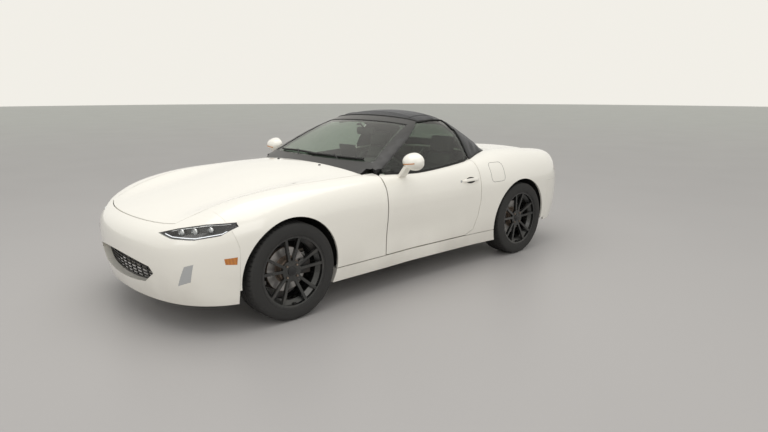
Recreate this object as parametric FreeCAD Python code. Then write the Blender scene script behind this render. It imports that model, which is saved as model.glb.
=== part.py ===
import FreeCAD, Part
import math
import os

# Two-seat roadster with a cloth folding top, left-hand drive, in millimetres.
# +X points forward, +Y to the driver's left and +Z up. The origin is on the ground, in the middle of
# the overall length and width. Every outer panel is cut from one master form, so neighbours line up.

V = FreeCAD.Vector

# Overall sizes
OVERALL_LENGTH = 3915.0
OVERALL_WIDTH = 1735.0
OVERALL_HEIGHT = 1225.0
WHEELBASE = 2310.0
FRONT_OVERHANG = 755.0
FRONT_TRACK = 1495.0
REAR_TRACK = 1505.0

# Stations along the car, from the front axle
NOSE = OVERALL_LENGTH / 2
TAIL = NOSE - OVERALL_LENGTH
FRONT_AXLE = NOSE - FRONT_OVERHANG
REAR_AXLE = FRONT_AXLE - WHEELBASE
DOOR_SETBACK = 781.5
DOOR_LENGTH = 1000.0
DOOR_FRONT = FRONT_AXLE - DOOR_SETBACK
DOOR_REAR = DOOR_FRONT - DOOR_LENGTH
SCREEN_SETBACK = 732.5
SCREEN_BASE = FRONT_AXLE - SCREEN_SETBACK

# Wheels and tyres
TYRE_RADIUS = 308.0
TYRE_WIDTH = 205.0
BEAD_RADIUS = 218.5
RIM_WIDTH = 193.0
RIM_FLANGE_RADIUS = 229.0
RIM_WELL_RADIUS = 192.0
RIM_SHEET = 6.0
HUB_FACE_OFFSET = 45.0
SPOKE_PAIRS = 5
BOLT_CIRCLE_RADIUS = 50.0
STUD_RADIUS = 6.0
STUD_COUNT = 4
HUB_RADIUS = 66.0
HUB_PLATE = 12.0
CENTRE_BORE_RADIUS = 27.1
DISC_RADIUS = 140.0
DISC_THICKNESS = 22.0
DISC_INSET = 42.0
AXLE_RADIUS = 24.0
RUNNING_CLEARANCE = 0.3
MOVING_CLEARANCE = 5.0

# Panels
PANEL_GAP = 5.0
FIXED_GAP = 0.9
SKIN = 14.0
LID_SKIN = 22.0
SEAL_GAP = 0.3
ARCH_RADIUS = 343.0
LINER_RADIUS = 364.0
LINER_SHEET = 4.0
SILL_BOTTOM = 165.0
DOOR_BOTTOM = 262.0
NOSE_BOTTOM = 178.0
TAIL_BOTTOM = 235.0
BELT_HEIGHT = 818.0

# Steering
STEER_AXIS_Y = 690.0
STEER_ARM = 120.0
UPPER_BALL_HEIGHT = 455.0
LOWER_BALL_HEIGHT = 180.0


class Line:
    """A smooth curve through (station, value) points: a natural cubic spline, straight past its ends."""

    def __init__(self, *points):
        self.points = sorted(points)
        self.bends = self._bends()

    def _bends(self):
        at = [p[0] for p in self.points]
        value = [p[1] for p in self.points]
        last = len(at) - 1
        upper = [0.0] * (last + 1)
        right = [0.0] * (last + 1)
        for i in range(1, last):
            before = at[i] - at[i - 1]
            after = at[i + 1] - at[i]
            pull = 6 * ((value[i + 1] - value[i]) / after - (value[i] - value[i - 1]) / before)
            pivot = 2 * (before + after) - before * upper[i - 1]
            upper[i] = after / pivot
            right[i] = (pull - before * right[i - 1]) / pivot
        bends = [0.0] * (last + 1)
        for i in range(last - 1, 0, -1):
            bends[i] = right[i] - upper[i] * bends[i + 1]
        return bends

    def __call__(self, x):
        first, last = self.points[0], self.points[-1]
        if x <= first[0]:
            return first[1] + (x - first[0]) * self._end_slope(0)
        if x >= last[0]:
            return last[1] + (x - last[0]) * self._end_slope(-1)
        i = 1
        while self.points[i][0] < x:
            i += 1
        (a, low), (b, high) = self.points[i - 1], self.points[i]
        width = b - a
        s, t = (b - x) / width, (x - a) / width
        swell = (s**3 - s) * self.bends[i - 1] + (t**3 - t) * self.bends[i]
        return s * low + t * high + swell * width * width / 6

    def _end_slope(self, end):
        (a, low), (b, high) = self.points[:2] if end == 0 else self.points[-2:]
        near = self.bends[1] if end == 0 else self.bends[-2]
        turn = -near if end == 0 else near
        return (high - low) / (b - a) + turn * (b - a) / 6


def smooth_max(a, b, width):
    """The larger of two distances, rounded where they are within width of each other."""
    h = max(width - abs(a - b), 0.0) / width
    return max(a, b) + h * h * h * width / 6


# Master lines of the body: heights and half-widths against station
spine_height = Line(
    (TAIL, 826), (TAIL + 110, 838), (REAR_AXLE - 500, 856), (REAR_AXLE - 200, 872), (REAR_AXLE + 100, 882),
    (DOOR_REAR, 884), (DOOR_FRONT - 300, 878), (DOOR_FRONT + 80, 866), (FRONT_AXLE - 250, 824),
    (FRONT_AXLE, 780), (FRONT_AXLE + 300, 724), (NOSE - 200, 668), (NOSE - 60, 622), (NOSE, 596),
)
crest_height = Line(
    (TAIL, 800), (TAIL + 200, 838), (REAR_AXLE - 300, 872), (REAR_AXLE, 892), (REAR_AXLE + 250, 880),
    (DOOR_REAR, 846), (DOOR_REAR + 400, 822), (DOOR_FRONT - 350, BELT_HEIGHT - 2), (DOOR_FRONT, BELT_HEIGHT),
    (FRONT_AXLE - 250, 808), (FRONT_AXLE, 793), (FRONT_AXLE + 200, 764), (FRONT_AXLE + 400, 714),
    (NOSE - 200, 652), (NOSE, 560),
)
crest_offset = Line(
    (TAIL, 560), (TAIL + 250, 596), (REAR_AXLE - 300, 632), (REAR_AXLE, 648), (REAR_AXLE + 300, 676),
    (DOOR_REAR, 712), (0, 722), (DOOR_FRONT - 300, 714), (DOOR_FRONT, 700), (FRONT_AXLE - 250, 674),
    (FRONT_AXLE, 656), (FRONT_AXLE + 200, 640), (FRONT_AXLE + 400, 606), (NOSE - 150, 560), (NOSE, 520),
)
HALF_WIDTH = OVERALL_WIDTH / 2
waist_inset = Line(
    (TAIL, 96), (REAR_AXLE - 600, 40), (REAR_AXLE - 300, 10), (REAR_AXLE - 60, 0.5), (REAR_AXLE + 220, 3),
    (DOOR_REAR, 24), (-100, 35), (200, 37), (DOOR_FRONT - 100, 31), (FRONT_AXLE - 350, 17),
    (FRONT_AXLE, 3), (FRONT_AXLE + 200, 7), (FRONT_AXLE + 400, 28), (NOSE - 60, 76), (NOSE, 90),
)
shoulder_round = Line(
    (TAIL, 70), (TAIL + 150, 110), (REAR_AXLE - 300, 170), (REAR_AXLE, 195), (DOOR_REAR, 150),
    (0, 120), (DOOR_FRONT, 130), (FRONT_AXLE - 200, 180), (FRONT_AXLE + 200, 190), (NOSE - 200, 150),
    (NOSE, 120),
)
door_hollow = Line(
    (REAR_AXLE + 300, 0), (DOOR_REAR + 150, 9), (0, 16), (DOOR_FRONT - 300, 17), (DOOR_FRONT + 80, 10),
    (FRONT_AXLE - 260, 0),
)
SPINE_CROWN = 22.0
RIDGE_WIDTH = 135.0
SHOULDER_DROP = 52.0
WAIST_HEIGHT = 590.0
TUMBLE_IN = 50.0
TUMBLE_SPAN = 220.0
TUCK_UNDER = 36.0
TUCK_SPAN = 400.0
HOLLOW_HEIGHT = 400.0
HOLLOW_SPAN = 115.0
NOSE_BREAST = 480.0
TAIL_BREAST = 505.0
CORNER_ROUND_FRONT = 300.0
CORNER_ROUND_REAR = 240.0


def top_form(x, y):
    """Height of the bonnet, wings and deck: a crowned middle and a ridge over each wheel."""
    ridge_y = crest_offset(x)
    ridge = crest_height(x)
    if y >= ridge_y:
        reach = (y - ridge_y) / (HALF_WIDTH - ridge_y)
        return ridge - SHOULDER_DROP * reach * reach
    spine = spine_height(x)
    crown = SPINE_CROWN * (y / 500) ** 2
    crown_there = SPINE_CROWN * (ridge_y / 500) ** 2
    swell = math.exp(-(((y - ridge_y) / RIDGE_WIDTH) ** 2))
    return spine - crown + (ridge - spine + crown_there) * swell


def side_form(x, z):
    """Half-width of the body side: leaning in above the waist, tucked under below it."""
    half = HALF_WIDTH - waist_inset(x)
    if z > WAIST_HEIGHT:
        return half - TUMBLE_IN * ((z - WAIST_HEIGHT) / TUMBLE_SPAN) ** 2
    tuck = TUCK_UNDER * ((WAIST_HEIGHT - z) / TUCK_SPAN) ** 2
    between = REAR_AXLE + 300 < x < FRONT_AXLE - 260
    hollow = door_hollow(x) if between else 0.0
    return half - tuck - hollow * math.exp(-(((z - HOLLOW_HEIGHT) / HOLLOW_SPAN) ** 2))


def nose_form(y, z):
    """Station of the front face: round in plan, drawn back above and below the breast."""
    plan = 52 * (y / 500) ** 2 + 70 * (y / 700) ** 4
    above = 62 * (max(z - NOSE_BREAST, 0) / 200) ** 2
    below = 45 * (max(NOSE_BREAST - z, 0) / 300) ** 2
    return NOSE - plan - above - below


def tail_form(y, z):
    """Station of the rear face."""
    plan = 36 * (y / 500) ** 2 + 58 * (y / 700) ** 4
    above = 58 * (max(z - TAIL_BREAST, 0) / 300) ** 2
    below = 70 * (max(TAIL_BREAST - z, 0) / 300) ** 2
    return TAIL + plan + above + below


def body_form(x, y, z):
    """Distance outside the body's master form, negative inside it."""
    y = abs(y)
    side = y - side_form(x, z)
    if x > 0:
        wall = smooth_max(side, x - nose_form(y, z), CORNER_ROUND_FRONT)
    else:
        wall = smooth_max(side, tail_form(y, z) - x, CORNER_ROUND_REAR)
    return smooth_max(wall, z - top_form(x, y), shoulder_round(x))


# Master lines of the screen, cloth top and side glass
HEADER_X = -92.0
HEADER_HEIGHT = 1172.0
SCREEN_FOOT_HEIGHT = 872.0
SCREEN_BOW = 86.0
TOP_REAR = REAR_AXLE + 70
BACKLIGHT_TOP = REAR_AXLE + 430
BACKLIGHT_TOP_HEIGHT = 1168.0
BACKLIGHT_FOOT_HEIGHT = 880.0
BACKLIGHT_BOW = 80.0
ROOF_CROWN = 62.0
GLASS_LEAN = 0.56
GLASS_CURVE = 26.0
GLASS_THICKNESS = 5.0
roof_height = Line(
    (BACKLIGHT_TOP - 60, OVERALL_HEIGHT - 74), (BACKLIGHT_TOP + 90, OVERALL_HEIGHT - 29),
    (BACKLIGHT_TOP + 200, OVERALL_HEIGHT - 7), (HEADER_X - 300, OVERALL_HEIGHT),
    (HEADER_X - 160, OVERALL_HEIGHT - 12), (HEADER_X, HEADER_HEIGHT),
)
glass_offset = Line(
    (TOP_REAR - 30, 590), (REAR_AXLE + 200, 636), (REAR_AXLE + 420, 690), (DOOR_REAR - 20, 714), (-380, 740),
    (-120, 751), (DOOR_FRONT - 300, 748), (DOOR_FRONT - 60, 732), (DOOR_FRONT + 40, 722),
)
cant_round = Line(
    (TOP_REAR, 110), (BACKLIGHT_TOP, 190), (HEADER_X - 320, 150), (HEADER_X - 110, 105), (HEADER_X, 80), (DOOR_FRONT - 150, 60),
)


def slope_form(x, z, foot_x, foot_z, head_x, head_z):
    """Distance above a straight slope, with the outside over it."""
    run, rise = head_x - foot_x, head_z - foot_z
    length = math.hypot(run, rise)
    away = 1 if run < 0 else -1
    return away * ((x - foot_x) * rise - (z - foot_z) * run) / length


def cabin_form(x, y, z):
    """Distance outside the screen, cloth top and side glass, negative inside them."""
    y = abs(y)
    foot = SCREEN_BASE - SCREEN_BOW * (y / 690) ** 2
    head = HEADER_X - SCREEN_BOW * (y / 690) ** 2
    screen = slope_form(x, z, foot, SCREEN_FOOT_HEIGHT, head, HEADER_HEIGHT)
    back_shift = BACKLIGHT_BOW * (y / 600) ** 2
    back = slope_form(
        x, z, TOP_REAR + back_shift, BACKLIGHT_FOOT_HEIGHT, BACKLIGHT_TOP + back_shift, BACKLIGHT_TOP_HEIGHT
    )
    roof = z - (roof_height(x) - ROOF_CROWN * (y / 560) ** 2)
    rise = z - BELT_HEIGHT
    lean = GLASS_LEAN * rise + GLASS_CURVE * (rise / 300) * abs(rise / 300)
    side = (y - glass_offset(x) + lean) * 0.87
    cover = smooth_max(smooth_max(roof, screen, 60), back, 230)
    return smooth_max(cover, side, cant_round(x))


# Rays on which the master forms are measured
def side_ray(axis_y, axis_z):
    """Rays out of a lengthwise axis: (station, angle above level)."""

    def ray(x, angle):
        a = math.radians(angle)
        return V(x, axis_y, axis_z), V(0, math.cos(a), math.sin(a))

    return ray


def ball_ray(centre, facing):
    """Rays out of a point: (angle from the lengthwise axis, angle above level)."""

    def ray(turn, lift):
        t, a = math.radians(turn), math.radians(lift)
        return centre, V(facing * math.cos(t) * math.cos(a), math.sin(t) * math.cos(a), math.sin(a))

    return ray


def roll_ray(axis_x, axis_z):
    """Rays out of a crosswise axis: (offset, angle above forward)."""

    def ray(y, angle):
        a = math.radians(angle)
        return V(axis_x, y, axis_z), V(math.cos(a), 0, math.sin(a))

    return ray


def cast(form, start, direction, depth):
    """The point on a ray where the form is depth inside its surface."""
    near, far = 0.0, 1600.0
    for _ in range(30):
        middle = (near + far) / 2
        p = start + direction * middle
        if form(p.x, p.y, p.z) < -depth:
            near = middle
        else:
            far = middle
    return start + direction * near


def spread(low, high, count):
    return [low + (high - low) * i / (count - 1) for i in range(count)]


def face_through(rows):
    surface = Part.BSplineSurface()
    surface.interpolate(rows)
    return surface.toShape()


def solid_of(faces):
    shell = Part.makeShell(faces)
    shell.sewShape()
    solid = Part.makeSolid(shell)
    if solid.Volume < 0:
        solid.reverse()
    return solid


def slab(form, ray, first, second, thickness, depth=0.0):
    """A panel blank: the form's surface over a grid of rays, thickened inwards."""
    skins = [
        face_through([[cast(form, *ray(u, v), d) for v in second] for u in first])
        for d in (depth, depth + thickness)
    ]
    walls = [Part.makeRuledSurface(a, b) for a, b in zip(skins[0].Edges, skins[1].Edges)]
    return solid_of(skins + walls)


# Cutters
def polygon(points):
    return Part.makePolygon(list(points) + [points[0]])


def wire_of(runs):
    """A closed outline from runs of points: a run of two is straight, a longer one is a smooth curve."""
    edges = []
    for run in runs:
        if len(run) == 2:
            edges.append(Part.LineSegment(run[0], run[1]).toShape())
        else:
            curve = Part.BSplineCurve()
            curve.interpolate(run)
            edges.append(curve.toShape())
    return Part.Wire(Part.sortEdges(edges)[0])


def prism(wire, sweep):
    return Part.Face(wire).extrude(sweep)


def side_prism(points, near, far):
    """A prism across the car from an outline of (station, height)."""
    return prism(polygon([V(x, near, z) for x, z in points]), V(0, far - near, 0))


def plan_prism(points, low, high):
    """An upright prism from an outline of (station, offset)."""
    return prism(polygon([V(x, y, low) for x, y in points]), V(0, 0, high - low))


def front_prism(points, rear, front):
    """A lengthwise prism from an outline of (offset, height)."""
    return prism(polygon([V(rear, y, z) for y, z in points]), V(front - rear, 0, 0))


def box(x0, x1, y0, y1, z0, z1):
    return Part.makeBox(x1 - x0, y1 - y0, z1 - z0, V(x0, y0, z0))


def tube_between(a, b, radius):
    return Part.makeCylinder(radius, (b - a).Length, a, b - a)


def mirrored(shape):
    return shape.mirror(V(0, 0, 0), V(0, 1, 0))


def both(shape):
    return Part.makeCompound([shape, mirrored(shape)])


def largest(shape):
    return max(shape.Solids, key=lambda s: s.Volume)


def fuse(shapes):
    whole = shapes[0].multiFuse(shapes[1:])
    merged = whole.removeSplitter()
    return merged if merged.isValid() else whole


# Shut lines, shared by the panels on each side of them
BONNET_FRONT_SETBACK = 92.0
BONNET_REAR_SETBACK = 662.5
bonnet_edge = Line(
    (DOOR_FRONT + 20, 672), (FRONT_AXLE - 300, 660), (FRONT_AXLE, 632), (FRONT_AXLE + 250, 596),
    (FRONT_AXLE + 480, 545),
)
BOOT_FRONT = REAR_AXLE - 48
BOOT_LOW = 655.0
TAIL_SHELF = 600.0
boot_edge = Line(
    (TAIL, 500), (REAR_AXLE - 500, 518), (REAR_AXLE - 40, 530), (REAR_AXLE + 250, 580), (DOOR_REAR, 645)
)
BONNET_BOW = 20.0
FENDER_SPLIT_LOW = FRONT_AXLE + 352
FENDER_SPLIT_HIGH = FRONT_AXLE + 412
TAIL_SPLIT = REAR_AXLE - 395


def bonnet_front(y):
    return NOSE - BONNET_FRONT_SETBACK - 62 * (y / 500) ** 2 - 34 * (y / 560) ** 4


def bonnet_rear(y):
    return FRONT_AXLE - BONNET_REAR_SETBACK - BONNET_BOW * (y / 690) ** 2


BONNET_CORNER_X = bonnet_rear(bonnet_edge(DOOR_FRONT + 100))


def bonnet_outline(gap):
    """Half outline of the bonnet in plan, grown by gap, from the middle of its nose to its rear."""
    corner_x = FRONT_AXLE + 480
    edge = [(x, bonnet_edge(x) + gap) for x in spread(corner_x, BONNET_CORNER_X, 9)]
    front = [(bonnet_front(y) + gap, y) for y in spread(0, bonnet_edge(corner_x) - 40, 7)]
    rear = [(bonnet_rear(y) - gap, y) for y in spread(bonnet_edge(BONNET_CORNER_X), 0, 7)]
    return front, edge, rear


def bonnet_prism(gap, low=400, high=1200):
    front, edge, rear = bonnet_outline(gap)
    half = front + edge + rear[1:]
    whole = half + [(x, -y) for x, y in reversed(half[1:-1])]
    return plan_prism(whole, low, high)


def bonnet():
    def ray(u, v):
        y = v * 690
        front = bonnet_front(y) + 30 if abs(y) < 560 else bonnet_front(560) + 30
        rear = bonnet_rear(y) - 25
        x = rear + u * (front - rear)
        return V(x, y, 330), V(0, 0, 1)

    blank = slab(body_form, ray, spread(0, 1, 19), spread(-1, 1, 31), LID_SKIN)
    return largest(blank.common(bonnet_prism(-PANEL_GAP / 2)))


def front_lamp_outline(gap):
    """The headlamp seen from the front: slim, rising and widening outwards."""
    return [
        (452 - gap, 592 - gap * 0.2), (560, 572 - gap), (690, 572 - gap), (782, 596 - gap), (812 + gap, 640),
        (796, 662 + gap), (700, 654 + gap), (560, 624 + gap),
    ]


def grille_outline(gap):
    """The mouth in the front bumper, seen from the front."""
    upper = [(y, 424 + gap - 34 * (y / 400) ** 2) for y in spread(-400, 400, 9)]
    lower = [(y, 262 - gap + 22 * (y / 330) ** 2) for y in spread(330, -330, 7)]
    return upper + [(432 + gap, 352)] + lower + [(-432 - gap, 352)]


def running_lamp_outline(gap):
    """The upright lamp pocket near each front corner, seen from the front."""
    return [(596 - gap, 300 - gap), (668 + gap, 330 - gap), (694 + gap, 436 + gap), (650 - gap, 420 + gap)]


def side_marker_outline(gap):
    """The amber marker between the headlamp and the front wheel, seen from the side."""
    x = FRONT_AXLE + ARCH_RADIUS
    return [
        (x + 26 - gap, 424 - gap), (x + 86 + gap, 430 - gap), (x + 92 + gap, 464 + gap), (x + 22 - gap, 468 + gap)
    ]


def arch(axle, radius=ARCH_RADIUS):
    """A cylinder over both wheels of an axle."""
    return Part.makeCylinder(radius, 2 * HALF_WIDTH + 200, V(axle, -HALF_WIDTH - 100, TYRE_RADIUS), V(0, 1, 0))


def front_of_split(shift=0.0):
    """Everything ahead of the joint between wing and bumper."""
    far = NOSE + 200
    return side_prism(
        [(FENDER_SPLIT_LOW + shift, 0), (FENDER_SPLIT_LOW + shift, 520), (FENDER_SPLIT_HIGH + shift, 720),
         (FENDER_SPLIT_HIGH + shift, 1000), (far, 1000), (far, 0)],
        -HALF_WIDTH - 100, HALF_WIDTH + 100,
    )


front_blank_ray = ball_ray(V(FRONT_AXLE + 60, 0, 430), 1)


def front_blank(thickness, depth=0.0):
    return slab(body_form, front_blank_ray, spread(-78, 78, 53), spread(-25, 42, 19), thickness, depth)


def front_bumper(blank):
    shape = blank.common(front_of_split(FIXED_GAP / 2))
    shape = shape.cut(bonnet_prism(PANEL_GAP / 2))
    for opening in (
        front_prism(grille_outline(0), FRONT_AXLE, NOSE + 50),
        both(front_prism(front_lamp_outline(SEAL_GAP), FRONT_AXLE + 200, NOSE + 50)),
        both(front_prism(running_lamp_outline(SEAL_GAP), FRONT_AXLE + 350, NOSE + 50)),
        both(side_prism(side_marker_outline(SEAL_GAP), HALF_WIDTH - 200, HALF_WIDTH + 50)),
        arch(FRONT_AXLE),
        box(FRONT_AXLE, NOSE + 50, -HALF_WIDTH, HALF_WIDTH, 0, NOSE_BOTTOM),
    ):
        shape = shape.cut(opening)
    return largest(shape)


def front_lamps(blank):
    lamp = blank.common(front_prism(front_lamp_outline(0), FRONT_AXLE + 200, NOSE + 50))
    lamp = largest(lamp.cut(bonnet_prism(PANEL_GAP / 2)))
    return both(lamp)


def marker_lamps(blank):
    strip = largest(blank.common(front_prism(running_lamp_outline(0), FRONT_AXLE + 350, NOSE + 50)))
    amber = largest(blank.common(side_prism(side_marker_outline(0), HALF_WIDTH - 200, HALF_WIDTH + 50)))
    return Part.makeCompound([strip, mirrored(strip), amber, mirrored(amber)])


def front_wing():
    ray = side_ray(430, 520)
    blank = slab(
        body_form, ray, spread(DOOR_FRONT - 10, FRONT_AXLE + 430, 31), spread(-52, 76, 29), SKIN
    )
    shape = blank.cut(front_of_split(-FIXED_GAP / 2)).cut(bonnet_prism(PANEL_GAP / 2))
    shape = shape.cut(box(0, DOOR_FRONT + PANEL_GAP / 2, 0, HALF_WIDTH + 50, 0, 1200))
    shape = shape.cut(arch(FRONT_AXLE)).cut(box(0, NOSE, 0, HALF_WIDTH + 50, 0, DOOR_BOTTOM))
    shape = shape.cut(door_sweep(MOVING_CLEARANCE))
    inner_edge = bonnet_edge(BONNET_CORNER_X) + PANEL_GAP / 2
    shape = shape.cut(box(0, bonnet_rear(0), 0, inner_edge, 700, 1200))
    lamp = front_prism(front_lamp_outline(SEAL_GAP), FRONT_AXLE + 200, NOSE + 50)
    return largest(shape.cut(lamp))


# Doors
DOOR_INNER_Y = 706.0
DOOR_HINGE_BACK = 60.0
DOOR_HINGE_X = DOOR_FRONT - DOOR_HINGE_BACK
DOOR_HINGE_Y = 775.0
DOOR_HINGE_HEIGHTS = (420.0, 660.0)
HINGE_PIN_RADIUS = 6.0
HINGE_LEAF = 14.0
HINGE_NOTCH = 26.0
GLASS_SLOT_DEPTH = 90.0
GLASS_THICKNESS_DEPTH = 5.0
CANT_HEIGHT = 1136.0
PILLAR_WIDTH = 98.0
GLASS_FRONT = DOOR_FRONT - 50
POST_INNER_Y = 640.0
POST_OUTER_Y = 698.0


def door_outline(gap):
    """The door seen from the side, shrunk by gap."""
    low, high = DOOR_BOTTOM + gap, BELT_HEIGHT + 60
    front = [(DOOR_FRONT - gap, high), (DOOR_FRONT - gap, low)]
    rear = [
        (DOOR_REAR + 150, low), (DOOR_REAR + 62 + gap, 300), (DOOR_REAR + 18 + gap, 400),
        (DOOR_REAR + gap, 520), (DOOR_REAR + gap, high),
    ]
    return front + rear


def side_glass_outline(grow=0.0, bottom=BELT_HEIGHT - GLASS_SLOT_DEPTH):
    """The door glass seen from the side."""
    side_bow = SCREEN_BOW * 0.62
    slope = (HEADER_HEIGHT - SCREEN_FOOT_HEIGHT) / (SCREEN_BASE - HEADER_X)
    foot_x = SCREEN_BASE - side_bow + (SCREEN_FOOT_HEIGHT - BELT_HEIGHT) / slope - PILLAR_WIDTH
    top_x = foot_x - (CANT_HEIGHT - BELT_HEIGHT) / slope
    rear_x = DOOR_REAR + 14 - grow
    crown = [
        (x, CANT_HEIGHT + grow + 12 * math.sin(math.pi * (top_x - x) / (top_x - rear_x - 30)))
        for x in spread(top_x, rear_x + 30, 7)
    ]
    return (
        [(GLASS_FRONT + grow, bottom - grow), (GLASS_FRONT + grow, BELT_HEIGHT + (foot_x - GLASS_FRONT) * slope)]
        + crown
        + [(rear_x + 10, CANT_HEIGHT - 90), (rear_x, BELT_HEIGHT + 90), (rear_x, bottom - grow)]
    )


def side_glass_blank(thickness, depth):
    stations = spread(DOOR_REAR - 41, DOOR_FRONT + 31, 21)
    return slab(cabin_form, side_ray(0, 690), stations, spread(2, 46, 17), thickness, depth)


def door_glass():
    blank = side_glass_blank(GLASS_THICKNESS, GLASS_THICKNESS_DEPTH)
    return largest(blank.common(side_prism(side_glass_outline(), 300, HALF_WIDTH + 50)))


def wedge(form, ray, first, second, depth=0.0):
    """A solid from the form's surface in to the rays' lengthwise axis."""
    skin = face_through([[cast(form, *ray(x, a), depth) for a in second] for x in first])
    hub = ray(first[0], 0)[0]
    axis = Part.makeLine(hub, ray(first[-1], 0)[0])
    walls = []
    for edge in skin.Edges:
        a, b = edge.Vertexes[0].Point, edge.Vertexes[-1].Point
        if abs(a.x - b.x) > 1:
            walls.append(Part.makeRuledSurface(edge, axis))
        else:
            centre = V(a.x, hub.y, hub.z)
            walls.append(Part.Face(Part.Wire([Part.makeLine(centre, a), edge, Part.makeLine(b, centre)])))
    return solid_of([skin] + walls)


def door_sweep(gap):
    """The space that the door's front edge turns through, a barrel about the hinge axis."""
    heights = spread(170, 800, 9)
    skin = [cast(body_form, V(DOOR_FRONT, 500, z), V(0, 1, 0), 0).y - DOOR_HINGE_Y for z in heights]
    profile = [V(math.hypot(DOOR_HINGE_BACK, e) + gap, 0, z) for e, z in zip(skin, heights)]
    top, bottom = profile[-1], profile[0]
    runs = [
        profile,
        [top, V(top.x, 0, 900)],
        [V(top.x, 0, 900), V(0, 0, 900)],
        [V(0, 0, 900), V(0, 0, bottom.z)],
        [V(0, 0, bottom.z), bottom],
    ]
    barrel = Part.Face(wire_of(runs)).revolve(V(0, 0, 0), V(0, 0, 1), 360)
    barrel.translate(V(DOOR_HINGE_X, DOOR_HINGE_Y, 0))
    return barrel


def door_shell():
    ray = side_ray(520, 560)
    whole = wedge(body_form, ray, spread(DOOR_REAR - 20, DOOR_FRONT + 20, 25), spread(-52, 74, 27))
    door = whole.common(side_prism(door_outline(PANEL_GAP / 2), DOOR_INNER_Y, HALF_WIDTH + 50))
    slot = side_glass_blank(GLASS_THICKNESS + 2 * SEAL_GAP, GLASS_THICKNESS_DEPTH - SEAL_GAP)
    door = door.cut(slot.common(side_prism(side_glass_outline(SEAL_GAP), 300, HALF_WIDTH + 50)))
    swing = DOOR_HINGE_Y - DOOR_INNER_Y - 2
    corner = box(DOOR_HINGE_X, DOOR_FRONT, DOOR_INNER_Y - 5, DOOR_HINGE_Y, 0, 1000)
    turn = Part.makeCylinder(swing, 1000, V(DOOR_HINGE_X, DOOR_HINGE_Y, 0))
    door = door.cut(corner.cut(turn))
    pins = []
    for z in DOOR_HINGE_HEIGHTS:
        low, high = z - HINGE_NOTCH / 2, z + HINGE_NOTCH / 2
        notch = box(DOOR_HINGE_X - 20, DOOR_FRONT + 10, DOOR_INNER_Y - 5, DOOR_HINGE_Y + 28, low, high)
        door = door.cut(notch)
        pin = Part.makeCylinder(
            HINGE_PIN_RADIUS, HINGE_NOTCH + 20, V(DOOR_HINGE_X, DOOR_HINGE_Y, low - 10)
        )
        pins.append(pin)
    return largest(fuse([largest(door)] + pins))


def hinge_leaf(z):
    """The fixed half of a door hinge, from the post to its eye round the pin."""
    eye = V(DOOR_HINGE_X, DOOR_HINGE_Y, z - HINGE_LEAF / 2)
    arm = plan_prism(
        [(DOOR_HINGE_X - 11, DOOR_HINGE_Y), (DOOR_HINGE_X + 11, DOOR_HINGE_Y),
         (DOOR_HINGE_X + 56, POST_OUTER_Y - 4), (DOOR_HINGE_X + 18, POST_OUTER_Y - 4)],
        eye.z, eye.z + HINGE_LEAF,
    )
    barrel = Part.makeCylinder(12, HINGE_LEAF, eye)
    hole = Part.makeCylinder(HINGE_PIN_RADIUS + RUNNING_CLEARANCE, HINGE_LEAF + 2, eye - V(0, 0, 1))
    return arm.fuse(barrel).cut(hole)


MIRROR_CENTRE = V(DOOR_FRONT - 190, HALF_WIDTH + 8, BELT_HEIGHT + 86)
MIRROR_REACH = V(60, 88, 60)


def door_mirror():
    """A rounded housing, hollowed at its rear for the glass, on a short foot that stands on the door."""
    centre, reach = MIRROR_CENTRE, MIRROR_REACH
    face_x = centre.x - reach.x * 0.4
    sections = []
    for share in (-1, -0.86, -0.5, 0, 0.5, 0.86, 1):
        size = math.sqrt(1.06 - share * share)
        arc = [
            V(face_x + reach.x * 1.4 * size * math.cos(math.radians(a)), centre.y + share * reach.y,
              centre.z + reach.z * size * math.sin(math.radians(a)))
            for a in spread(-90, 90, 9)
        ]
        sections.append(wire_of([arc, [arc[-1], arc[0]]]))
    shell = Part.makeLoft(sections, True)
    room = box(face_x - 1, face_x + 7, centre.y - reach.y * 0.72, centre.y + reach.y * 0.72,
               centre.z - reach.z * 0.6, centre.z + reach.z * 0.6)
    room = room.makeFillet(30, [e for e in room.Edges if abs(e.tangentAt(e.FirstParameter).x) > 0.9])
    foot = Part.makeLoft(
        [
            polygon([V(centre.x + x, y, BELT_HEIGHT - 30) for x, y in
                     ((-36, 752), (34, 752), (34, 776), (-36, 776))]),
            polygon([V(centre.x + x, y, centre.z - 26) for x, y in
                     ((-18, 820), (26, 820), (26, 862), (-18, 862))]),
        ],
        True, True,
    )
    return largest(shell.cut(room).fuse(foot))


# Screen, cloth top and rear window
TOP_THICKNESS = 12.0
FRAME_THICKNESS = 22.0
COWL_RECESS = 28.0
COWL_THICKNESS = 12.0
HEADER_BAND = 62.0
SCREEN_SIDE_FOOT = 622.0
SCREEN_SIDE_TOP = 478.0
WINDOW_HALF_WIDTH = 350.0


def windscreen_outline(grow):
    """The screen glass in plan."""
    foot_y, top_y = SCREEN_SIDE_FOOT + grow, SCREEN_SIDE_TOP + grow
    foot = [(SCREEN_BASE - 30 - SCREEN_BOW * (y / 690) ** 2 + grow, y) for y in spread(-foot_y, foot_y, 9)]
    top = [(HEADER_X + 26 - SCREEN_BOW * (y / 690) ** 2 - grow, y) for y in spread(top_y, -top_y, 9)]
    return foot + top


def header_rear(y):
    return HEADER_X - HEADER_BAND - SCREEN_BOW * (y / 690) ** 2


def screen_blank(thickness, depth):
    stations = spread(header_rear(620) - 30, SCREEN_BASE + 60, 27)
    return slab(cabin_form, side_ray(0, 690), stations, spread(5, 175, 41), thickness, depth)


def windscreen():
    return largest(screen_blank(GLASS_THICKNESS, 4).common(plan_prism(windscreen_outline(0), 700, 1300)))


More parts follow.
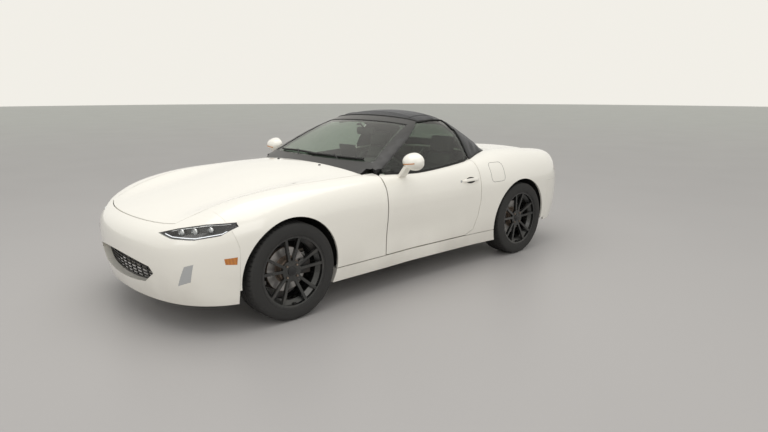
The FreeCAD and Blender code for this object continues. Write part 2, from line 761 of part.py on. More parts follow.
def deck_block(low_x, high_x, depth, thickness=260.0):
    """What lies under the body's upper surface between two stations."""

    def ray(x, y):
        return V(x, y, 330), V(0, 0, 1)

    return slab(body_form, ray, spread(low_x, high_x, 21), spread(-790, 790, 41), thickness, depth)


def side_opening(grow):
    cutter = side_prism(side_glass_outline(grow), 200, HALF_WIDTH + 50)
    return both(cutter)


def windscreen_frame():
    frame = screen_blank(FRAME_THICKNESS, 0)
    frame = frame.cut(plan_prism(windscreen_outline(SEAL_GAP), 700, 1300))
    rear = [(header_rear(y), y) for y in spread(-700, 700, 15)]
    frame = frame.cut(plan_prism(rear + [(HEADER_X - 400, 700), (HEADER_X - 400, -700)], 1050, 1300))
    frame = frame.cut(side_opening(MOVING_CLEARANCE))
    frame = frame.cut(deck_block(HEADER_X + 70, SCREEN_BASE + 120, COWL_RECESS - SEAL_GAP))
    door_room = box(HEADER_X - 400, DOOR_FRONT + 4, DOOR_INNER_Y - 6, HALF_WIDTH, 0, BELT_HEIGHT + 34)
    frame = frame.cut(both(door_room))
    wing_room = box(DOOR_FRONT - 4, DOOR_FRONT + 300, bonnet_edge(DOOR_FRONT) - 6, HALF_WIDTH, 0, 1200)
    frame = frame.cut(both(wing_room)).cut(bonnet_prism(PANEL_GAP + 2))
    arm_room = box(DOOR_FRONT - 60, DOOR_FRONT + 200, BONNET_ARM_Y - 12, BONNET_ARM_Y + 32, 600, BELT_HEIGHT + 32)
    frame = frame.cut(both(arm_room))
    return largest(frame)


def cowl_panel():
    def ray(u, y):
        front = bonnet_rear(y) + 16
        rear = SCREEN_BASE - 30 - SCREEN_BOW * (y / 690) ** 2
        return V(rear + u * (front - rear), y, 330), V(0, 0, 1)

    return slab(body_form, ray, spread(0, 1, 9), spread(-628, 628, 21), COWL_THICKNESS, COWL_RECESS)


def soft_top():
    stations = spread(TOP_REAR - 26, HEADER_X - 40, 33)
    shell = slab(cabin_form, side_ray(0, 760), stations, spread(3, 177, 51), TOP_THICKNESS)
    front = [(header_rear(y) - FIXED_GAP, y) for y in spread(-700, 700, 15)]
    shell = shell.cut(plan_prism(front + [(400, 700), (400, -700)], 700, 1300))
    shell = shell.cut(side_opening(MOVING_CLEARANCE + 2))
    low_front = both(box(DOOR_REAR - 4, 400, 300, HALF_WIDTH, 600, CANT_HEIGHT - 60))
    shell = shell.cut(low_front)
    shell = shell.cut(deck_block(TOP_REAR - 60, DOOR_REAR + 60, -FIXED_GAP - SEAL_GAP, 300))
    shell = shell.cut(rear_window_prism(SEAL_GAP))
    return largest(shell)


def rear_window_prism(grow):
    low, high = BACKLIGHT_FOOT_HEIGHT + 52 - grow, BACKLIGHT_TOP_HEIGHT - 62 + grow
    half = WINDOW_HALF_WIDTH + grow
    points = [(-half, low + 20), (-half + 24, low), (half - 24, low), (half, low + 20),
              (half - 46, high - 22), (half - 76, high), (-half + 76, high), (-half + 46, high - 22)]
    return front_prism(points, TOP_REAR - 60, BACKLIGHT_TOP + 40)


def rear_window():
    stations = spread(TOP_REAR - 26, BACKLIGHT_TOP + 60, 17)
    shell = slab(cabin_form, side_ray(0, 760), stations, spread(3, 177, 41), GLASS_THICKNESS, 4)
    return largest(shell.common(rear_window_prism(0)))


# Rear body
TAILPIPES = (-430.0, -345.0)
TAILPIPE_RADIUS = 36.0
TAILPIPE_Z = 226.0
rear_ray = ball_ray(V(REAR_AXLE - 290, 0, 480), -1)


def tail_lamp_outline(gap):
    return [
        (528 - gap, 640), (566, 616 - gap), (690, 612 - gap), (770, 634 - gap), (812 + gap, 676),
        (790, 716 + gap), (700, 738 + gap), (600, 734 + gap), (540 - gap, 706),
    ]


def tail_blank():
    return slab(body_form, rear_ray, spread(-100, 100, 57), spread(-25, 42, 21), SKIN)


def boot_opening(gap):
    stations = spread(TAIL - 60, DOOR_REAR + 40, 15)
    edge = [(x, boot_edge(x) + gap) for x in stations]
    return plan_prism(edge + [(x, -y) for x, y in reversed(edge)], 640, 1300)


def rear_bumper():
    outline = [
        (-900, 100), (-900, TAIL_SHELF - FIXED_GAP), (-498, TAIL_SHELF - FIXED_GAP), (-498, BOOT_LOW - PANEL_GAP),
        (498, BOOT_LOW - PANEL_GAP), (498, TAIL_SHELF - FIXED_GAP), (900, TAIL_SHELF - FIXED_GAP), (900, 100),
    ]
    shape = tail_blank().common(front_prism(outline, TAIL - 60, TAIL_SPLIT - FIXED_GAP))
    shape = shape.cut(arch(REAR_AXLE)).cut(box(TAIL - 60, REAR_AXLE, -900, 900, 0, TAIL_BOTTOM))
    for y in TAILPIPES:
        shape = shape.cut(Part.makeCylinder(TAILPIPE_RADIUS + 10, 400, V(TAIL - 60, y, TAILPIPE_Z), V(1, 0, 0)))
    return largest(shape)


def quarter_blank(thickness, depth=0.0):
    return slab(body_form, rear_ray, spread(12, 146, 45), spread(-24, 50, 23), thickness, depth)


def rear_quarter():
    shape = quarter_blank(SKIN)
    shape = shape.cut(box(TAIL - 60, TAIL_SPLIT, -100, 900, 0, TAIL_SHELF))
    shape = shape.cut(boot_opening(PANEL_GAP / 2))
    shape = shape.cut(box(DOOR_REAR - PANEL_GAP / 2, DOOR_FRONT, 0, 900, 540, 1300))
    shape = shape.cut(box(DOOR_REAR + 150, DOOR_FRONT, 0, 900, 0, 1300))
    shape = shape.cut(box(TAIL, DOOR_FRONT, 0, 900, 0, DOOR_BOTTOM - 2))
    shape = shape.cut(side_prism(door_outline(-PANEL_GAP / 2), 300, 900))
    shape = shape.cut(arch(REAR_AXLE))
    shape = shape.cut(front_prism(tail_lamp_outline(SEAL_GAP), TAIL - 60, TAIL + 300))
    shape = shape.cut(box(TAIL - 60, DOOR_FRONT, -100, 0, 0, 1300))
    shape = shape.cut(box(TAIL - 60, DOOR_FRONT, -100, 502, 0, 800))
    return largest(shape)


def tail_lamp():
    shape = quarter_blank(SKIN).common(front_prism(tail_lamp_outline(0), TAIL - 60, TAIL + 300))
    return largest(shape)


BOOT_AXIS_X = BOOT_FRONT + 60.0
BOOT_AXIS_DROP = 45.0
BOOT_AXIS_Z = spine_height(BOOT_FRONT) - BOOT_AXIS_DROP
BOOT_ARM_Y = 420.0
LID_ARM = 16.0


def boot_lid():
    blank = slab(body_form, roll_ray(REAR_AXLE - 290, 480), spread(-575, 575, 27), spread(50, 172, 49), LID_SKIN)
    plan = [(x, boot_edge(x) - PANEL_GAP / 2) for x in spread(TAIL - 60, BOOT_FRONT - PANEL_GAP / 2, 13)]
    shape = blank.common(plan_prism(plan + [(x, -y) for x, y in reversed(plan)], BOOT_LOW, 1300))
    nose = math.hypot(BOOT_AXIS_X - BOOT_FRONT + PANEL_GAP / 2, BOOT_AXIS_DROP)
    swing = Part.makeCylinder(nose, 1400, V(BOOT_AXIS_X, -700, BOOT_AXIS_Z), V(0, 1, 0))
    shape = largest(shape.cut(swing))
    arms = []
    path = [(0, 0), (-22, -44), (-60, -80), (-112, -50), (-150, 22)]
    for side in (-1, 1):
        y = side * BOOT_ARM_Y - LID_ARM / 2
        centre_line = [V(BOOT_AXIS_X + x, y, BOOT_AXIS_Z + z) for x, z in path]
        arms.append(ribbon(centre_line, LID_ARM, V(0, LID_ARM, 0)))
        pin = Part.makeCylinder(7, 30, V(BOOT_AXIS_X, side * BOOT_ARM_Y - 15, BOOT_AXIS_Z), V(0, 1, 0))
        arms.append(pin)
    return largest(fuse([shape] + arms))


def ribbon(points, width, sweep):
    """A flat bar of the given width along points in the lengthwise plane."""
    left, right = [], []
    for i, p in enumerate(points):
        a = points[max(i - 1, 0)]
        b = points[min(i + 1, len(points) - 1)]
        along = (b - a).normalize()
        across = V(-along.z, 0, along.x) * (width / 2)
        left.append(p + across)
        right.append(p - across)
    return prism(polygon(left + right[::-1]), sweep)


def rear_deck():
    front = TOP_REAR + 110

    def ray(u, v):
        x = BOOT_FRONT + PANEL_GAP / 2 + u * (front - BOOT_FRONT)
        return V(x, v * (boot_edge(x) + PANEL_GAP / 2 - FIXED_GAP), 330), V(0, 0, 1)

    panel = slab(body_form, ray, spread(0, 1, 9), spread(-1, 1, 21), SKIN)
    reach = math.hypot(BOOT_AXIS_X - BOOT_FRONT - PANEL_GAP / 2, BOOT_AXIS_DROP)
    swing = Part.makeCylinder(reach, 1400, V(BOOT_AXIS_X, -700, BOOT_AXIS_Z), V(0, 1, 0))
    behind = box(BOOT_FRONT - 100, BOOT_AXIS_X - 30, -700, 700, 600, 1000)
    arm_room = box(BOOT_FRONT - 10, BOOT_FRONT + 13, BOOT_ARM_Y - 14, BOOT_ARM_Y + 14, 700, BOOT_AXIS_Z + 26)
    return largest(panel.cut(behind.cut(swing)).cut(both(arm_room)))


# Bonnet hinges
BONNET_AXIS_X = BONNET_CORNER_X - 62
BONNET_AXIS_DROP = 46.0
BONNET_AXIS_Z = top_form(BONNET_AXIS_X + 62, 645) - BONNET_AXIS_DROP
BONNET_ARM_Y = 640.0
BONNET_ARM_THICKNESS = 10.0


def bonnet_with_hinges():
    x0, z0 = BONNET_AXIS_X, BONNET_AXIS_Z
    roof = BONNET_AXIS_DROP - LID_SKIN / 2
    outline = [(x0 - 12, z0 - 10), (x0 + 10, z0 - 12), (x0 + 130, z0 + roof - 34), (x0 + 130, z0 + roof - 6),
               (x0 + 70, z0 + roof - 2), (x0 + 40, z0 + 12), (x0 - 10, z0 + 10)]
    arms = []
    for side in (-1, 1):
        near = side * BONNET_ARM_Y
        far = side * (BONNET_ARM_Y + BONNET_ARM_THICKNESS)
        arms.append(side_prism(outline, min(near, far), max(near, far)))
        pin = Part.makeCylinder(6, BONNET_ARM_THICKNESS + 14, V(x0, near, z0), V(0, side, 0))
        arms.append(pin)
    return largest(fuse([bonnet()] + arms))


# Structure under the panels
FLOOR_Z = 172.0
FLOOR_SHEET = 8.0
TUNNEL_HALF = 128.0
TUNNEL_TOP = 412.0
FIREWALL_X = DOOR_FRONT + 48.5
BULKHEAD_X = -700.0
BOOT_FLOOR_Z = 332.0
RAIL_Y = 345.0
BEAM_X = NOSE - 200.0
SUBFRAME_TOP = 485.0
RADIATOR_FOOT = 250.0
GEARBOX_REAR = FRONT_AXLE - 960.0
SHAFT_Z = 300.0


def floor_pan():
    plate = box(BULKHEAD_X, FIREWALL_X, -POST_OUTER_Y, POST_OUTER_Y, FLOOR_Z, FLOOR_Z + FLOOR_SHEET)
    outer = box(BULKHEAD_X, FIREWALL_X, -TUNNEL_HALF, TUNNEL_HALF, FLOOR_Z, TUNNEL_TOP)
    inner = box(
        BULKHEAD_X - 1, FIREWALL_X + 1, -TUNNEL_HALF + FLOOR_SHEET, TUNNEL_HALF - FLOOR_SHEET,
        FLOOR_Z - 1, TUNNEL_TOP - FLOOR_SHEET,
    )
    ribs = [
        box(x, x + 60, side * 400 - 230, side * 400 + 230, FLOOR_Z + FLOOR_SHEET, FLOOR_Z + FLOOR_SHEET + 36)
        for x in (-20, -400) for side in (-1, 1)
    ]
    return fuse([plate, outer] + ribs).cut(inner)


def front_structure():
    top = BONNET_AXIS_Z - 22
    firewall = box(FIREWALL_X + SEAL_GAP, FIREWALL_X + 8, -POST_OUTER_Y, POST_OUTER_Y, FLOOR_Z, top)
    passage = box(FIREWALL_X - 10, FIREWALL_X + 20, -TUNNEL_HALF + 8, TUNNEL_HALF - 8, 0, TUNNEL_TOP - 8)
    pieces = [firewall.cut(passage)]
    for side in (-1, 1):
        inner, outer = sorted((side * POST_INNER_Y, side * POST_OUTER_Y))
        pieces.append(box(DOOR_HINGE_X - 22, FIREWALL_X + 2, inner, outer, FLOOR_Z + FLOOR_SHEET + SEAL_GAP, top))
        near = side * (BONNET_ARM_Y + BONNET_ARM_THICKNESS + 2)
        bracket = side_prism(
            [(BONNET_AXIS_X - 22, top - 4), (BONNET_AXIS_X + 22, top - 4), (BONNET_AXIS_X + 14, BONNET_AXIS_Z + 14),
             (BONNET_AXIS_X - 14, BONNET_AXIS_Z + 14)],
            min(near, near + side * 8), max(near, near + side * 8),
        )
        bore = Part.makeCylinder(
            6 + RUNNING_CLEARANCE, 30, V(BONNET_AXIS_X, near - side * 10, BONNET_AXIS_Z), V(0, side, 0)
        )
        pieces.append(bracket.cut(bore))
        rail_in, rail_out = sorted((side * (RAIL_Y - 35), side * (RAIL_Y + 35)))
        pieces.append(box(FIREWALL_X + 4, BEAM_X + 10, rail_in, rail_out, 300, 390))
        wing_in, wing_out = sorted((side * 448, side * 456))
        wall = side_prism(
            [(FIREWALL_X + 4, 380), (FIREWALL_X + 4, 700), (FRONT_AXLE + 90, 690), (FRONT_AXLE + LINER_RADIUS, 600),
             (FRONT_AXLE + LINER_RADIUS, 380)],
            wing_in, wing_out,
        )
        arms = box(FRONT_AXLE - 150, FRONT_AXLE + 150, wing_in - 5, wing_out + 5, 385, 530)
        pieces.append(wall.cut(arms))
        shelf_in, shelf_out = sorted((side * (RAIL_Y + 20), side * 452))
        pieces.append(box(FRONT_AXLE - 230, FRONT_AXLE - 160, shelf_in, shelf_out, 370, 400))
        pieces.append(box(FRONT_AXLE + 160, FRONT_AXLE + 230, shelf_in, shelf_out, 370, 400))
        tower_in, tower_out = sorted((side * 450, side * 610))
        cap = box(FRONT_AXLE - 80, FRONT_AXLE + 80, tower_in, tower_out, TYRE_RADIUS + LINER_RADIUS + LINER_SHEET + SEAL_GAP, 690)
        pieces.append(cap)
        pieces.append(hinged(side))
    pieces.append(box(BEAM_X, BEAM_X + 40, -470, 470, 470, 560))
    pieces.append(box(BEAM_X - 10, BEAM_X + 12, -380, -310, 236, 500))
    pieces.append(box(BEAM_X - 10, BEAM_X + 12, 310, 380, 236, 500))
    pieces.append(box(BEAM_X - 60, BEAM_X + 12, -380, 380, 236, RADIATOR_FOOT))
    return fuse(pieces)


def hinged(side):
    leaves = Part.makeCompound([hinge_leaf(z) for z in DOOR_HINGE_HEIGHTS])
    if side < 0:
        leaves = mirrored(leaves)
    return leaves.Solids[0].multiFuse(leaves.Solids[1:])


def radiator():
    """The cooler, standing on the lower cross bar."""
    return box(BEAM_X - 52, BEAM_X - 12, -302, 302, RADIATOR_FOOT + SEAL_GAP, 468)


def rear_structure():
    tub_front, tub_rear = REAR_AXLE - 150, TAIL + 150
    tub_half = 456
    outer = box(tub_rear, tub_front, -tub_half, tub_half, BOOT_FLOOR_Z, 770)
    inner = box(tub_rear + 6, tub_front - 6, -tub_half + 6, tub_half - 6, BOOT_FLOOR_Z + 6, 900)
    shelf = box(tub_front - 6, BULKHEAD_X, -tub_half, tub_half, 700, 708)
    bulkhead = box(BULKHEAD_X - 8, BULKHEAD_X - SEAL_GAP, -690, 690, FLOOR_Z, 800)
    passage = box(BULKHEAD_X - 20, BULKHEAD_X + 10, -TUNNEL_HALF + 8, TUNNEL_HALF - 8, 0, TUNNEL_TOP - 8)
    pieces = [outer.cut(inner), shelf, bulkhead.cut(passage)]
    for side in (-1, 1):
        rail_in, rail_out = sorted((side * (RAIL_Y - 35), side * (RAIL_Y + 35)))
        pieces.append(box(TAIL + 410, tub_front - 30, rail_in, rail_out, BOOT_FLOOR_Z - 62, BOOT_FLOOR_Z + 2))
        post_in, post_out = sorted((side * 346, side * 378))
        pieces.append(box(REAR_AXLE - 50, REAR_AXLE + 50, post_in, post_out, SUBFRAME_TOP + SEAL_GAP, 702))
        y = side * BOOT_ARM_Y
        near = y + side * 10
        ear_in, ear_out = sorted((near, near + side * 10))
        ear = side_prism(
            [(BOOT_AXIS_X - 16, BOOT_AXIS_Z - 12), (BOOT_AXIS_X - 16, BOOT_AXIS_Z + 14),
             (BOOT_AXIS_X + 16, BOOT_AXIS_Z + 14), (BOOT_AXIS_X + 70, 702), (BOOT_AXIS_X + 20, 702)],
            ear_in, ear_out,
        )
        bore = Part.makeCylinder(7 + RUNNING_CLEARANCE, 40, V(BOOT_AXIS_X, y - 20, BOOT_AXIS_Z), V(0, 1, 0))
        pieces.append(ear.cut(bore))
    pieces.append(box(tub_rear - 40, tub_rear - 8, -470, 470, 420, 520))
    pieces.append(box(tub_rear - 12, tub_rear + 2, -380, 380, 430, 510))
    return fuse(pieces)


def wheel_liner(axle):
    """An arched sheet over a wheel, closed inboard above the axle, ending inside the panel."""
    y0, y1 = 462, HALF_WIDTH
    ring = Part.makeCylinder(LINER_RADIUS + LINER_SHEET, y1 - y0, V(axle, y0, TYRE_RADIUS), V(0, 1, 0))
    ring = ring.cut(Part.makeCylinder(LINER_RADIUS, y1 - y0 + 2, V(axle, y0 - 1, TYRE_RADIUS), V(0, 1, 0)))
    wall = Part.makeCylinder(LINER_RADIUS + 1, LINER_SHEET, V(axle, y0, TYRE_RADIUS), V(0, 1, 0))
    wall = wall.common(box(axle - 400, axle + 400, 0, 900, 540, 900))
    ring = ring.common(box(axle - 400, axle + 400, 0, 900, DOOR_BOTTOM, 900))
    liner = ring.fuse(wall)
    ray = side_ray(430, 520)
    inside = wedge(
        body_form, ray, spread(axle - 400, axle + 400, 19), spread(-52, 88, 21), SKIN + FIXED_GAP
    )
    return largest(liner.common(inside))


def sill():
    ray = side_ray(520, 560)
    block = wedge(body_form, ray, spread(REAR_AXLE + 300, FRONT_AXLE - 300, 31), spread(-60, 20, 15))
    block = block.common(box(-900, 900, POST_OUTER_Y + SEAL_GAP, 900, SILL_BOTTOM, DOOR_BOTTOM - PANEL_GAP - 1))
    return largest(block.cut(arch(FRONT_AXLE)).cut(arch(REAR_AXLE)))


# Grille
GRILLE_DEPTH = 46.0
GRILLE_THICKNESS = 8.0
GRILLE_BAR = 6.0
GRILLE_PITCH = 21.0
MOUTH_DEPTH = 62.0
MOUTH_WALL = 8.0


def mouth_ring():
    """The bumper's inward wall round the mouth."""
    ring = front_prism(grille_outline(MOUTH_WALL), FRONT_AXLE + 300, NOSE + 50)
    ring = ring.cut(front_prism(grille_outline(0), FRONT_AXLE + 290, NOSE + 60))
    return ring


def grille():
    blank = slab(
        body_form, front_blank_ray, spread(-48, 48, 25), spread(-25, 12, 9), GRILLE_THICKNESS, GRILLE_DEPTH
    )
    edge = front_prism(grille_outline(-SEAL_GAP), FRONT_AXLE + 300, NOSE + 50)
    rim = edge.cut(front_prism(grille_outline(-10), FRONT_AXLE + 290, NOSE + 60))
    bars = [rim]
    z = 262 + GRILLE_PITCH / 2
    while z < 430:
        bars.append(box(FRONT_AXLE + 300, NOSE, -440, 440, z, z + GRILLE_BAR))
        z += GRILLE_PITCH
    for y in range(-360, 361, 72):
        bars.append(box(FRONT_AXLE + 300, NOSE, y - GRILLE_BAR / 2, y + GRILLE_BAR / 2, 240, 440))
    lattice = fuse(bars)
    return largest(blank.common(edge).common(lattice))


# Wheels
def turned(runs, centre):
    """A ring about the wheel's own axis from an outline of (radius, offset outboard)."""
    placed = [[V(0, w, r) for r, w in run] for run in runs]
    ring = Part.Face(wire_of(placed)).revolve(V(0, 0, 0), V(0, 1, 0), 360)
    if ring.Volume < 0:
        ring.reverse()
    ring.translate(centre)
    return ring


def tyre():
    seat = BEAD_RADIUS + RUNNING_CLEARANCE
    half = TYRE_WIDTH / 2
    crown = TYRE_RADIUS
    bead = RIM_WIDTH / 2 - 12
    flank = (RIM_FLANGE_RADIUS + 2, bead + 3)
    wall = [flank, (243, 97), (264, half), (290, 97), (301, 86), (crown - 1, 72)]
    lining = [(seat, 72), (240, 82), (264, 90), (286, 85), (crown - 14, 68)]
    runs = [
        [(seat, bead), flank],
        wall,
        [(crown - 1, 72), (crown, 0), (crown - 1, -72)],
        [(r, -w) for r, w in wall[::-1]],
        [(flank[0], -flank[1]), (seat, -bead)],
        [(seat, -bead), (seat, -72)],
        [(r, -w) for r, w in lining],
        [(crown - 14, -68), (crown - 14, 68)],
        lining[::-1],
        [(seat, 72), (seat, bead)],
    ]
    return turned(runs, V(0, 0, 0))


def rim():
    flange = RIM_FLANGE_RADIUS
    half = RIM_WIDTH / 2
    seat, well, sheet = BEAD_RADIUS, RIM_WELL_RADIUS, RIM_SHEET
    outer = [
        (flange, half), (flange, half - 5), (seat, half - 8), (seat, 66), (well, 46), (well, 14), (seat - 6, -8),
        (seat, -66), (seat, 8 - half), (flange, 5 - half), (flange, -half),
    ]
    inner = [
        (seat - sheet - 4, 4 - half), (seat - sheet, -62), (seat - sheet - 6, -8), (well - sheet, 12),
        (well - sheet, 48), (seat - sheet, 68), (seat - sheet - 2, half - 4),
    ]
    points = outer + inner
    barrel = turned([[a, b] for a, b in zip(points, points[1:] + points[:1])], V(0, 0, 0))
    face = HUB_FACE_OFFSET
    hub = Part.makeCylinder(HUB_RADIUS, 22, V(0, face, 0), V(0, 1, 0))
    spokes = []
    outline = [(52, face + 2), (52, face + 22), (90, face + 26), (150, face + 35), (seat - sheet + 1, face + 44),
               (seat - sheet + 1, face + 22), (150, face + 14), (100, face + 6)]
    for i in range(SPOKE_PAIRS):
        for lean in (-13, 13):
            spoke = prism(polygon([V(-9, w, r) for r, w in outline]), V(18, 0, 0))
            spoke.rotate(V(0, 0, 0), V(0, 1, 0), 360 / SPOKE_PAIRS * i + lean)
            spokes.append(spoke)
    wheel = fuse([barrel, hub] + spokes)
    wheel = wheel.cut(Part.makeCylinder(CENTRE_BORE_RADIUS, 60, V(0, face - 5, 0), V(0, 1, 0)))
    for i in range(STUD_COUNT):
        angle = 2 * math.pi * (i + 0.5) / STUD_COUNT
        at = V(BOLT_CIRCLE_RADIUS * math.cos(angle), face - 5, BOLT_CIRCLE_RADIUS * math.sin(angle))
        wheel = wheel.cut(Part.makeCylinder(STUD_RADIUS + 0.5, 60, at, V(0, 1, 0)))
    return wheel


STUB_REACH = 68.0


def brake_disc():
    """Disc, hub flange and the stub axle that turns in the carrier."""
    face = HUB_FACE_OFFSET
    rear = face - DISC_INSET - DISC_THICKNESS
    ring = Part.makeCylinder(DISC_RADIUS, DISC_THICKNESS, V(0, rear, 0), V(0, 1, 0))
    ring = ring.cut(Part.makeCylinder(72, DISC_THICKNESS + 2, V(0, rear - 1, 0), V(0, 1, 0)))
    bell = Part.makeCylinder(76, face - rear, V(0, rear, 0), V(0, 1, 0))
    bell = bell.cut(Part.makeCylinder(68, face - rear - 8, V(0, rear, 0), V(0, 1, 0)))
    stub = Part.makeCylinder(AXLE_RADIUS, face + STUB_REACH, V(0, -STUB_REACH, 0), V(0, 1, 0))
    nose = Part.makeCylinder(CENTRE_BORE_RADIUS - 0.3, 12, V(0, face - 2, 0), V(0, 1, 0))
    pieces = [ring, bell, stub, nose]
    for i in range(STUD_COUNT):
        angle = 2 * math.pi * (i + 0.5) / STUD_COUNT
        at = V(BOLT_CIRCLE_RADIUS * math.cos(angle), face - 3, BOLT_CIRCLE_RADIUS * math.sin(angle))
        pieces.append(Part.makeCylinder(STUD_RADIUS, 32, at, V(0, 1, 0)))
    return fuse(pieces)


WHEELS = {
    "front_left": (FRONT_AXLE, FRONT_TRACK / 2, 1),
    "front_right": (FRONT_AXLE, FRONT_TRACK / 2, -1),
    "rear_left": (REAR_AXLE, REAR_TRACK / 2, 1),
    "rear_right": (REAR_AXLE, REAR_TRACK / 2, -1),
}


def at_wheel(shape, place):
    axle, offset, side = place
    moved = shape.copy()
    moved.translate(V(axle, offset, TYRE_RADIUS))
    return moved if side > 0 else mirrored(moved)


# Suspension and drive
def caliper_and_carrier(track, upright_y, behind=-1):
    """The upright that carries a wheel, with its brake caliper, on the left side at the origin."""
    wheel_y = track / 2
    low, high = LOWER_BALL_HEIGHT - TYRE_RADIUS, UPPER_BALL_HEIGHT - TYRE_RADIUS
    y0, y1 = upright_y - 20, upright_y + 16
    upright = prism(
        polygon([V(x, y0, z) for x, z in (
            (-22, low), (22, low), (46, -40), (46, 40), (20, high), (-20, high), (-46, 40), (-46, -40))]),
        V(0, y1 - y0, 0),
    )
    disc_rear = wheel_y + HUB_FACE_OFFSET - DISC_INSET - DISC_THICKNESS
    body = box(-164, -96, disc_rear - 22, disc_rear + DISC_THICKNESS + 20, -46, 46)
    if behind > 0:
        body = box(96, 164, disc_rear - 22, disc_rear + DISC_THICKNESS + 20, -46, 46)
    room = Part.makeCylinder(DISC_RADIUS + 4, DISC_THICKNESS + 5, V(0, disc_rear - 2.5, 0), V(0, 1, 0))
    body = body.cut(room)
    x0, x1 = sorted((behind * 40, behind * 120))
    bridge = box(x0, x1, disc_rear - 22, disc_rear - 6, -24, 24)
    link = box(min(x0, x1), max(x0, x1), y0, disc_rear - 8, -24, 24).common(
        box(-200, 200, y0, disc_rear - 6, -24, 24))
    bearing = Part.makeCylinder(42, disc_rear - 6 - y0, V(0, y0, 0), V(0, 1, 0))
    whole = fuse([upright, body, bridge, link, bearing])
    bore = Part.makeCylinder(AXLE_RADIUS + RUNNING_CLEARANCE, 300, V(0, upright_y - 100, 0), V(0, 1, 0))
    return whole.cut(bore)


def knuckle():
    shape = caliper_and_carrier(FRONT_TRACK, STEER_AXIS_Y)
    arm = box(20, STEER_ARM + 14, STEER_AXIS_Y - 16, STEER_AXIS_Y + 16, -62, -46)
    web = box(-20, 40, STEER_AXIS_Y - 16, STEER_AXIS_Y + 16, -70, -40)
    shape = fuse([shape, arm, web])
    shape.translate(V(FRONT_AXLE, 0, TYRE_RADIUS))
    return shape


def spring_and_damper(foot, head):
    """A damper with a coil spring drawn as one ribbed sleeve."""
    length = (head - foot).Length
    coils = 7
    low, high = length * 0.34, length * 0.94
    pitch = (high - low) / coils
    points = [(0, 0), (20, 0), (20, low - 6), (52, low - 6), (52, low)]
    for i in range(coils):
        points += [(38, low + pitch * (i + 0.12)), (50, low + pitch * (i + 0.5)), (38, low + pitch * (i + 0.88))]
    points += [(48, high), (48, high + 6), (14, high + 6), (14, length), (0, length)]
    outline = polygon([V(r, 0, z) for r, z in points])
    sleeve = Part.Face(outline).revolve(V(0, 0, 0), V(0, 0, 1), 360)
    turn = FreeCAD.Rotation(V(0, 0, 1), head - foot)
    sleeve.Placement = FreeCAD.Placement(foot, turn)
    return sleeve


def front_suspension():
    x, y = FRONT_AXLE, STEER_AXIS_Y
    pieces = []
    for side in (-1, 1):
        low = V(x, side * y, LOWER_BALL_HEIGHT - 18)
        pieces.append(Part.makeCylinder(20, 17.7, V(x, side * y, LOWER_BALL_HEIGHT - 18)))
        for reach in (-120, 120):
            root = V(x + reach, side * 372, 196)
            pieces.append(tube_between(root, low - V(0, 0, 2), 13))
        pieces.append(Part.makeCylinder(17, 24, V(x, side * y, UPPER_BALL_HEIGHT + 0.3)))
        for reach in (-95, 95):
            root = V(x + reach, side * 392, 482)
            pieces.append(tube_between(root, V(x, side * y, UPPER_BALL_HEIGHT + 14), 11))
        pieces.append(box(x - 112, x + 112, side * 395 - 12, side * 395 + 12, 388, 494))
        pieces.append(spring_and_damper(V(x, side * 545, 172), V(x, side * 530, 667)))
        seat_in, seat_out = sorted((side * 150, side * 190))
        pieces.append(box(x + STEER_ARM - 20, x + STEER_ARM + 20, seat_in, seat_out, 200, TYRE_RADIUS - 100.3))
        rail_in, rail_out = sorted((side * (RAIL_Y - 30), side * (RAIL_Y + 30)))
        for reach in (-150, 30):
            pieces.append(box(x + reach, x + reach + 55, rail_in, rail_out, 200, 300 - SEAL_GAP))
        for reach in (-112, 92):
            pieces.append(box(x + reach, x + reach + 20, side * 395 - 12, side * 395 + 12, 180, 392))
    pieces.append(box(x - 150, x + 150, -407, 407, 172, 205))
    return fuse(pieces)


def rear_suspension():
    x, y = REAR_AXLE, STEER_AXIS_Y
    pieces = [box(x - 140, x + 120, -362, 362, 182, 216)]
    for side in (-1, 1):
        carrier = caliper_and_carrier(REAR_TRACK, y, 1)
        carrier.translate(V(x, 0, TYRE_RADIUS))
        pieces.append(carrier if side > 0 else mirrored(carrier))
        for reach in (-110, 90):
            pieces.append(tube_between(V(x + reach, side * 350, 200), V(x + reach * 0.16, side * y, 196), 14))
        for reach in (-90, 90):
            pieces.append(tube_between(V(x + reach, side * 368, 470), V(x + reach * 0.12, side * y, 440), 12))
        frame = box(x - 104, x + 104, side * 362 - 14, side * 362 + 14, 215, SUBFRAME_TOP)
        pieces.append(frame.cut(box(x - 60, x + 60, side * 362 - 20, side * 362 + 20, 250, 420)))
        pieces.append(spring_and_damper(V(x - 92, side * 470, 192), V(x - 92, side * 545, 655)))
    return fuse(pieces)


RACK_RADIUS = 13.0


def steering_rack():
    x = FRONT_AXLE + STEER_ARM
    z = TYRE_RADIUS - 62
    rods = tube_between(V(x, -STEER_AXIS_Y + 12, z - 14), V(x, STEER_AXIS_Y - 12, z - 14), 8)
    bar = tube_between(V(x, -180, z - 14), V(x, 180, z - 14), RACK_RADIUS)
    ends = [Part.makeCylinder(13, 26, V(x, side * STEER_AXIS_Y, z - 26.3)) for side in (-1, 1)]
    return fuse([rods, bar] + ends)


def rack_housing():
    x = FRONT_AXLE + STEER_ARM
    z = TYRE_RADIUS - 76
    housing = Part.makeCylinder(24, 520, V(x, -260, z), V(0, 1, 0))
    return housing.cut(Part.makeCylinder(RACK_RADIUS + RUNNING_CLEARANCE, 522, V(x, -261, z), V(0, 1, 0)))


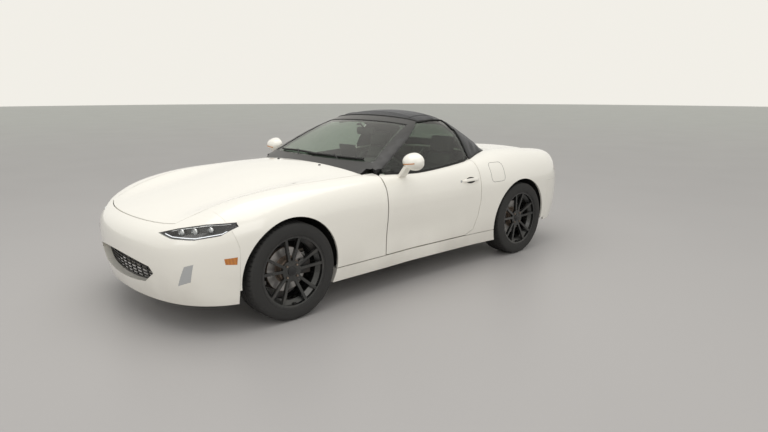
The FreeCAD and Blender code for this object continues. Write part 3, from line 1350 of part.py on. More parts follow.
def engine():
    block = box(FRONT_AXLE - 420, FRONT_AXLE + 100, -170, 190, 302, 640)
    sump = box(FRONT_AXLE - 400, FRONT_AXLE - 160, -140, 140, 190, 304)
    cover = box(FRONT_AXLE - 400, FRONT_AXLE + 60, -100, 130, 636, 676)
    gearbox = Part.makeCylinder(96, 560, V(GEARBOX_REAR, 0, SHAFT_Z), V(1, 0, 0))
    mounts = box(FRONT_AXLE - 230, FRONT_AXLE - 170, -RAIL_Y + 35 + SEAL_GAP, RAIL_Y - 35 - SEAL_GAP, 330, 370)
    return fuse([block, sump, cover, gearbox, mounts])


def driveline():
    start = REAR_AXLE + 150
    shaft = Part.makeCylinder(34, GEARBOX_REAR - SEAL_GAP - start, V(start, 0, SHAFT_Z), V(1, 0, 0))
    case = box(REAR_AXLE - 130, start + 2, -110, 110, 216 + SEAL_GAP, 392)
    reach = REAR_TRACK / 2 - STUB_REACH - SEAL_GAP
    halves = [Part.makeCylinder(19, reach, V(REAR_AXLE, 0, TYRE_RADIUS), V(0, side, 0)) for side in (-1, 1)]
    return fuse([shaft, case] + halves)


def exhaust():
    y, under = -84, 145
    points = [
        V(FRONT_AXLE - 300, -170 - 26 - SEAL_GAP, 340), V(FRONT_AXLE - 400, -200, 192), V(710, y, under),
        V(REAR_AXLE + 420, y, under), V(REAR_AXLE + 200, -250, under), V(REAR_AXLE - 200, -250, under),
        V(TAIL + 340, -250, 210),
    ]
    pieces = [tube_between(a, b, 26) for a, b in zip(points, points[1:])]
    pieces += [Part.makeSphere(26, p) for p in points[1:-1]]
    pieces.append(Part.makeCylinder(82, 520, V(TAIL + 310, -460, BOOT_FLOOR_Z - 82 - SEAL_GAP), V(0, 1, 0)))
    pieces += [Part.makeCylinder(TAILPIPE_RADIUS, 220, V(TAIL + 60, y, TAILPIPE_Z), V(1, 0, 0)) for y in TAILPIPES]
    whole = fuse(pieces)
    for y in TAILPIPES:
        whole = whole.cut(Part.makeCylinder(TAILPIPE_RADIUS - 4, 120, V(TAIL + 50, y, TAILPIPE_Z), V(1, 0, 0)))
    return whole


# Cabin
SEAT_Y = 385.0
WHEEL_CENTRE = V(DOOR_FRONT - 473, SEAT_Y, 718)
SEAT_SHIFT = -40.0
WHEEL_RADIUS = 180.0
WHEEL_GRIP = 15.0
COLUMN_TILT = 24.0


def seat():
    cushion = [(70, 290), (92, 372), (40, 396), (-180, 372), (-380, 352), (-430, 250), (-200, 240)]
    back = [(-300, 300), (-340, 420), (-430, 620), (-500, 800), (-540, 880), (-600, 880), (-640, 780), (-560, 500),
            (-470, 270)]
    rest = [(-512, 880), (-520, 1000), (-556, 1016), (-606, 990), (-612, 880), (-590, 860), (-530, 860)]
    pieces = [
        side_prism(cushion, SEAT_Y - 225, SEAT_Y + 225),
        side_prism(back, SEAT_Y - 205, SEAT_Y + 205),
        side_prism(rest, SEAT_Y - 120, SEAT_Y + 120),
    ]
    for side in (-1, 1):
        y0, y1 = sorted((SEAT_Y + side * 165, SEAT_Y + side * 232))
        pieces.append(side_prism([(80, 300), (60, 412), (-330, 410), (-380, 260)], y0, y1))
        pieces.append(side_prism(
            [(-300, 380), (-360, 640), (-450, 760), (-560, 760), (-520, 480), (-440, 330)], y0, y1))
        rail_in, rail_out = sorted((SEAT_Y + side * 170, SEAT_Y + side * 200))
        pieces.append(box(-380, 50, rail_in, rail_out, FLOOR_Z + FLOOR_SHEET + 36.3, 300))
    whole = fuse(pieces)
    whole.translate(V(SEAT_SHIFT, 0, 0))
    return whole


def dashboard():
    """The board across the cabin, the hood over the dials, the column and its mount on the firewall."""
    front = DOOR_FRONT - 1.5
    profile = [(0, 560), (0, 740), (-68, 762), (-84, 838), (-200, 850), (-300, 838), (-378, 790), (-390, 740),
               (-378, 690), (-310, 640), (-200, 600)]
    hood_profile = [(-210, 846), (-305, 872), (-354, 856), (-350, 812), (-310, 800)]
    board = side_prism([(front + x, z) for x, z in profile], -POST_INNER_Y + 1, POST_INNER_Y - 1)
    hood = side_prism([(front + x, z) for x, z in hood_profile], SEAT_Y - 170, SEAT_Y + 170)
    tilt = math.radians(COLUMN_TILT)
    axis = V(-math.cos(tilt), 0, math.sin(tilt))
    root = WHEEL_CENTRE - axis * 330
    column = Part.makeCylinder(32, 286, root, axis)
    mount = box(front - 10, FIREWALL_X - SEAL_GAP, -60, 60, 600, 700)
    return fuse([board, hood, column, mount])


def steering_wheel():
    tilt = math.radians(COLUMN_TILT)
    axis = V(-math.cos(tilt), 0, math.sin(tilt))
    hoop = Part.makeTorus(WHEEL_RADIUS, WHEEL_GRIP)
    boss = Part.makeCylinder(52, 40, V(0, 0, -30))
    neck = Part.makeCylinder(26, 26, V(0, 0, -43.5))
    spokes = [box(-WHEEL_RADIUS, WHEEL_RADIUS, -18, 18, -16, -4), box(-20, 20, -WHEEL_RADIUS, 0, -16, -4)]
    wheel = fuse([hoop, boss, neck] + spokes)
    turn = FreeCAD.Rotation(V(0, 0, 1), axis)
    level = FreeCAD.Rotation(V(0, 0, 1), 90)
    wheel.Placement = FreeCAD.Placement(WHEEL_CENTRE, turn.multiply(level))
    return wheel


LEVER_X = -150.0


def centre_console():
    base = TUNNEL_TOP + SEAL_GAP
    body = side_prism(
        [(-600, base), (-600, 560), (-420, 556), (-200, 500), (-40, 520), (42, 600), (90, base)], -100, 100
    )
    lever = Part.makeCylinder(9, 90, V(LEVER_X, 0, 500))
    knob = Part.makeSphere(24, V(LEVER_X, 0, 600))
    return fuse([body, lever, knob])


PARTS = {}


def keep(name, shape):
    PARTS[name] = shape


def keep_pair(name, shape):
    keep(name + "_left", shape)
    keep(name + "_right", mirrored(shape))


def build_panels():
    blank = front_blank(SKIN)
    deep = front_blank(MOUTH_DEPTH)
    ring = largest(deep.common(mouth_ring()))
    keep("front_bumper", largest(front_bumper(blank).fuse(ring)))
    keep("headlamps", front_lamps(blank))
    keep("marker_lamps", marker_lamps(blank))
    keep("grille", grille())
    keep("bonnet", bonnet_with_hinges())
    keep("front_wings", both(front_wing()))
    keep("sills", both(sill()))
    keep("rear_quarters", both(rear_quarter()))
    keep("tail_lamps", both(tail_lamp()))
    keep("rear_bumper", rear_bumper())
    keep("rear_deck", rear_deck())
    keep("boot_lid", boot_lid())
    keep("cowl_panel", cowl_panel())
    keep_pair("door", door_shell())
    keep_pair("door_glass", door_glass())
    keep_pair("door_mirror", largest(door_mirror().cut(door_shell_room())))


def door_shell_room():
    """What of the mirror's foot would lie inside the door."""
    ray = side_ray(520, 560)
    return wedge(
        body_form, ray, spread(DOOR_FRONT - 300, DOOR_FRONT + 20, 9), spread(-20, 74, 21), -SEAL_GAP
    )


def build_cabin():
    keep("windscreen_frame", windscreen_frame())
    keep("windscreen", windscreen())
    keep("soft_top", soft_top())
    keep("rear_window", rear_window())
    keep("seats", both(seat()))
    keep("dashboard", dashboard())
    keep("steering_wheel", steering_wheel())
    keep("centre_console", centre_console())


def build_structure():
    keep("floor_pan", floor_pan())
    keep("front_structure", front_structure())
    keep("radiator", radiator())
    keep("rear_structure", rear_structure())
    keep("wheel_liners", Part.makeCompound([both(wheel_liner(FRONT_AXLE)), both(wheel_liner(REAR_AXLE))]))


def build_running_gear():
    shapes = {"tyre": tyre(), "rim": rim(), "brake_disc": brake_disc()}
    for corner, place in WHEELS.items():
        for name, shape in shapes.items():
            keep(f"{name}_{corner}", at_wheel(shape, place))
    keep_pair("knuckle", knuckle())
    keep("front_suspension", front_suspension())
    keep("rear_suspension", rear_suspension())
    keep("steering_rack", steering_rack())
    keep("rack_housing", rack_housing())
    keep("engine", engine())
    keep("driveline", driveline())
    keep("exhaust", exhaust())


def save():
    os.makedirs("parts", exist_ok=True)
    for name, shape in PARTS.items():
        if not shape.isValid() or min(s.Volume for s in shape.Solids) <= 0:
            print("not a valid solid:", name)
        shape.exportStep(f"parts/{name}.step")


build_panels()
build_cabin()
build_structure()
build_running_gear()
save()
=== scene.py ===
"""Dresses the soft-top roadster: paint, glass, rubber, cloth, leather and the small parts."""
import math

import bmesh
import bpy
from bpy.props import FloatProperty, FloatVectorProperty, IntProperty, PointerProperty
from mathutils import Matrix, Vector
from mathutils.bvhtree import BVHTree


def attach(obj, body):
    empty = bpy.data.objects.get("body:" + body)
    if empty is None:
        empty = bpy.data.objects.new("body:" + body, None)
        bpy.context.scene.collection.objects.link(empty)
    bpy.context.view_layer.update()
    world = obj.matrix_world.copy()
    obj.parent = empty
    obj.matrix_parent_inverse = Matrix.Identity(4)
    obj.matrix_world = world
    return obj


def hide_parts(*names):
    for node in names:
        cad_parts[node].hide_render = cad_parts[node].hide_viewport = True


bl_info = {
    "name": "Soft-top roadster",
    "version": (1, 0, 0),
    "blender": (4, 5, 0),
    "location": "3D View > Sidebar > Roadster",
    "description": "Dresses a roadster's solids with paint, glass, rubber, cloth and small parts",
    "category": "Object",
}

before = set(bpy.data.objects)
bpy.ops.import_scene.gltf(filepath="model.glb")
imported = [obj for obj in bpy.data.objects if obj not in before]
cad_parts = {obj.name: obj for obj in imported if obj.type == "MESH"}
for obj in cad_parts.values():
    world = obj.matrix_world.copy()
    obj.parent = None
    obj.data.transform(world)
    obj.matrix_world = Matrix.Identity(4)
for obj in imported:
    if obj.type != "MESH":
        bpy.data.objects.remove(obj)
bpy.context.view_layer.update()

# Places that the solids are made to, in metres
WHEELS = {
    "front_left": (1.2025, 0.7475, 1),
    "front_right": (1.2025, -0.7475, -1),
    "rear_left": (-1.1075, 0.7525, 1),
    "rear_right": (-1.1075, -0.7525, -1),
}
AXLE_HEIGHT = 0.308
TYRE_RADIUS = 0.3078
TYRE_WIDTH = 0.205
STUD_CIRCLE = 0.05
VALVE_CIRCLE = 0.204
BELT_HEIGHT = 0.818
DOOR_FRONT = 0.421
DOOR_REAR = -0.579
SEAT_MIDDLE = 0.385
BELT_SIDE = 0.600
BUCKLE_SIDE = 0.135
WHEEL_CENTRE = Vector((-0.052, 0.385, 0.718))
COLUMN_TILT = math.radians(24)
LEVER_X = -0.15
HEADER_X = -0.092
SCREEN_BASE = 0.470
SCREEN_BOW = 0.086
SCREEN_HALF = 0.69
SCREEN_SIGHT = 1.4
HOOD_MIDDLE = -0.42
DIALS_X = 0.060
BOTH_SIDES = (("left", 1), ("right", -1))
AHEAD = Vector((1, 0, 0))
BEHIND = Vector((-1, 0, 0))
LEFT = Vector((0, 1, 0))
UP = Vector((0, 0, 1))
DOWN = Vector((0, 0, -1))

# Where lines of sight start, outside the car
BESIDE_CAR = 1.2
ABOVE_CAR = 1.6
BEYOND_CAR = 2.4
IN_CABIN = -0.4

# The camera, fitted to the photo
CAMERA_PLACE = (3.158, 3.786, 1.400)
CAMERA_TILT = math.radians(90 - 12.02)
CAMERA_BEARING = math.radians(227.58 - 90)
CAMERA_LENS = 28.125
CAMERA_SENSOR = 36
CAMERA_REACH = 200


# Settings that a user would change
class RoadsterPaintSettings(bpy.types.PropertyGroup):
    body: FloatVectorProperty(
        name="Body colour", description="Colour of the pearl paint", subtype="COLOR", size=3,
        default=(0.87, 0.842, 0.755), min=0, max=1,
    )
    mirror: FloatVectorProperty(
        name="Mirror colour", description="Colour of the door mirrors' shells", subtype="COLOR", size=3,
        default=(0.87, 0.842, 0.755), min=0, max=1,
    )
    dust: FloatProperty(
        name="Road dust", description="How much dust lies low on the body", default=0.22, min=0, max=1,
        subtype="FACTOR",
    )


class RoadsterTrimSettings(bpy.types.PropertyGroup):
    rim: FloatVectorProperty(
        name="Wheel colour", description="Colour of the cast wheels", subtype="COLOR", size=3,
        default=(0.045, 0.046, 0.045), min=0, max=1,
    )
    hood: FloatVectorProperty(
        name="Hood colour", description="Colour of the cloth top", subtype="COLOR", size=3,
        default=(0.022, 0.022, 0.022), min=0, max=1,
    )
    leather: FloatVectorProperty(
        name="Leather colour", description="Colour of the seats", subtype="COLOR", size=3,
        default=(0.028, 0.027, 0.026), min=0, max=1,
    )
    thread: FloatVectorProperty(
        name="Thread colour", description="Colour of the seams' thread", subtype="COLOR", size=3,
        default=(0.30, 0.28, 0.25), min=0, max=1,
    )
    groove_depth: FloatProperty(
        name="Tread depth", description="Depth of the tyres' grooves", default=0.007, unit="LENGTH",
    )
    tread_pitches: IntProperty(
        name="Tread pitches", description="Blocks round a tyre", default=66, min=20, max=120,
    )


class RoadsterStageSettings(bpy.types.PropertyGroup):
    floor: FloatVectorProperty(
        name="Floor colour", description="Colour of the floor", subtype="COLOR", size=3,
        default=(0.415, 0.400, 0.385), min=0, max=1,
    )
    wall: FloatVectorProperty(
        name="Wall colour", description="Colour beyond the floor", subtype="COLOR", size=3,
        default=(0.885, 0.862, 0.802), min=0, max=1,
    )
    fill: FloatProperty(
        name="Fill light", description="Strength of the even light from all round", default=0.70, min=0,
    )
    lamp: FloatProperty(
        name="Lamp power", description="Power of the large lamp overhead", default=98, unit="POWER",
    )


class RoadsterSettings(bpy.types.PropertyGroup):
    paint: PointerProperty(type=RoadsterPaintSettings, name="Paint", description="Colours of the paint")
    trim: PointerProperty(type=RoadsterTrimSettings, name="Trim", description="Colours and sizes of the trim")
    stage: PointerProperty(type=RoadsterStageSettings, name="Stage", description="Floor and light")


def settings():
    return bpy.context.scene.roadster


# Shader maths as plain expressions
class Signal:
    """A shader value that can be used in Python expressions."""

    def __init__(self, finish, socket):
        self.finish = finish
        self.socket = socket

    def math(self, operation, *values, clamp=False):
        node = self.finish.node(
            "ShaderNodeMath", {"operation": operation, "use_clamp": clamp}, dict(enumerate(values))
        )
        return Signal(self.finish, node.outputs[0])

    def __add__(self, other):
        return self.math("ADD", self, other)

    __radd__ = __add__

    def __sub__(self, other):
        return self.math("SUBTRACT", self, other)

    def __rsub__(self, other):
        return self.math("SUBTRACT", other, self)

    def __mul__(self, other):
        return self.math("MULTIPLY", self, other)

    __rmul__ = __mul__

    def __gt__(self, other):
        return self.math("GREATER_THAN", self, other)

    def __pow__(self, other):
        return self.math("POWER", self, other)

    def sine(self):
        return self.math("SINE", self)

    def clamped(self):
        return self.math("ADD", self, 0.0, clamp=True)

    def between(self, low, high):
        """0 below low and 1 above high, with a soft step; low may be the larger."""
        node = self.finish.node(
            "ShaderNodeMapRange", {"interpolation_type": "SMOOTHSTEP", "clamp": True},
            {"Value": self, "From Min": low, "From Max": high},
        )
        return Signal(self.finish, node.outputs[0])


def add_node(tree, kind, choices, sockets):
    """A node of the kind, with its settings set before the values or links of its sockets."""
    node = tree.nodes.new(kind)
    for name, value in choices.items():
        setattr(node, name, value)
    for name, value in sockets.items():
        socket = node.inputs[name]
        if isinstance(value, Signal):
            value = value.socket
        if isinstance(value, bpy.types.NodeSocket):
            tree.links.new(value, socket)
        elif socket.type == "RGBA":
            socket.default_value = (*value, 1.0)
        else:
            socket.default_value = value
    return node


class Finish:
    """One procedural material: its shader and the nodes that vary it."""

    def __init__(self, name, constants):
        self.material = bpy.data.materials.new(name)
        self.material.use_nodes = True
        self.tree = self.material.node_tree
        self.tree.nodes.clear()
        self.shader = self.node("ShaderNodeBsdfPrincipled", {}, constants)
        self.output = self.node("ShaderNodeOutputMaterial", {}, {"Surface": self.shader.outputs[0]})
        self.coordinates = None

    def node(self, kind, choices, sockets):
        return add_node(self.tree, kind, choices, sockets)

    def set(self, **links):
        """Links varying values to the shader's sockets, named with underscores."""
        for name, value in links.items():
            socket = self.shader.inputs[name.replace("_", " ")]
            self.tree.links.new(value.socket if isinstance(value, Signal) else value, socket)

    def place(self):
        """Where on the object a point is, in metres in the car's frame."""
        if self.coordinates is None:
            self.coordinates = self.node("ShaderNodeTexCoord", {}, {}).outputs["Object"]
        return self.coordinates

    def axes(self):
        split = self.node("ShaderNodeSeparateXYZ", {}, {0: self.place()})
        return [Signal(self, split.outputs[i]) for i in range(3)]

    def stretched(self, x, y, z):
        return self.node("ShaderNodeMapping", {}, {"Vector": self.place(), "Scale": (x, y, z)}).outputs[0]

    def noise(self, scale, detail=2.0, vector=None):
        sockets = {"Vector": vector or self.place(), "Scale": scale, "Detail": detail}
        return Signal(self, self.node("ShaderNodeTexNoise", {}, sockets).outputs[0])

    def cells(self, scale, feature="F1", output="Distance"):
        sockets = {"Vector": self.place(), "Scale": scale}
        return Signal(self, self.node("ShaderNodeTexVoronoi", {"feature": feature}, sockets).outputs[output])

    def blend(self, mask, first, second):
        """Colour first where the mask is 0, second where it is 1."""
        mix = self.node("ShaderNodeMix", {"data_type": "RGBA"}, {0: mask, 6: first, 7: second})
        return mix.outputs[2]

    def bump(self, height, distance, strength=1.0, edge=None):
        """Raises the surface by height times distance in metres; edge rounds the corners by a radius."""
        sockets = {"Height": height, "Distance": distance, "Strength": strength}
        if edge:
            sockets["Normal"] = self.node("ShaderNodeBevel", {"samples": 4}, {"Radius": edge}).outputs[0]
        node = self.node("ShaderNodeBump", {}, sockets)
        self.tree.links.new(node.outputs[0], self.shader.inputs["Normal"])
        return self

    def see_through(self, colour, fresnel, roughness, haze):
        """Thin glass: light passes with a colour, and the surface reflects as glass does."""
        clear = self.node("ShaderNodeBsdfTransparent", {}, {"Color": colour})
        gloss = self.node("ShaderNodeBsdfGlossy", {}, {"Color": (1, 1, 1), "Roughness": roughness})
        angle = Signal(self, self.node("ShaderNodeFresnel", {}, {"IOR": fresnel}).outputs[0])
        behind = Signal(self, self.node("ShaderNodeNewGeometry", {}, {}).outputs["Backfacing"])
        share = (angle + haze).clamped() * (1 - behind)
        mixed = self.node("ShaderNodeMixShader", {}, {0: share, 1: clear.outputs[0], 2: gloss.outputs[0]})
        self.tree.links.new(mixed.outputs[0], self.output.inputs["Surface"])
        self.tree.nodes.remove(self.shader)
        return self


def tint(colour, share):
    return tuple(part * share for part in colour)


# The finishes, with how closely their fine waves follow each other, in radians a metre
YARNS = 3000
TWISTS = 4200
DISC_RINGS = 5200


def body_paint(name, colour):
    finish = Finish(name, {"Roughness": 0.34, "Coat Weight": 1.0, "Coat Roughness": 0.035, "Coat IOR": 1.5})
    x, y, z = finish.axes()
    dust = z.between(0.52, 0.16) * finish.noise(3.2, 4).between(0.30, 0.75) * settings().paint.dust
    film = z.between(0.24, 0.17) * 0.35 * settings().paint.dust
    low = (dust + film).clamped()
    depth = finish.noise(0.9, 1)
    flake = finish.cells(2600, output="Color")
    pearl = finish.blend(depth, tint(colour, 0.985), tint(colour, 1.015))
    spark = finish.node("ShaderNodeVectorMath", {"operation": "LENGTH"}, {0: flake.socket}).outputs["Value"]
    fine = Signal(finish, spark).between(0.4, 1.5)
    lively = finish.blend(fine * 0.045, pearl, (1.0, 0.99, 0.95))
    finish.set(Base_Color=finish.blend(low, lively, (0.30, 0.265, 0.22)))
    finish.set(Roughness=0.30 + low * 0.4, Coat_Weight=1 - low * 0.55)
    peel = finish.noise(170, 1)
    return finish.bump(peel, 0.00006, 0.5, edge=0.0016).material


def gloss_black():
    finish = Finish("Gloss black", {
        "Roughness": 0.34, "Specular IOR Level": 0.34, "Coat Weight": 0.22, "Coat Roughness": 0.10})
    smear = finish.noise(26, 4)
    finish.set(Base_Color=finish.blend(smear, (0.010, 0.010, 0.010), (0.017, 0.017, 0.018)))
    finish.set(Roughness=0.30 + smear * 0.10)
    return finish.bump(finish.noise(120, 2), 0.00004, 0.4, edge=0.0012).material


def moulded_plastic(name, colour, grain=900, shine=0.48, depth=0.00016, wear=0.03):
    """Grained plastic with paler rubbed patches."""
    finish = Finish(name, {"Roughness": shine, "Specular IOR Level": 0.42})
    pores = finish.cells(grain)
    patches = finish.noise(8, 4)
    rubbed = finish.noise(60, 3).between(0.52, 0.72)
    dark = finish.blend(patches, tint(colour, 0.86), tint(colour, 1.16))
    finish.set(Base_Color=finish.blend(rubbed * wear, dark, (0.20, 0.20, 0.19)))
    finish.set(Roughness=shine - 0.06 + patches * 0.14)
    return finish.bump(pores, depth, 0.7, edge=0.0012).material


def tyre_rubber():
    finish = Finish("Tyre rubber", {"Roughness": 0.72, "Specular IOR Level": 0.35})
    worn = finish.noise(14, 5)
    specks = finish.noise(420, 2).between(0.55, 0.72)
    colour = finish.blend(worn, (0.020, 0.020, 0.0195), (0.036, 0.035, 0.033))
    finish.set(Base_Color=finish.blend(specks * 0.22, colour, (0.085, 0.080, 0.072)))
    finish.set(Roughness=0.62 + worn * 0.22)
    return finish.bump(finish.noise(900, 2), 0.00018, 0.6).material


def seal_rubber():
    finish = Finish("Seal rubber", {"Roughness": 0.6, "Specular IOR Level": 0.4})
    bloom = finish.noise(36, 4)
    finish.set(Base_Color=finish.blend(bloom, (0.012, 0.012, 0.012), (0.026, 0.026, 0.025)))
    finish.set(Roughness=0.5 + bloom * 0.25)
    return finish.bump(finish.noise(700, 2), 0.00008, 0.5).material


def wheel_metal():
    finish = Finish("Wheel metal", {
        "Metallic": 0.75, "Roughness": 0.34, "Coat Weight": 0.5, "Coat Roughness": 0.12})
    colour = tuple(settings().trim.rim)
    cast = finish.noise(30, 4)
    dust = finish.noise(9, 5).between(0.45, 0.8)
    metal = finish.blend(cast, tint(colour, 0.85), tint(colour, 1.3))
    finish.set(Base_Color=finish.blend(dust * 0.16, metal, (0.16, 0.135, 0.11)))
    finish.set(Roughness=0.27 + dust * 0.2, Metallic=0.78 - dust * 0.3)
    return finish.bump(finish.noise(480, 2), 0.00006, 0.5, edge=0.0022).material


def turned_iron(name, bright=(0.42, 0.41, 0.40), shadow=(0.17, 0.13, 0.10)):
    """A brake disc: fine rings where the pads rub, and a film of rust inside them."""
    finish = Finish(name, {"Metallic": 0.9, "Roughness": 0.32})
    x, y, z = finish.axes()
    front = x > 0.0
    centre = front * (WHEELS["front_left"][0] - WHEELS["rear_left"][0]) + WHEELS["rear_left"][0]
    radius = ((x - centre) * (x - centre) + (z - AXLE_HEIGHT) * (z - AXLE_HEIGHT)) ** 0.5
    rings = (radius * DISC_RINGS).sine() * 0.5 + 0.5
    swept = radius.between(0.084, 0.090) * radius.between(0.1395, 0.1375)
    rust = finish.noise(60, 5).between(0.35, 0.7)
    worn = finish.blend(rings * 0.35, bright, tint(bright, 0.7))
    aged = finish.blend(rust, tint(shadow, 0.8), tint(shadow, 1.5))
    finish.set(Base_Color=finish.blend(swept, aged, worn))
    finish.set(Roughness=0.62 - swept * 0.34, Metallic=0.35 + swept * 0.6)
    return finish.bump(rings * swept + rust * (1 - swept), 0.00012, 0.5).material


def bare_metal(name, colour, shine=0.3, grain=(60, 60, 60), spread=0.25, depth=0.00008, metallic=1.0):
    """Metal with a lay of fine marks, stretched along the smallest scale."""
    finish = Finish(name, {"Metallic": metallic, "Roughness": shine})
    marks = finish.noise(14, 5, vector=finish.stretched(*grain))
    stain = finish.noise(7, 4)
    finish.set(Base_Color=finish.blend(stain, tint(colour, 1 - spread), tint(colour, 1 + spread * 0.4)))
    finish.set(Roughness=shine - 0.05 + marks * 0.2)
    return finish.bump(marks, depth, 0.6, edge=0.001).material


def primed_steel(name, colour, dirt=(0.075, 0.060, 0.045), share=0.6):
    """Chassis metal: an even coat with road dirt in patches."""
    finish = Finish(name, {"Roughness": 0.58, "Specular IOR Level": 0.4})
    patches = finish.noise(5, 6).between(0.42, 0.72)
    grit = finish.noise(160, 3)
    clean = finish.blend(grit, tint(colour, 0.94), tint(colour, 1.06))
    finish.set(Base_Color=finish.blend(patches * share, clean, dirt))
    finish.set(Roughness=0.46 + patches * 0.32)
    return finish.bump(grit, 0.0002, 0.5, edge=0.0012).material


def hood_cloth():
    """Woven cloth: crossed yarns, a soft nap, and faded patches."""
    colour = tuple(settings().trim.hood)
    finish = Finish("Hood cloth", {
        "Roughness": 0.86, "Specular IOR Level": 0.25, "Sheen Weight": 0.28, "Sheen Roughness": 0.45})
    x, y, z = finish.axes()
    across = (y * YARNS).sine() * 0.5 + 0.5
    along = ((x * 0.86 + z * 0.5) * YARNS).sine() * 0.5 + 0.5
    yarns = across * (1 - along) + along * (1 - across)
    slub = finish.noise(9, 4, vector=finish.stretched(30, 4, 30))
    faded = finish.noise(2.6, 5).between(0.35, 0.8)
    thread = finish.blend(yarns, tint(colour, 0.7), tint(colour, 1.5))
    aged = finish.blend(faded * 0.35, thread, tint(colour, 2.6))
    finish.set(Base_Color=finish.blend(slub.between(0.55, 0.8) * 0.25, aged, tint(colour, 2.1)))
    finish.set(Roughness=0.80 + faded * 0.12)
    return finish.bump(yarns * 0.8 + finish.noise(1400, 2) * 0.4, 0.00035, 0.8).material


def lining_cloth():
    finish = Finish("Lining cloth", {"Roughness": 0.9, "Sheen Weight": 0.15})
    felt = finish.noise(700, 3)
    patches = finish.noise(4, 3)
    dark, pale = (0.050, 0.050, 0.049), (0.082, 0.081, 0.078)
    finish.set(Base_Color=finish.blend(felt * 0.6 + patches * 0.4, dark, pale))
    return finish.bump(felt, 0.0003, 0.6).material


def carpet():
    finish = Finish("Carpet", {"Roughness": 0.95, "Sheen Weight": 0.2, "Specular IOR Level": 0.2})
    pile = finish.cells(620)
    tread = finish.noise(5, 4)
    dark, pale = (0.012, 0.012, 0.012), (0.040, 0.039, 0.037)
    finish.set(Base_Color=finish.blend(pile * 0.7 + tread * 0.3, dark, pale))
    return finish.bump(pile, 0.0012, 0.8).material


def leather(name, colour, grain=420):
    """Hide: a web of fine creases, rubbed shinier where it is sat on."""
    finish = Finish(name, {"Roughness": 0.5, "Specular IOR Level": 0.45})
    web = finish.cells(grain, "DISTANCE_TO_EDGE").between(0.0, 0.16)
    folds = finish.noise(16, 5).between(0.4, 0.7)
    rubbed = finish.noise(3.5, 3).between(0.4, 0.75)
    finish.set(Base_Color=finish.blend(web * 0.5 + folds * 0.5, tint(colour, 0.72), tint(colour, 1.35)))
    finish.set(Roughness=0.56 - rubbed * 0.16 + folds * 0.05)
    return finish.bump(web * 0.5 + folds * 0.5, 0.0006, 0.7).material


def thread_finish():
    finish = Finish("Seam thread", {"Roughness": 0.7})
    colour = tuple(settings().trim.thread)
    x, y, z = finish.axes()
    twist = (x * TWISTS + z * TWISTS).sine() * 0.5 + 0.5
    finish.set(Base_Color=finish.blend(twist, tint(colour, 0.55), colour))
    return finish.bump(twist, 0.0002, 0.6).material


def thin_glass(name, colour):
    finish = Finish(name, {})
    dust = finish.noise(5, 4).between(0.35, 0.8) * 0.012
    return finish.see_through(colour, 1.52, 0.0, dust).material


def clear_lens():
    finish = Finish("Lamp lens", {})
    return finish.see_through((0.93, 0.94, 0.94), 1.5, 0.02, finish.noise(40, 3) * 0.02).material


def colour_lens(name, colour, deep, flutes=900):
    """A coloured lamp cover: moulded prisms under a smooth face."""
    finish = Finish(name, {
        "Roughness": 0.18, "Coat Weight": 1.0, "Coat Roughness": 0.03, "Transmission Weight": 0.25,
        "IOR": 1.49})
    x, y, z = finish.axes()
    prisms = (z * flutes).sine() * 0.5 + 0.5
    cross = (y * flutes).sine() * 0.5 + 0.5
    finish.set(Base_Color=finish.blend(prisms * 0.5 + cross * 0.5, deep, colour))
    return finish.bump(prisms * 0.6 + cross * 0.4, 0.0005, 0.6, edge=0.001).material


def bright_mirror():
    finish = Finish("Mirror glass", {"Metallic": 1.0, "Roughness": 0.03})
    smear = finish.noise(18, 4)
    finish.set(Base_Color=finish.blend(smear, (0.80, 0.83, 0.85), (0.88, 0.90, 0.91)))
    finish.set(Roughness=0.015 + smear * 0.03)
    return finish.material


def glow(name, colour, strength):
    finish = Finish(name, {"Roughness": 0.4, "Emission Strength": strength, "Emission Color": colour})
    cells = finish.cells(260)
    finish.set(Base_Color=finish.blend(cells, tint(colour, 0.7), colour))
    return finish.material


def blank_plate():
    finish = Finish("Blank plate", {"Roughness": 0.35, "Coat Weight": 0.6, "Coat Roughness": 0.1})
    cells = finish.cells(900)
    grime = finish.noise(20, 4).between(0.5, 0.8)
    plain = finish.blend(cells, (0.66, 0.67, 0.67), (0.74, 0.75, 0.75))
    finish.set(Base_Color=finish.blend(grime * 0.15, plain, (0.35, 0.32, 0.28)))
    return finish.bump(cells, 0.00008, 0.5, edge=0.001).material


FINISHES = {}


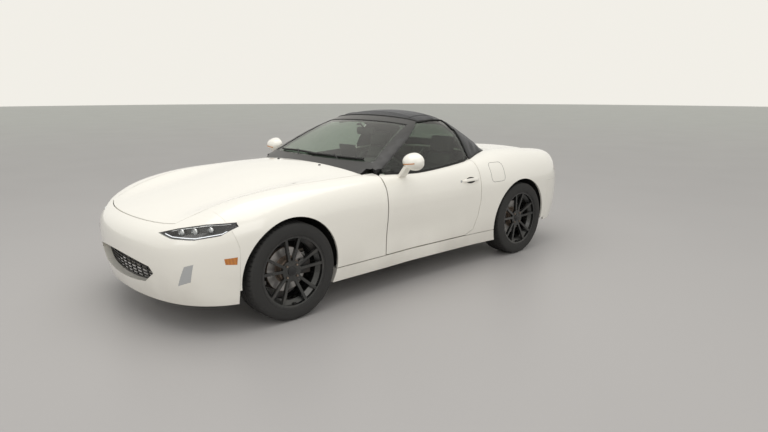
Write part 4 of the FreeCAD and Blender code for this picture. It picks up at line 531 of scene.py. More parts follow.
def finish_for(name):
    """The finish by name, made once."""
    if name not in FINISHES:
        paint, trim = settings().paint, settings().trim
        makers = {
            "body": lambda: body_paint("Body paint", tuple(paint.body)),
            "mirror": lambda: body_paint("Mirror paint", tuple(paint.mirror)),
            "gloss_black": gloss_black,
            "dark_plastic": lambda: moulded_plastic("Dark plastic", (0.020, 0.020, 0.020)),
            "grille_plastic": lambda: moulded_plastic("Grille plastic", (0.012, 0.012, 0.012), 1200, 0.36),
            "liner": lambda: moulded_plastic("Arch liner", (0.018, 0.017, 0.016), 260, 0.8, 0.0008, 0.1),
            "cabin_plastic": lambda: moulded_plastic(
                "Cabin plastic", (0.017, 0.017, 0.0175), 1100, 0.56, 0.0002),
            "satin_trim": lambda: bare_metal("Satin trim", (0.40, 0.41, 0.42), 0.3, (90, 6, 90)),
            "tyre": tyre_rubber,
            "rubber": seal_rubber,
            "wheel": wheel_metal,
            "disc": lambda: turned_iron("Brake disc"),
            "chrome": lambda: bare_metal(
                "Bright reflector", (0.78, 0.79, 0.80), 0.1, (30, 30, 30), 0.06, 0.00002),
            "steel": lambda: bare_metal("Plain steel", (0.36, 0.35, 0.34), 0.36, (40, 40, 40)),
            "exhaust": lambda: bare_metal(
                "Exhaust steel", (0.40, 0.36, 0.32), 0.4, (8, 60, 60), 0.45, 0.0002),
            "alloy": lambda: bare_metal("Cast alloy", (0.36, 0.36, 0.36), 0.5, (50, 50, 50), 0.3, 0.0004),
            "chassis": lambda: primed_steel("Chassis coat", (0.030, 0.030, 0.031)),
            "structure": lambda: primed_steel(
                "Structure primer", (0.26, 0.25, 0.235), (0.12, 0.10, 0.08), 0.35),
            # Painted shade: inner panels, the engine bay and the undersides of the bonnet and boot lid are
            # body colour, darkened here to about three quarters for the shade that falls there; its dirt
            # patches are real dirt
            "shaded_inner_paint": lambda: primed_steel(
                "Shaded inner paint", (0.66, 0.64, 0.575), (0.42, 0.38, 0.32), 0.18),
            "hood": hood_cloth,
            "lining": lining_cloth,
            "carpet": carpet,
            "leather": lambda: leather("Cabin leather", tuple(trim.leather)),
            "grip_leather": lambda: leather("Grip leather", (0.018, 0.0175, 0.017), 560),
            "thread": thread_finish,
            "screen_glass": lambda: thin_glass("Screen glass", (0.80, 0.86, 0.81)),
            "side_glass": lambda: thin_glass("Side glass", (0.72, 0.78, 0.73)),
            "rear_glass": lambda: thin_glass("Rear glass", (0.55, 0.60, 0.56)),
            "lens": clear_lens,
            "amber": lambda: colour_lens("Amber lens", (0.80, 0.30, 0.035), (0.55, 0.17, 0.02)),
            "red": lambda: colour_lens("Red lens", (0.55, 0.018, 0.014), (0.30, 0.008, 0.008)),
            "pale_lens": lambda: colour_lens("Pale lens", (0.62, 0.63, 0.62), (0.50, 0.51, 0.51), 1500),
            "mirror_glass": bright_mirror,
            "lamp_white": lambda: glow("Lamp white", (0.95, 0.97, 1.0), 0.55),
            "lamp_red": lambda: glow("Lamp red", (0.85, 0.03, 0.02), 0.25),
            "dial_face": lambda: moulded_plastic("Dial face", (0.010, 0.010, 0.011), 1600, 0.5, 0.00004),
            "dial_white": lambda: glow("Dial marks", (0.80, 0.82, 0.84), 0.35),
            "needle": lambda: glow("Needle", (0.80, 0.05, 0.02), 0.5),
            "copper": lambda: bare_metal("Heater wire", (0.32, 0.16, 0.09), 0.45, metallic=0.6),
            "plate": blank_plate,
        }
        FINISHES[name] = makers[name]()
    return FINISHES[name]


# Shapes
def spread(start, end, count):
    return [start + (end - start) * i / (count - 1) for i in range(count)]


def circle(radius, count):
    """Points (across, up) round a circle."""
    turns = spread(0, 2 * math.pi * (count - 1) / count, count)
    return [(radius * math.cos(turn), radius * math.sin(turn)) for turn in turns]


def smooth(share):
    share = min(1.0, max(0.0, share))
    return share * share * (3 - 2 * share)


def link(name, mesh):
    piece = bpy.data.objects.new(name, mesh)
    bpy.context.scene.collection.objects.link(piece)
    return piece


def thicken(piece, thickness, offset=-1):
    """Gives an open sheet its thickness."""
    wall = piece.modifiers.new("Wall", "SOLIDIFY")
    wall.thickness = thickness
    wall.offset = offset


def spline(points, count, closed=False):
    """Evenly spread points on a smooth line through the given ones."""
    points = [Vector(p) for p in points]
    if closed:
        points = points + points[:3]
    else:
        points = [points[0] * 2 - points[1]] + points + [points[-1] * 2 - points[-2]]
    dense = []
    for i in range(1, len(points) - 2):
        before, start, end, after = points[i - 1:i + 3]
        for step in range(12):
            t = step / 12
            bend = 2 * before - 5 * start + 4 * end - after
            twist = 3 * start - before - 3 * end + after
            dense.append(0.5 * (2 * start + (end - before) * t + bend * t * t + twist * t * t * t))
    dense.append(points[-2].copy())
    lengths = [0.0]
    for a, b in zip(dense, dense[1:]):
        lengths.append(lengths[-1] + (b - a).length)
    line, index = [], 0
    steps = count if closed else count - 1
    for i in range(count):
        goal = lengths[-1] * i / steps
        while index < len(dense) - 2 and lengths[index + 1] < goal:
            index += 1
        run = max(1e-9, lengths[index + 1] - lengths[index])
        line.append(dense[index].lerp(dense[index + 1], min(1.0, (goal - lengths[index]) / run)))
    return line


class Form:
    """Points and faces of one piece, gathered shape by shape."""

    def __init__(self):
        self.points = []
        self.faces = []

    def add(self, points, faces):
        first = len(self.points)
        self.points.extend(Vector(p) for p in points)
        self.faces.extend(tuple(first + i for i in face) for face in faces)
        return self

    def loft(self, rings, closed=True, capped=True, looped=False):
        """Joins rings of equal length; looped joins the last ring to the first."""
        count = len(rings[0])
        points = [p for ring in rings for p in ring]
        faces = []
        for row in range(len(rings) - (0 if looped else 1)):
            near, far = row * count, ((row + 1) % len(rings)) * count
            for i in range(count if closed else count - 1):
                j = (i + 1) % count
                faces.append((near + i, near + j, far + j, far + i))
        if capped and closed and not looped:
            faces.append(tuple(reversed(range(count))))
            faces.append(tuple((len(rings) - 1) * count + i for i in range(count)))
        return self.add(points, faces)

    def sweep(self, path, section, up=None, closed=False):
        """Carries a section of (side, up) points along a path; section may be a function of the share."""
        path = [Vector(p) for p in path]
        rings = []
        last = len(path) - 1
        side = None
        for i, place in enumerate(path):
            if closed:
                ahead = path[(i + 1) % len(path)] - path[i - 1]
            else:
                ahead = path[min(i + 1, last)] - path[max(i - 1, 0)]
            ahead.normalize()
            if up is not None:
                guide = up[i] if isinstance(up, list) else up
                side = Vector(guide).cross(ahead).normalized()
            elif side is None:
                guide = UP if abs(ahead.z) < 0.9 else AHEAD
                side = guide.cross(ahead).normalized()
            else:
                side = (side - ahead * side.dot(ahead)).normalized()
            top = ahead.cross(side)
            outline = section(i / last) if callable(section) else section
            rings.append([place + side * a + top * b for a, b in outline])
        return self.loft(rings, looped=closed)

    def tube(self, path, radius, sides=10, up=None, closed=False, flat=1.0):
        def outline(share):
            size = radius(share) if callable(radius) else radius
            turns = [2 * math.pi * i / sides for i in range(sides)]
            return [(size * math.cos(turn), flat * size * math.sin(turn)) for turn in turns]
        return self.sweep(path, outline, up, closed)

    def lathe(self, profile, origin, axis, steps=48, hollow=False):
        """Turns a profile of (along, out) about an axis; hollow joins its last point to its first."""
        axis = Vector(axis).normalized()
        guide = UP if abs(axis.z) < 0.9 else AHEAD
        side = guide.cross(axis).normalized()
        top = axis.cross(side)
        rings = []
        for i in range(steps):
            turn = 2 * math.pi * i / steps
            out = side * math.cos(turn) + top * math.sin(turn)
            rings.append([Vector(origin) + axis * a + out * max(r, 1e-5) for a, r in profile])
        return self.loft(rings, closed=hollow, capped=False, looped=True)

    def slab(self, outline, depth):
        """A plate from its outline, thickened by a vector."""
        near = [Vector(p) for p in outline]
        return self.loft([near, [p + Vector(depth) for p in near]])

    def piece(self, name, finish, body, slot, bevel=0.0, levels=0, angle=38):
        """Makes the object, in its finish, riding on its body."""
        mesh = bpy.data.meshes.new(name)
        mesh.from_pydata([tuple(p) for p in self.points], [], self.faces)
        work = bmesh.new()
        work.from_mesh(mesh)
        bmesh.ops.remove_doubles(work, verts=work.verts, dist=2e-6)
        bmesh.ops.recalc_face_normals(work, faces=work.faces)
        work.to_mesh(mesh)
        work.free()
        mesh.materials.append(finish_for(finish))
        mesh.shade_smooth()
        mesh.set_sharp_from_angle(angle=math.radians(angle))
        piece = link(name, mesh)
        if bevel:
            rounding = piece.modifiers.new("Rounded edges", "BEVEL")
            rounding.width = bevel
            rounding.segments = 2
            rounding.limit_method = "ANGLE"
            rounding.angle_limit = math.radians(angle)
        if levels:
            finer = piece.modifiers.new("Finer surface", "SUBSURF")
            finer.levels = levels
            finer.render_levels = levels
        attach(piece, body)
        return piece


class Skin:
    """Finds places on the solids along a line of sight."""

    def __init__(self, *nodes):
        points, faces = [], []
        for node in nodes:
            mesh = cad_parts[node].data
            first = len(points)
            points.extend(vertex.co.copy() for vertex in mesh.vertices)
            faces.extend(tuple(first + i for i in face.vertices) for face in mesh.polygons)
        self.tree = BVHTree.FromPolygons(points, faces)

    def hit(self, start, direction):
        """The first place met, or the nearest on a miss, and the surface's direction, towards the start."""
        direction = Vector(direction).normalized()
        place, normal, _, _ = self.tree.ray_cast(Vector(start), direction)
        if place is None:
            place, normal, _, _ = self.tree.find_nearest(Vector(start) + direction)
        if normal.dot(direction) > 0:
            normal = -normal
        return place, normal

    def from_side(self, x, z, side=1, lift=0.0):
        place, normal = self.hit((x, side * BESIDE_CAR, z), (0, -side, 0))
        return place + normal * lift

    def from_above(self, x, y, lift=0.0):
        place, normal = self.hit((x, y, ABOVE_CAR), DOWN)
        return place + normal * lift

    def from_front(self, y, z, lift=0.0):
        place, normal = self.hit((BEYOND_CAR, y, z), BEHIND)
        return place + normal * lift

    def from_behind(self, y, z, lift=0.0):
        place, normal = self.hit((-BEYOND_CAR, y, z), AHEAD)
        return place + normal * lift


def edge_loops(node, keep, sharp=40):
    """Closed lines along a solid's sharp edges, of those that keep(normal, other normal, middle) chooses."""
    work = bmesh.new()
    work.from_mesh(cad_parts[node].data)
    bmesh.ops.remove_doubles(work, verts=work.verts, dist=1e-5)
    partners = {}
    for edge in work.edges:
        if len(edge.link_faces) != 2 or edge.calc_face_angle(0.0) < math.radians(sharp):
            continue
        first, second = (face.normal for face in edge.link_faces)
        middle = (edge.verts[0].co + edge.verts[1].co) / 2
        if keep(first, second, middle):
            a, b = (vertex.index for vertex in edge.verts)
            partners.setdefault(a, []).append(b)
            partners.setdefault(b, []).append(a)
    places = {vertex.index: vertex.co.copy() for vertex in work.verts if vertex.index in partners}
    work.free()
    loops, seen = [], set()
    for start in partners:
        if start in seen:
            continue
        line, here = [], start
        while here is not None and here not in seen:
            seen.add(here)
            line.append(places[here])
            here = next((other for other in partners[here] if other not in seen), None)
        loops.append(line)
    return sorted(loops, key=lambda line: -sum((b - a).length for a, b in zip(line, line[1:])))


def evened(line, step, calm=2):
    """A closed line with points a step apart, softened a little."""
    line = line + line[:1]
    total = sum((b - a).length for a, b in zip(line, line[1:]))
    count = max(8, int(total / step))
    even, index, done = [], 0, 0.0
    for i in range(count):
        goal = total * i / count
        while index < len(line) - 2 and done + (line[index + 1] - line[index]).length < goal:
            done += (line[index + 1] - line[index]).length
            index += 1
        run = (line[index + 1] - line[index]).length or 1e-9
        even.append(line[index].lerp(line[index + 1], min(1.0, (goal - done) / run)))
    for _ in range(calm):
        even = [(even[i - 1] + even[i] * 2 + even[(i + 1) % count]) / 4 for i in range(count)]
    return even


def rounded(width, height, corner, steps=5):
    """A rounded rectangle of (side, up) points."""
    points = []
    for turn, (sx, sy) in enumerate(((1, 1), (-1, 1), (-1, -1), (1, -1))):
        for i in range(steps):
            angle = math.pi / 2 * (turn + i / (steps - 1))
            points.append((sx * (width / 2 - corner) + corner * math.cos(angle),
                           sy * (height / 2 - corner) + corner * math.sin(angle)))
    return points


def dress(name, finishes, choose=None):
    """Gives a solid its finishes; choose(centre, normal) picks one of them by number for each face."""
    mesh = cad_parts[name].data
    mesh.materials.clear()
    for finish in finishes:
        mesh.materials.append(finish_for(finish))
    if choose:
        for face in mesh.polygons:
            face.material_index = choose(face.center, face.normal)


# Solids that keep their shape
SOLID_FINISHES = {
    "body": "front_bumper front_wings sills rear_quarters rear_deck rear_bumper",
    "mirror": "door_mirror_left door_mirror_right",
    "gloss_black": "windscreen_frame",
    "grille_plastic": "grille",
    "dark_plastic": "cowl_panel",
    "liner": "wheel_liners",
    "cabin_plastic": "dashboard centre_console steering_wheel",
    "structure": "floor_pan",
    "alloy": "radiator engine driveline rack_housing",
    "exhaust": "exhaust",
    "chassis": "front_suspension rear_suspension knuckle_left knuckle_right",
    "steel": "steering_rack",
    "disc": "brake_disc_front_left brake_disc_front_right brake_disc_rear_left brake_disc_rear_right",
    "wheel": "rim_front_left rim_front_right rim_rear_left rim_rear_right",
    "lens": "headlamps",
    "screen_glass": "windscreen",
    "side_glass": "door_glass_left door_glass_right",
    "rear_glass": "rear_window",
}


class ROADSTER_OT_solids(bpy.types.Operator):
    """Gives the solids that keep their shape their finishes"""
    bl_idname = "roadster.solids"
    bl_label = "Solids"

    def execute(self, context):
        for finish, names in SOLID_FINISHES.items():
            for name in names.split():
                dress(name, [finish])
        # The first finish of both structures, and the downward faces of the bonnet and boot lid, take the
        # body colour darkened as painted shade
        dress("front_structure", ["shaded_inner_paint", "carpet", "liner"], self.front_face)
        dress("rear_structure", ["shaded_inner_paint", "carpet", "liner"], self.rear_face)
        dress("marker_lamps", ["pale_lens", "amber"], lambda centre, normal: int(centre.x < 1.70))
        dress("tail_lamps", ["red", "pale_lens"], lambda centre, normal: int(abs(centre.y) < 0.585))
        dress("bonnet", ["body", "shaded_inner_paint"], lambda centre, normal: int(normal.z < -0.3))
        dress("boot_lid", ["body", "shaded_inner_paint"],
              lambda centre, normal: int(normal.z < -0.3 and centre.x > -1.86))
        for side, sign in BOTH_SIDES:
            pane = Skin(f"door_glass_{side}")

            def inside(centre, normal):
                behind = abs(centre.y) < abs(pane.from_side(centre.x, BELT_HEIGHT + 0.02, sign).y) - 0.002
                return int(sign * normal.y < -0.5 or (behind and centre.z > 0.76 and normal.z > 0.2))
            dress(f"door_{side}", ["body", "cabin_plastic"], inside)
        return {"FINISHED"}

    def front_face(self, centre, normal):
        """Body colour darkened as painted shade in the engine bay, carpet in the footwells and a dark coat in
        the wheel arches.
        """
        if centre.z < 0.80 and abs(centre.y) < 0.70:
            if centre.x < 0.468 or (centre.x < 0.60 and normal.x < -0.3):
                return 1
        return 2 if centre.z < 0.66 and centre.y * normal.y > 0.12 else 0

    def rear_face(self, centre, normal):
        """Carpet behind the seats and in the boot, and a dark coat in the wheel arches."""
        in_cabin = centre.x > -0.745 and normal.x > -0.5
        in_boot = abs(centre.y) < 0.60 and -1.83 < centre.x < -1.10 and 0.30 < centre.z < 0.82
        if in_cabin or (in_boot and normal.z > -0.5):
            return 1
        return 2 if centre.z < 0.66 and centre.y * normal.y > 0.12 else 0


# Wheels
class ROADSTER_OT_tyres(bpy.types.Operator):
    """Builds the four tyres with their treads"""
    bl_idname = "roadster.tyres"
    bl_label = "Tyres"

    def execute(self, context):
        trim = settings().trim
        half = TYRE_WIDTH / 2
        side = [(0.94, 0.2215), (0.965, 0.2275), (0.985, 0.236), (1.0, 0.246), (1.0, 0.262), (0.992, 0.276),
                (0.975, 0.2875), (0.945, 0.2955), (0.905, 0.3005), (0.86, 0.3035)]
        half_crown = [0.10, 0.12, 0.18, 0.20, 0.30, 0.42, 0.44, 0.50, 0.52, 0.56, 0.62, 0.72, 0.80]
        crown = [-share for share in reversed(half_crown)] + [0.0] + half_crown
        fall = 0.0032
        outline = [(-s, r) for s, r in side]
        outline += [(s, TYRE_RADIUS - fall * (abs(s) / 0.8) ** 2) for s in crown]
        outline += [(s, r) for s, r in reversed(side)]
        phases = 5
        steps = trim.tread_pitches * phases
        for corner, (x, y, sign) in WHEELS.items():
            form = Form()
            rings = []
            for i in range(steps):
                ring = []
                for share, radius in outline:
                    reach = abs(share)
                    low = 0.0
                    if 0.42 <= reach <= 0.51 or 0.11 <= reach <= 0.19:
                        low = trim.groove_depth
                    elif 0.55 < reach < 0.90 and i % phases == 0:
                        low = trim.groove_depth * 0.75
                    elif 0.19 < reach < 0.42 and i % (2 * phases) == 2:
                        low = trim.groove_depth * 0.6
                    slant = 0.018 * math.copysign(reach ** 1.4, share)
                    turn = 2 * math.pi * (i / steps) + sign * slant
                    r = radius - low
                    ring.append((x + r * math.cos(turn), y + share * half, AXLE_HEIGHT + r * math.sin(turn)))
                rings.append(ring)
            form.loft(rings, closed=False, capped=False, looped=True)
            for out, radius, size in ((0.985, 0.2325, 0.0016), (1.0, 0.254, 0.0007), (0.983, 0.282, 0.0009)):
                for face in (-1, 1):
                    line = [(x + a, y + face * (half * out - size * 0.4), AXLE_HEIGHT + b)
                            for a, b in circle(radius, 96)]
                    form.tube(line, size, 6, closed=True)
            piece = form.piece(f"tyre_tread_{corner}", "tyre", f"wheel_{corner}", "tyre", angle=42)
            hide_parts(f"tyre_{corner}")
        return {"FINISHED"}


class ROADSTER_OT_wheel_trim(bpy.types.Operator):
    """Builds the wheels' centre caps, nuts, valves and outer edges"""
    bl_idname = "roadster.wheel_trim"
    bl_label = "Wheel trim"

    def execute(self, context):
        for corner, (x, y, sign) in WHEELS.items():
            body = f"wheel_{corner}"
            skin = Skin(f"rim_{corner}")
            outside, inward, out = y + sign * 0.3, (0, -sign, 0), (0, sign, 0)
            seat = skin.hit((x + 0.036, outside, AXLE_HEIGHT), inward)[0].y
            middle = (x, seat, AXLE_HEIGHT)
            cap = Form().lathe(
                [(-0.006, 0.0), (-0.006, 0.0285), (0.001, 0.0300), (0.0035, 0.0298), (0.0048, 0.0285),
                 (0.0040, 0.0262), (0.0046, 0.0240), (0.0066, 0.0160), (0.0076, 0.0080), (0.0080, 0.0)],
                middle, out, 64)
            cap.piece(f"wheel_cap_{corner}", "gloss_black", body, "rim", angle=30)
            nuts = Form()
            for number in range(4):
                angle = math.radians(45 + 90 * number)
                cx, cz = x + STUD_CIRCLE * math.cos(angle), AXLE_HEIGHT + STUD_CIRCLE * math.sin(angle)
                foot = skin.hit((cx, outside, cz), inward)[0].y
                profile = [(0.0, 0.0096), (0.0, 0.0125), (0.003, 0.0125), (0.004, 0.0098), (0.016, 0.0096),
                           (0.0185, 0.0080), (0.0185, 0.0048), (0.0150, 0.0040), (0.0150, 0.0)]
                nuts.lathe(profile, (cx, foot, cz), out, 6)
            nuts.piece(f"wheel_nuts_{corner}", "steel", body, "rim", bevel=0.0006, angle=25)
            root = Vector((x, y + sign * 0.072, AXLE_HEIGHT - VALVE_CIRCLE))
            lean = Vector((0, sign * 0.9, 0.35))
            valve = Form().lathe(
                [(-0.012, 0.0052), (0.004, 0.0050), (0.010, 0.0032), (0.018, 0.0030), (0.019, 0.0042),
                 (0.030, 0.0042), (0.032, 0.0030), (0.032, 0.0)], root, lean, 14)
            valve.piece(f"wheel_valve_{corner}", "rubber", body, "rim")
            rim_edge = Form().lathe(
                [(0.0925, 0.2262), (0.0958, 0.2264), (0.0970, 0.2282), (0.0964, 0.2298), (0.0930, 0.2296)],
                (x, y, AXLE_HEIGHT), out, 96, hollow=True)
            rim_edge.piece(f"rim_edge_{corner}", "wheel", body, "rim", angle=60)
        return {"FINISHED"}


# Lamps
def lamp_line(outline_low, outline_high, inset, count):
    """Pairs of (side, low, high) across a lamp, drawn in from its edge."""
    pairs = []
    for share in spread(0, 1, count):
        y = outline_low[0][0] + (outline_low[-1][0] - outline_low[0][0]) * (0.015 + 0.97 * share)
        pairs.append((y, follow(outline_low, y) + inset, follow(outline_high, y) - inset))
    return pairs


def follow(line, place):
    """The height of a line of (place, height) points at a place."""
    for (a, low), (b, high) in zip(line, line[1:]):
        if a <= place <= b:
            return low + (high - low) * (place - a) / (b - a)
    return line[0][1] if place < line[0][0] else line[-1][1]


class ROADSTER_OT_headlamps(bpy.types.Operator):
    """Builds the reflectors, projectors and light strips behind the clear lenses"""
    bl_idname = "roadster.headlamps"
    bl_label = "Headlamps"

    def execute(self, context):
        low = [(0.456, 0.592), (0.560, 0.5735), (0.690, 0.5735), (0.782, 0.5975), (0.808, 0.638)]
        high = [(0.456, 0.593), (0.560, 0.623), (0.700, 0.653), (0.794, 0.661), (0.808, 0.641)]
        skin = Skin("headlamps")
        behind_lens = Vector((0.0085, 0, 0))
        for side, sign in BOTH_SIDES:
            rows = []
            for y, bottom, top in lamp_line(low, high, 0.0012, 30):
                row = []
                room = smooth(min((y - 0.46) / 0.05, (0.806 - y) / 0.05))
                for share in spread(0, 1, 11):
                    back = 0.0045 + 0.034 * room * math.sin(math.pi * share) ** 0.55
                    step = 0.0016 * math.sin(share * 40) * room
                    spot = skin.from_front(sign * y, bottom + (top - bottom) * share)
                    row.append(spot - Vector((back + step, 0, 0)))
                rows.append(row)
            bowl = Form().loft(rows, closed=False).piece(
                f"headlamp_bowl_{side}", "gloss_black", "chassis", "lamp", angle=50)
            thicken(bowl, 0.0012, 0)
            lights, beams = Form(), Form()
            normal = Vector((0.96, sign * 0.16, 0.02)).normalized()
            for y, z, radius in ((0.585, 0.601, 0.0190), (0.655, 0.611, 0.0190), (0.722, 0.622, 0.0165)):
                origin = skin.from_front(sign * y, z) - Vector((0.034, 0, 0))
                lights.lathe([(-0.004, radius * 1.02), (0.010, radius * 1.20), (0.0125, radius * 1.14),
                              (0.010, radius * 1.04), (0.002, radius)], origin, normal, 40, hollow=True)
                beams.lathe([(0.000, radius), (0.006, radius * 0.92), (0.011, radius * 0.70),
                             (0.0138, radius * 0.40), (0.0146, 0.0)], origin, normal, 36)
            lights.piece(f"headlamp_rings_{side}", "chrome", "chassis", "lamp", angle=50)
            beams.piece(f"headlamp_projectors_{side}", "pale_lens", "chassis", "lamp", angle=60)
            for name, finish, edge, lift, start, end, count, size in (
                ("strip", "lamp_white", low, 0.0075, 0.500, 0.790, 30, 0.0026),
                ("brow", "chrome", high, -0.0075, 0.530, 0.785, 26, 0.0018),
            ):
                line = [skin.from_front(sign * y, follow(edge, y) + lift) - behind_lens
                        for y in spread(start, end, count)]
                Form().tube(line, size, 8).piece(f"headlamp_{name}_{side}", finish, "chassis", "lamp")
        return {"FINISHED"}


class ROADSTER_OT_tail_lamps(bpy.types.Operator):
    """Builds the rings and frames of the rear lamps"""
    bl_idname = "roadster.tail_lamps"
    bl_label = "Rear lamps"

    def execute(self, context):
        skin = Skin("tail_lamps")
        for side, sign in BOTH_SIDES:
            glow_rings, trim_rings = Form(), Form()
            for y, z, radius in ((0.655, 0.672, 0.036), (0.730, 0.682, 0.026)):
                for rings, size, wire in ((glow_rings, radius, 0.0028), (trim_rings, radius * 0.62, 0.0016)):
                    ring = [skin.from_behind(sign * (y + a), z + b, 0.0002) for a, b in circle(size, 36)]
                    rings.tube(ring, wire, 8, closed=True)
            glow_rings.piece(f"tail_rings_{side}", "lamp_red", "chassis", "lamp")
            trim_rings.piece(f"tail_ring_trim_{side}", "gloss_black", "chassis", "lamp")
        return {"FINISHED"}


# Glass and its trim
def screen_rear(y):
    return HEADER_X + 0.026 - SCREEN_BOW * (y / SCREEN_HALF) ** 2


def screen_foot(y):
    return SCREEN_BASE - 0.030 - SCREEN_BOW * (y / SCREEN_HALF) ** 2


def screen_outline(inset, count=22):
    """The windscreen's edge in plan, drawn in by inset."""
    foot_side, top_side = 0.622 - inset * 1.15, 0.478 - inset * 1.15
    foot = [(screen_foot(y) - inset, y) for y in spread(-foot_side, foot_side, count)]
    top = [(screen_rear(y) + inset, y) for y in spread(top_side, -top_side, count)]
    sides = []
    for start, end in ((foot[-1], top[0]), (top[-1], foot[0])):
        sides.append([(start[0] + (end[0] - start[0]) * s, start[1] + (end[1] - start[1]) * s)
                      for s in spread(0, 1, 18)[1:-1]])
    return foot + sides[0] + top + sides[1]


class ROADSTER_OT_screen_trim(bpy.types.Operator):
    """Builds the windscreen's printed border, rubber seal and wipers"""
    bl_idname = "roadster.screen_trim"
    bl_label = "Windscreen trim"

    def execute(self, context):
        skin = Skin("windscreen")
        outer = [skin.from_above(x, y, -0.0062) for x, y in screen_outline(0.002)]
        inner = [skin.from_above(x, y, -0.0062) for x, y in screen_outline(0.026)]
        border = Form().loft([outer, inner], capped=False)
        thicken(border.piece("screen_border", "gloss_black", "chassis", "glazing"), 0.0006)
        line = [skin.from_above(x, y, 0.0002) for x, y in screen_outline(0.0012, 40)]
        Form().tube(line, 0.0036, 8, closed=True, flat=0.8).piece(
            "screen_seal", "rubber", "chassis", "dark_plastic")
        blades, arms = Form(), Form()
        for pivot, foot, tip in (
            ((0.438, 0.330), (0.395, 0.520), (0.415, -0.045)),
            ((0.452, -0.180), (0.416, 0.030), (0.372, -0.530)),
        ):
            line = []
            for share in spread(0, 1, 26):
                x = foot[0] + (tip[0] - foot[0]) * share
                y = foot[1] + (tip[1] - foot[1]) * share
                x = min(x, screen_foot(y) - 0.024)
                line.append(skin.from_above(x, y, 0.0062))
            section = [(-0.0012, -0.006), (0.0012, -0.006), (0.0022, 0.0), (0.0075, 0.004), (0.0060, 0.009),
                       (0.0, 0.012), (-0.0060, 0.009), (-0.0075, 0.004), (-0.0022, 0.0)]
            blades.sweep(line, section, up=(0.45, 0, 1))
            middle = line[13]
            root, _ = Skin("cowl_panel").hit((*pivot, SCREEN_SIGHT), DOWN)
            arms.lathe([(-0.004, 0.014), (0.012, 0.0135), (0.016, 0.010), (0.016, 0.0)], root, UP, 24)
            bend = root + Vector((-0.010, (middle.y - root.y) * 0.25, 0.030))
            path = spline([root + UP * 0.012, bend, root.lerp(middle, 0.6) + UP * 0.026,
                           middle + Vector((0.004, 0, 0.018)), middle + UP * 0.010], 24)
            arms.sweep(path, lambda s: rounded(0.013 - 0.006 * s, 0.006 - 0.002 * s, 0.0015, 3), up=UP)
        blades.piece("wiper_blades", "rubber", "chassis", "dark_plastic")
        arms.piece("wiper_arms", "dark_plastic", "chassis", "dark_plastic", angle=45)
        return {"FINISHED"}


class ROADSTER_OT_cowl_vents(bpy.types.Operator):
    """Builds the slats and corners of the cowl, and the washer jets on the bonnet"""
    bl_idname = "roadster.cowl_vents"
    bl_label = "Cowl vents"

    def execute(self, context):
        skin = Skin("cowl_panel")
        slats = Form()
        for start, end in ((-0.57, -0.24), (0.02, 0.25), (0.42, 0.57)):
            for y in spread(start, end, int((end - start) / 0.013)):
                front = 0.5400 - 0.02 * (y / SCREEN_HALF) ** 2 - 0.020
                line = [skin.from_above(x, y, 0.0012) for x in spread(front - 0.052, front, 6)]
                slats.sweep(line, rounded(0.0045, 0.006, 0.0015, 3), up=UP)
        slats.piece("cowl_slats", "dark_plastic", "chassis", "dark_plastic")
        corners = Form()
        for sign in (-1, 1):
            rows = []
            for x in spread(0.395, 0.512, 8):
                rows.append([(x, sign * y, 0.784 - 0.10 * (y - 0.56) + 0.01 * math.sin(40 * x))
                             for y in spread(0.560, 0.672, 8)])
            corners.loft(rows, closed=False)
        thicken(corners.piece("cowl_corners", "dark_plastic", "chassis", "dark_plastic"), 0.003)
        jets = Form()
        bonnet = Skin("bonnet")
        for y in (-0.27, 0.27):
            spot, normal = bonnet.hit((0.580, y, SCREEN_SIGHT), DOWN)
            jets.lathe([(-0.002, 0.011), (0.0015, 0.0105), (0.005, 0.008), (0.0068, 0.004), (0.0072, 0.0)],
                       spot, normal, 24)
        jets.piece("washer_jets", "dark_plastic", "bonnet", "dark_plastic")
        return {"FINISHED"}


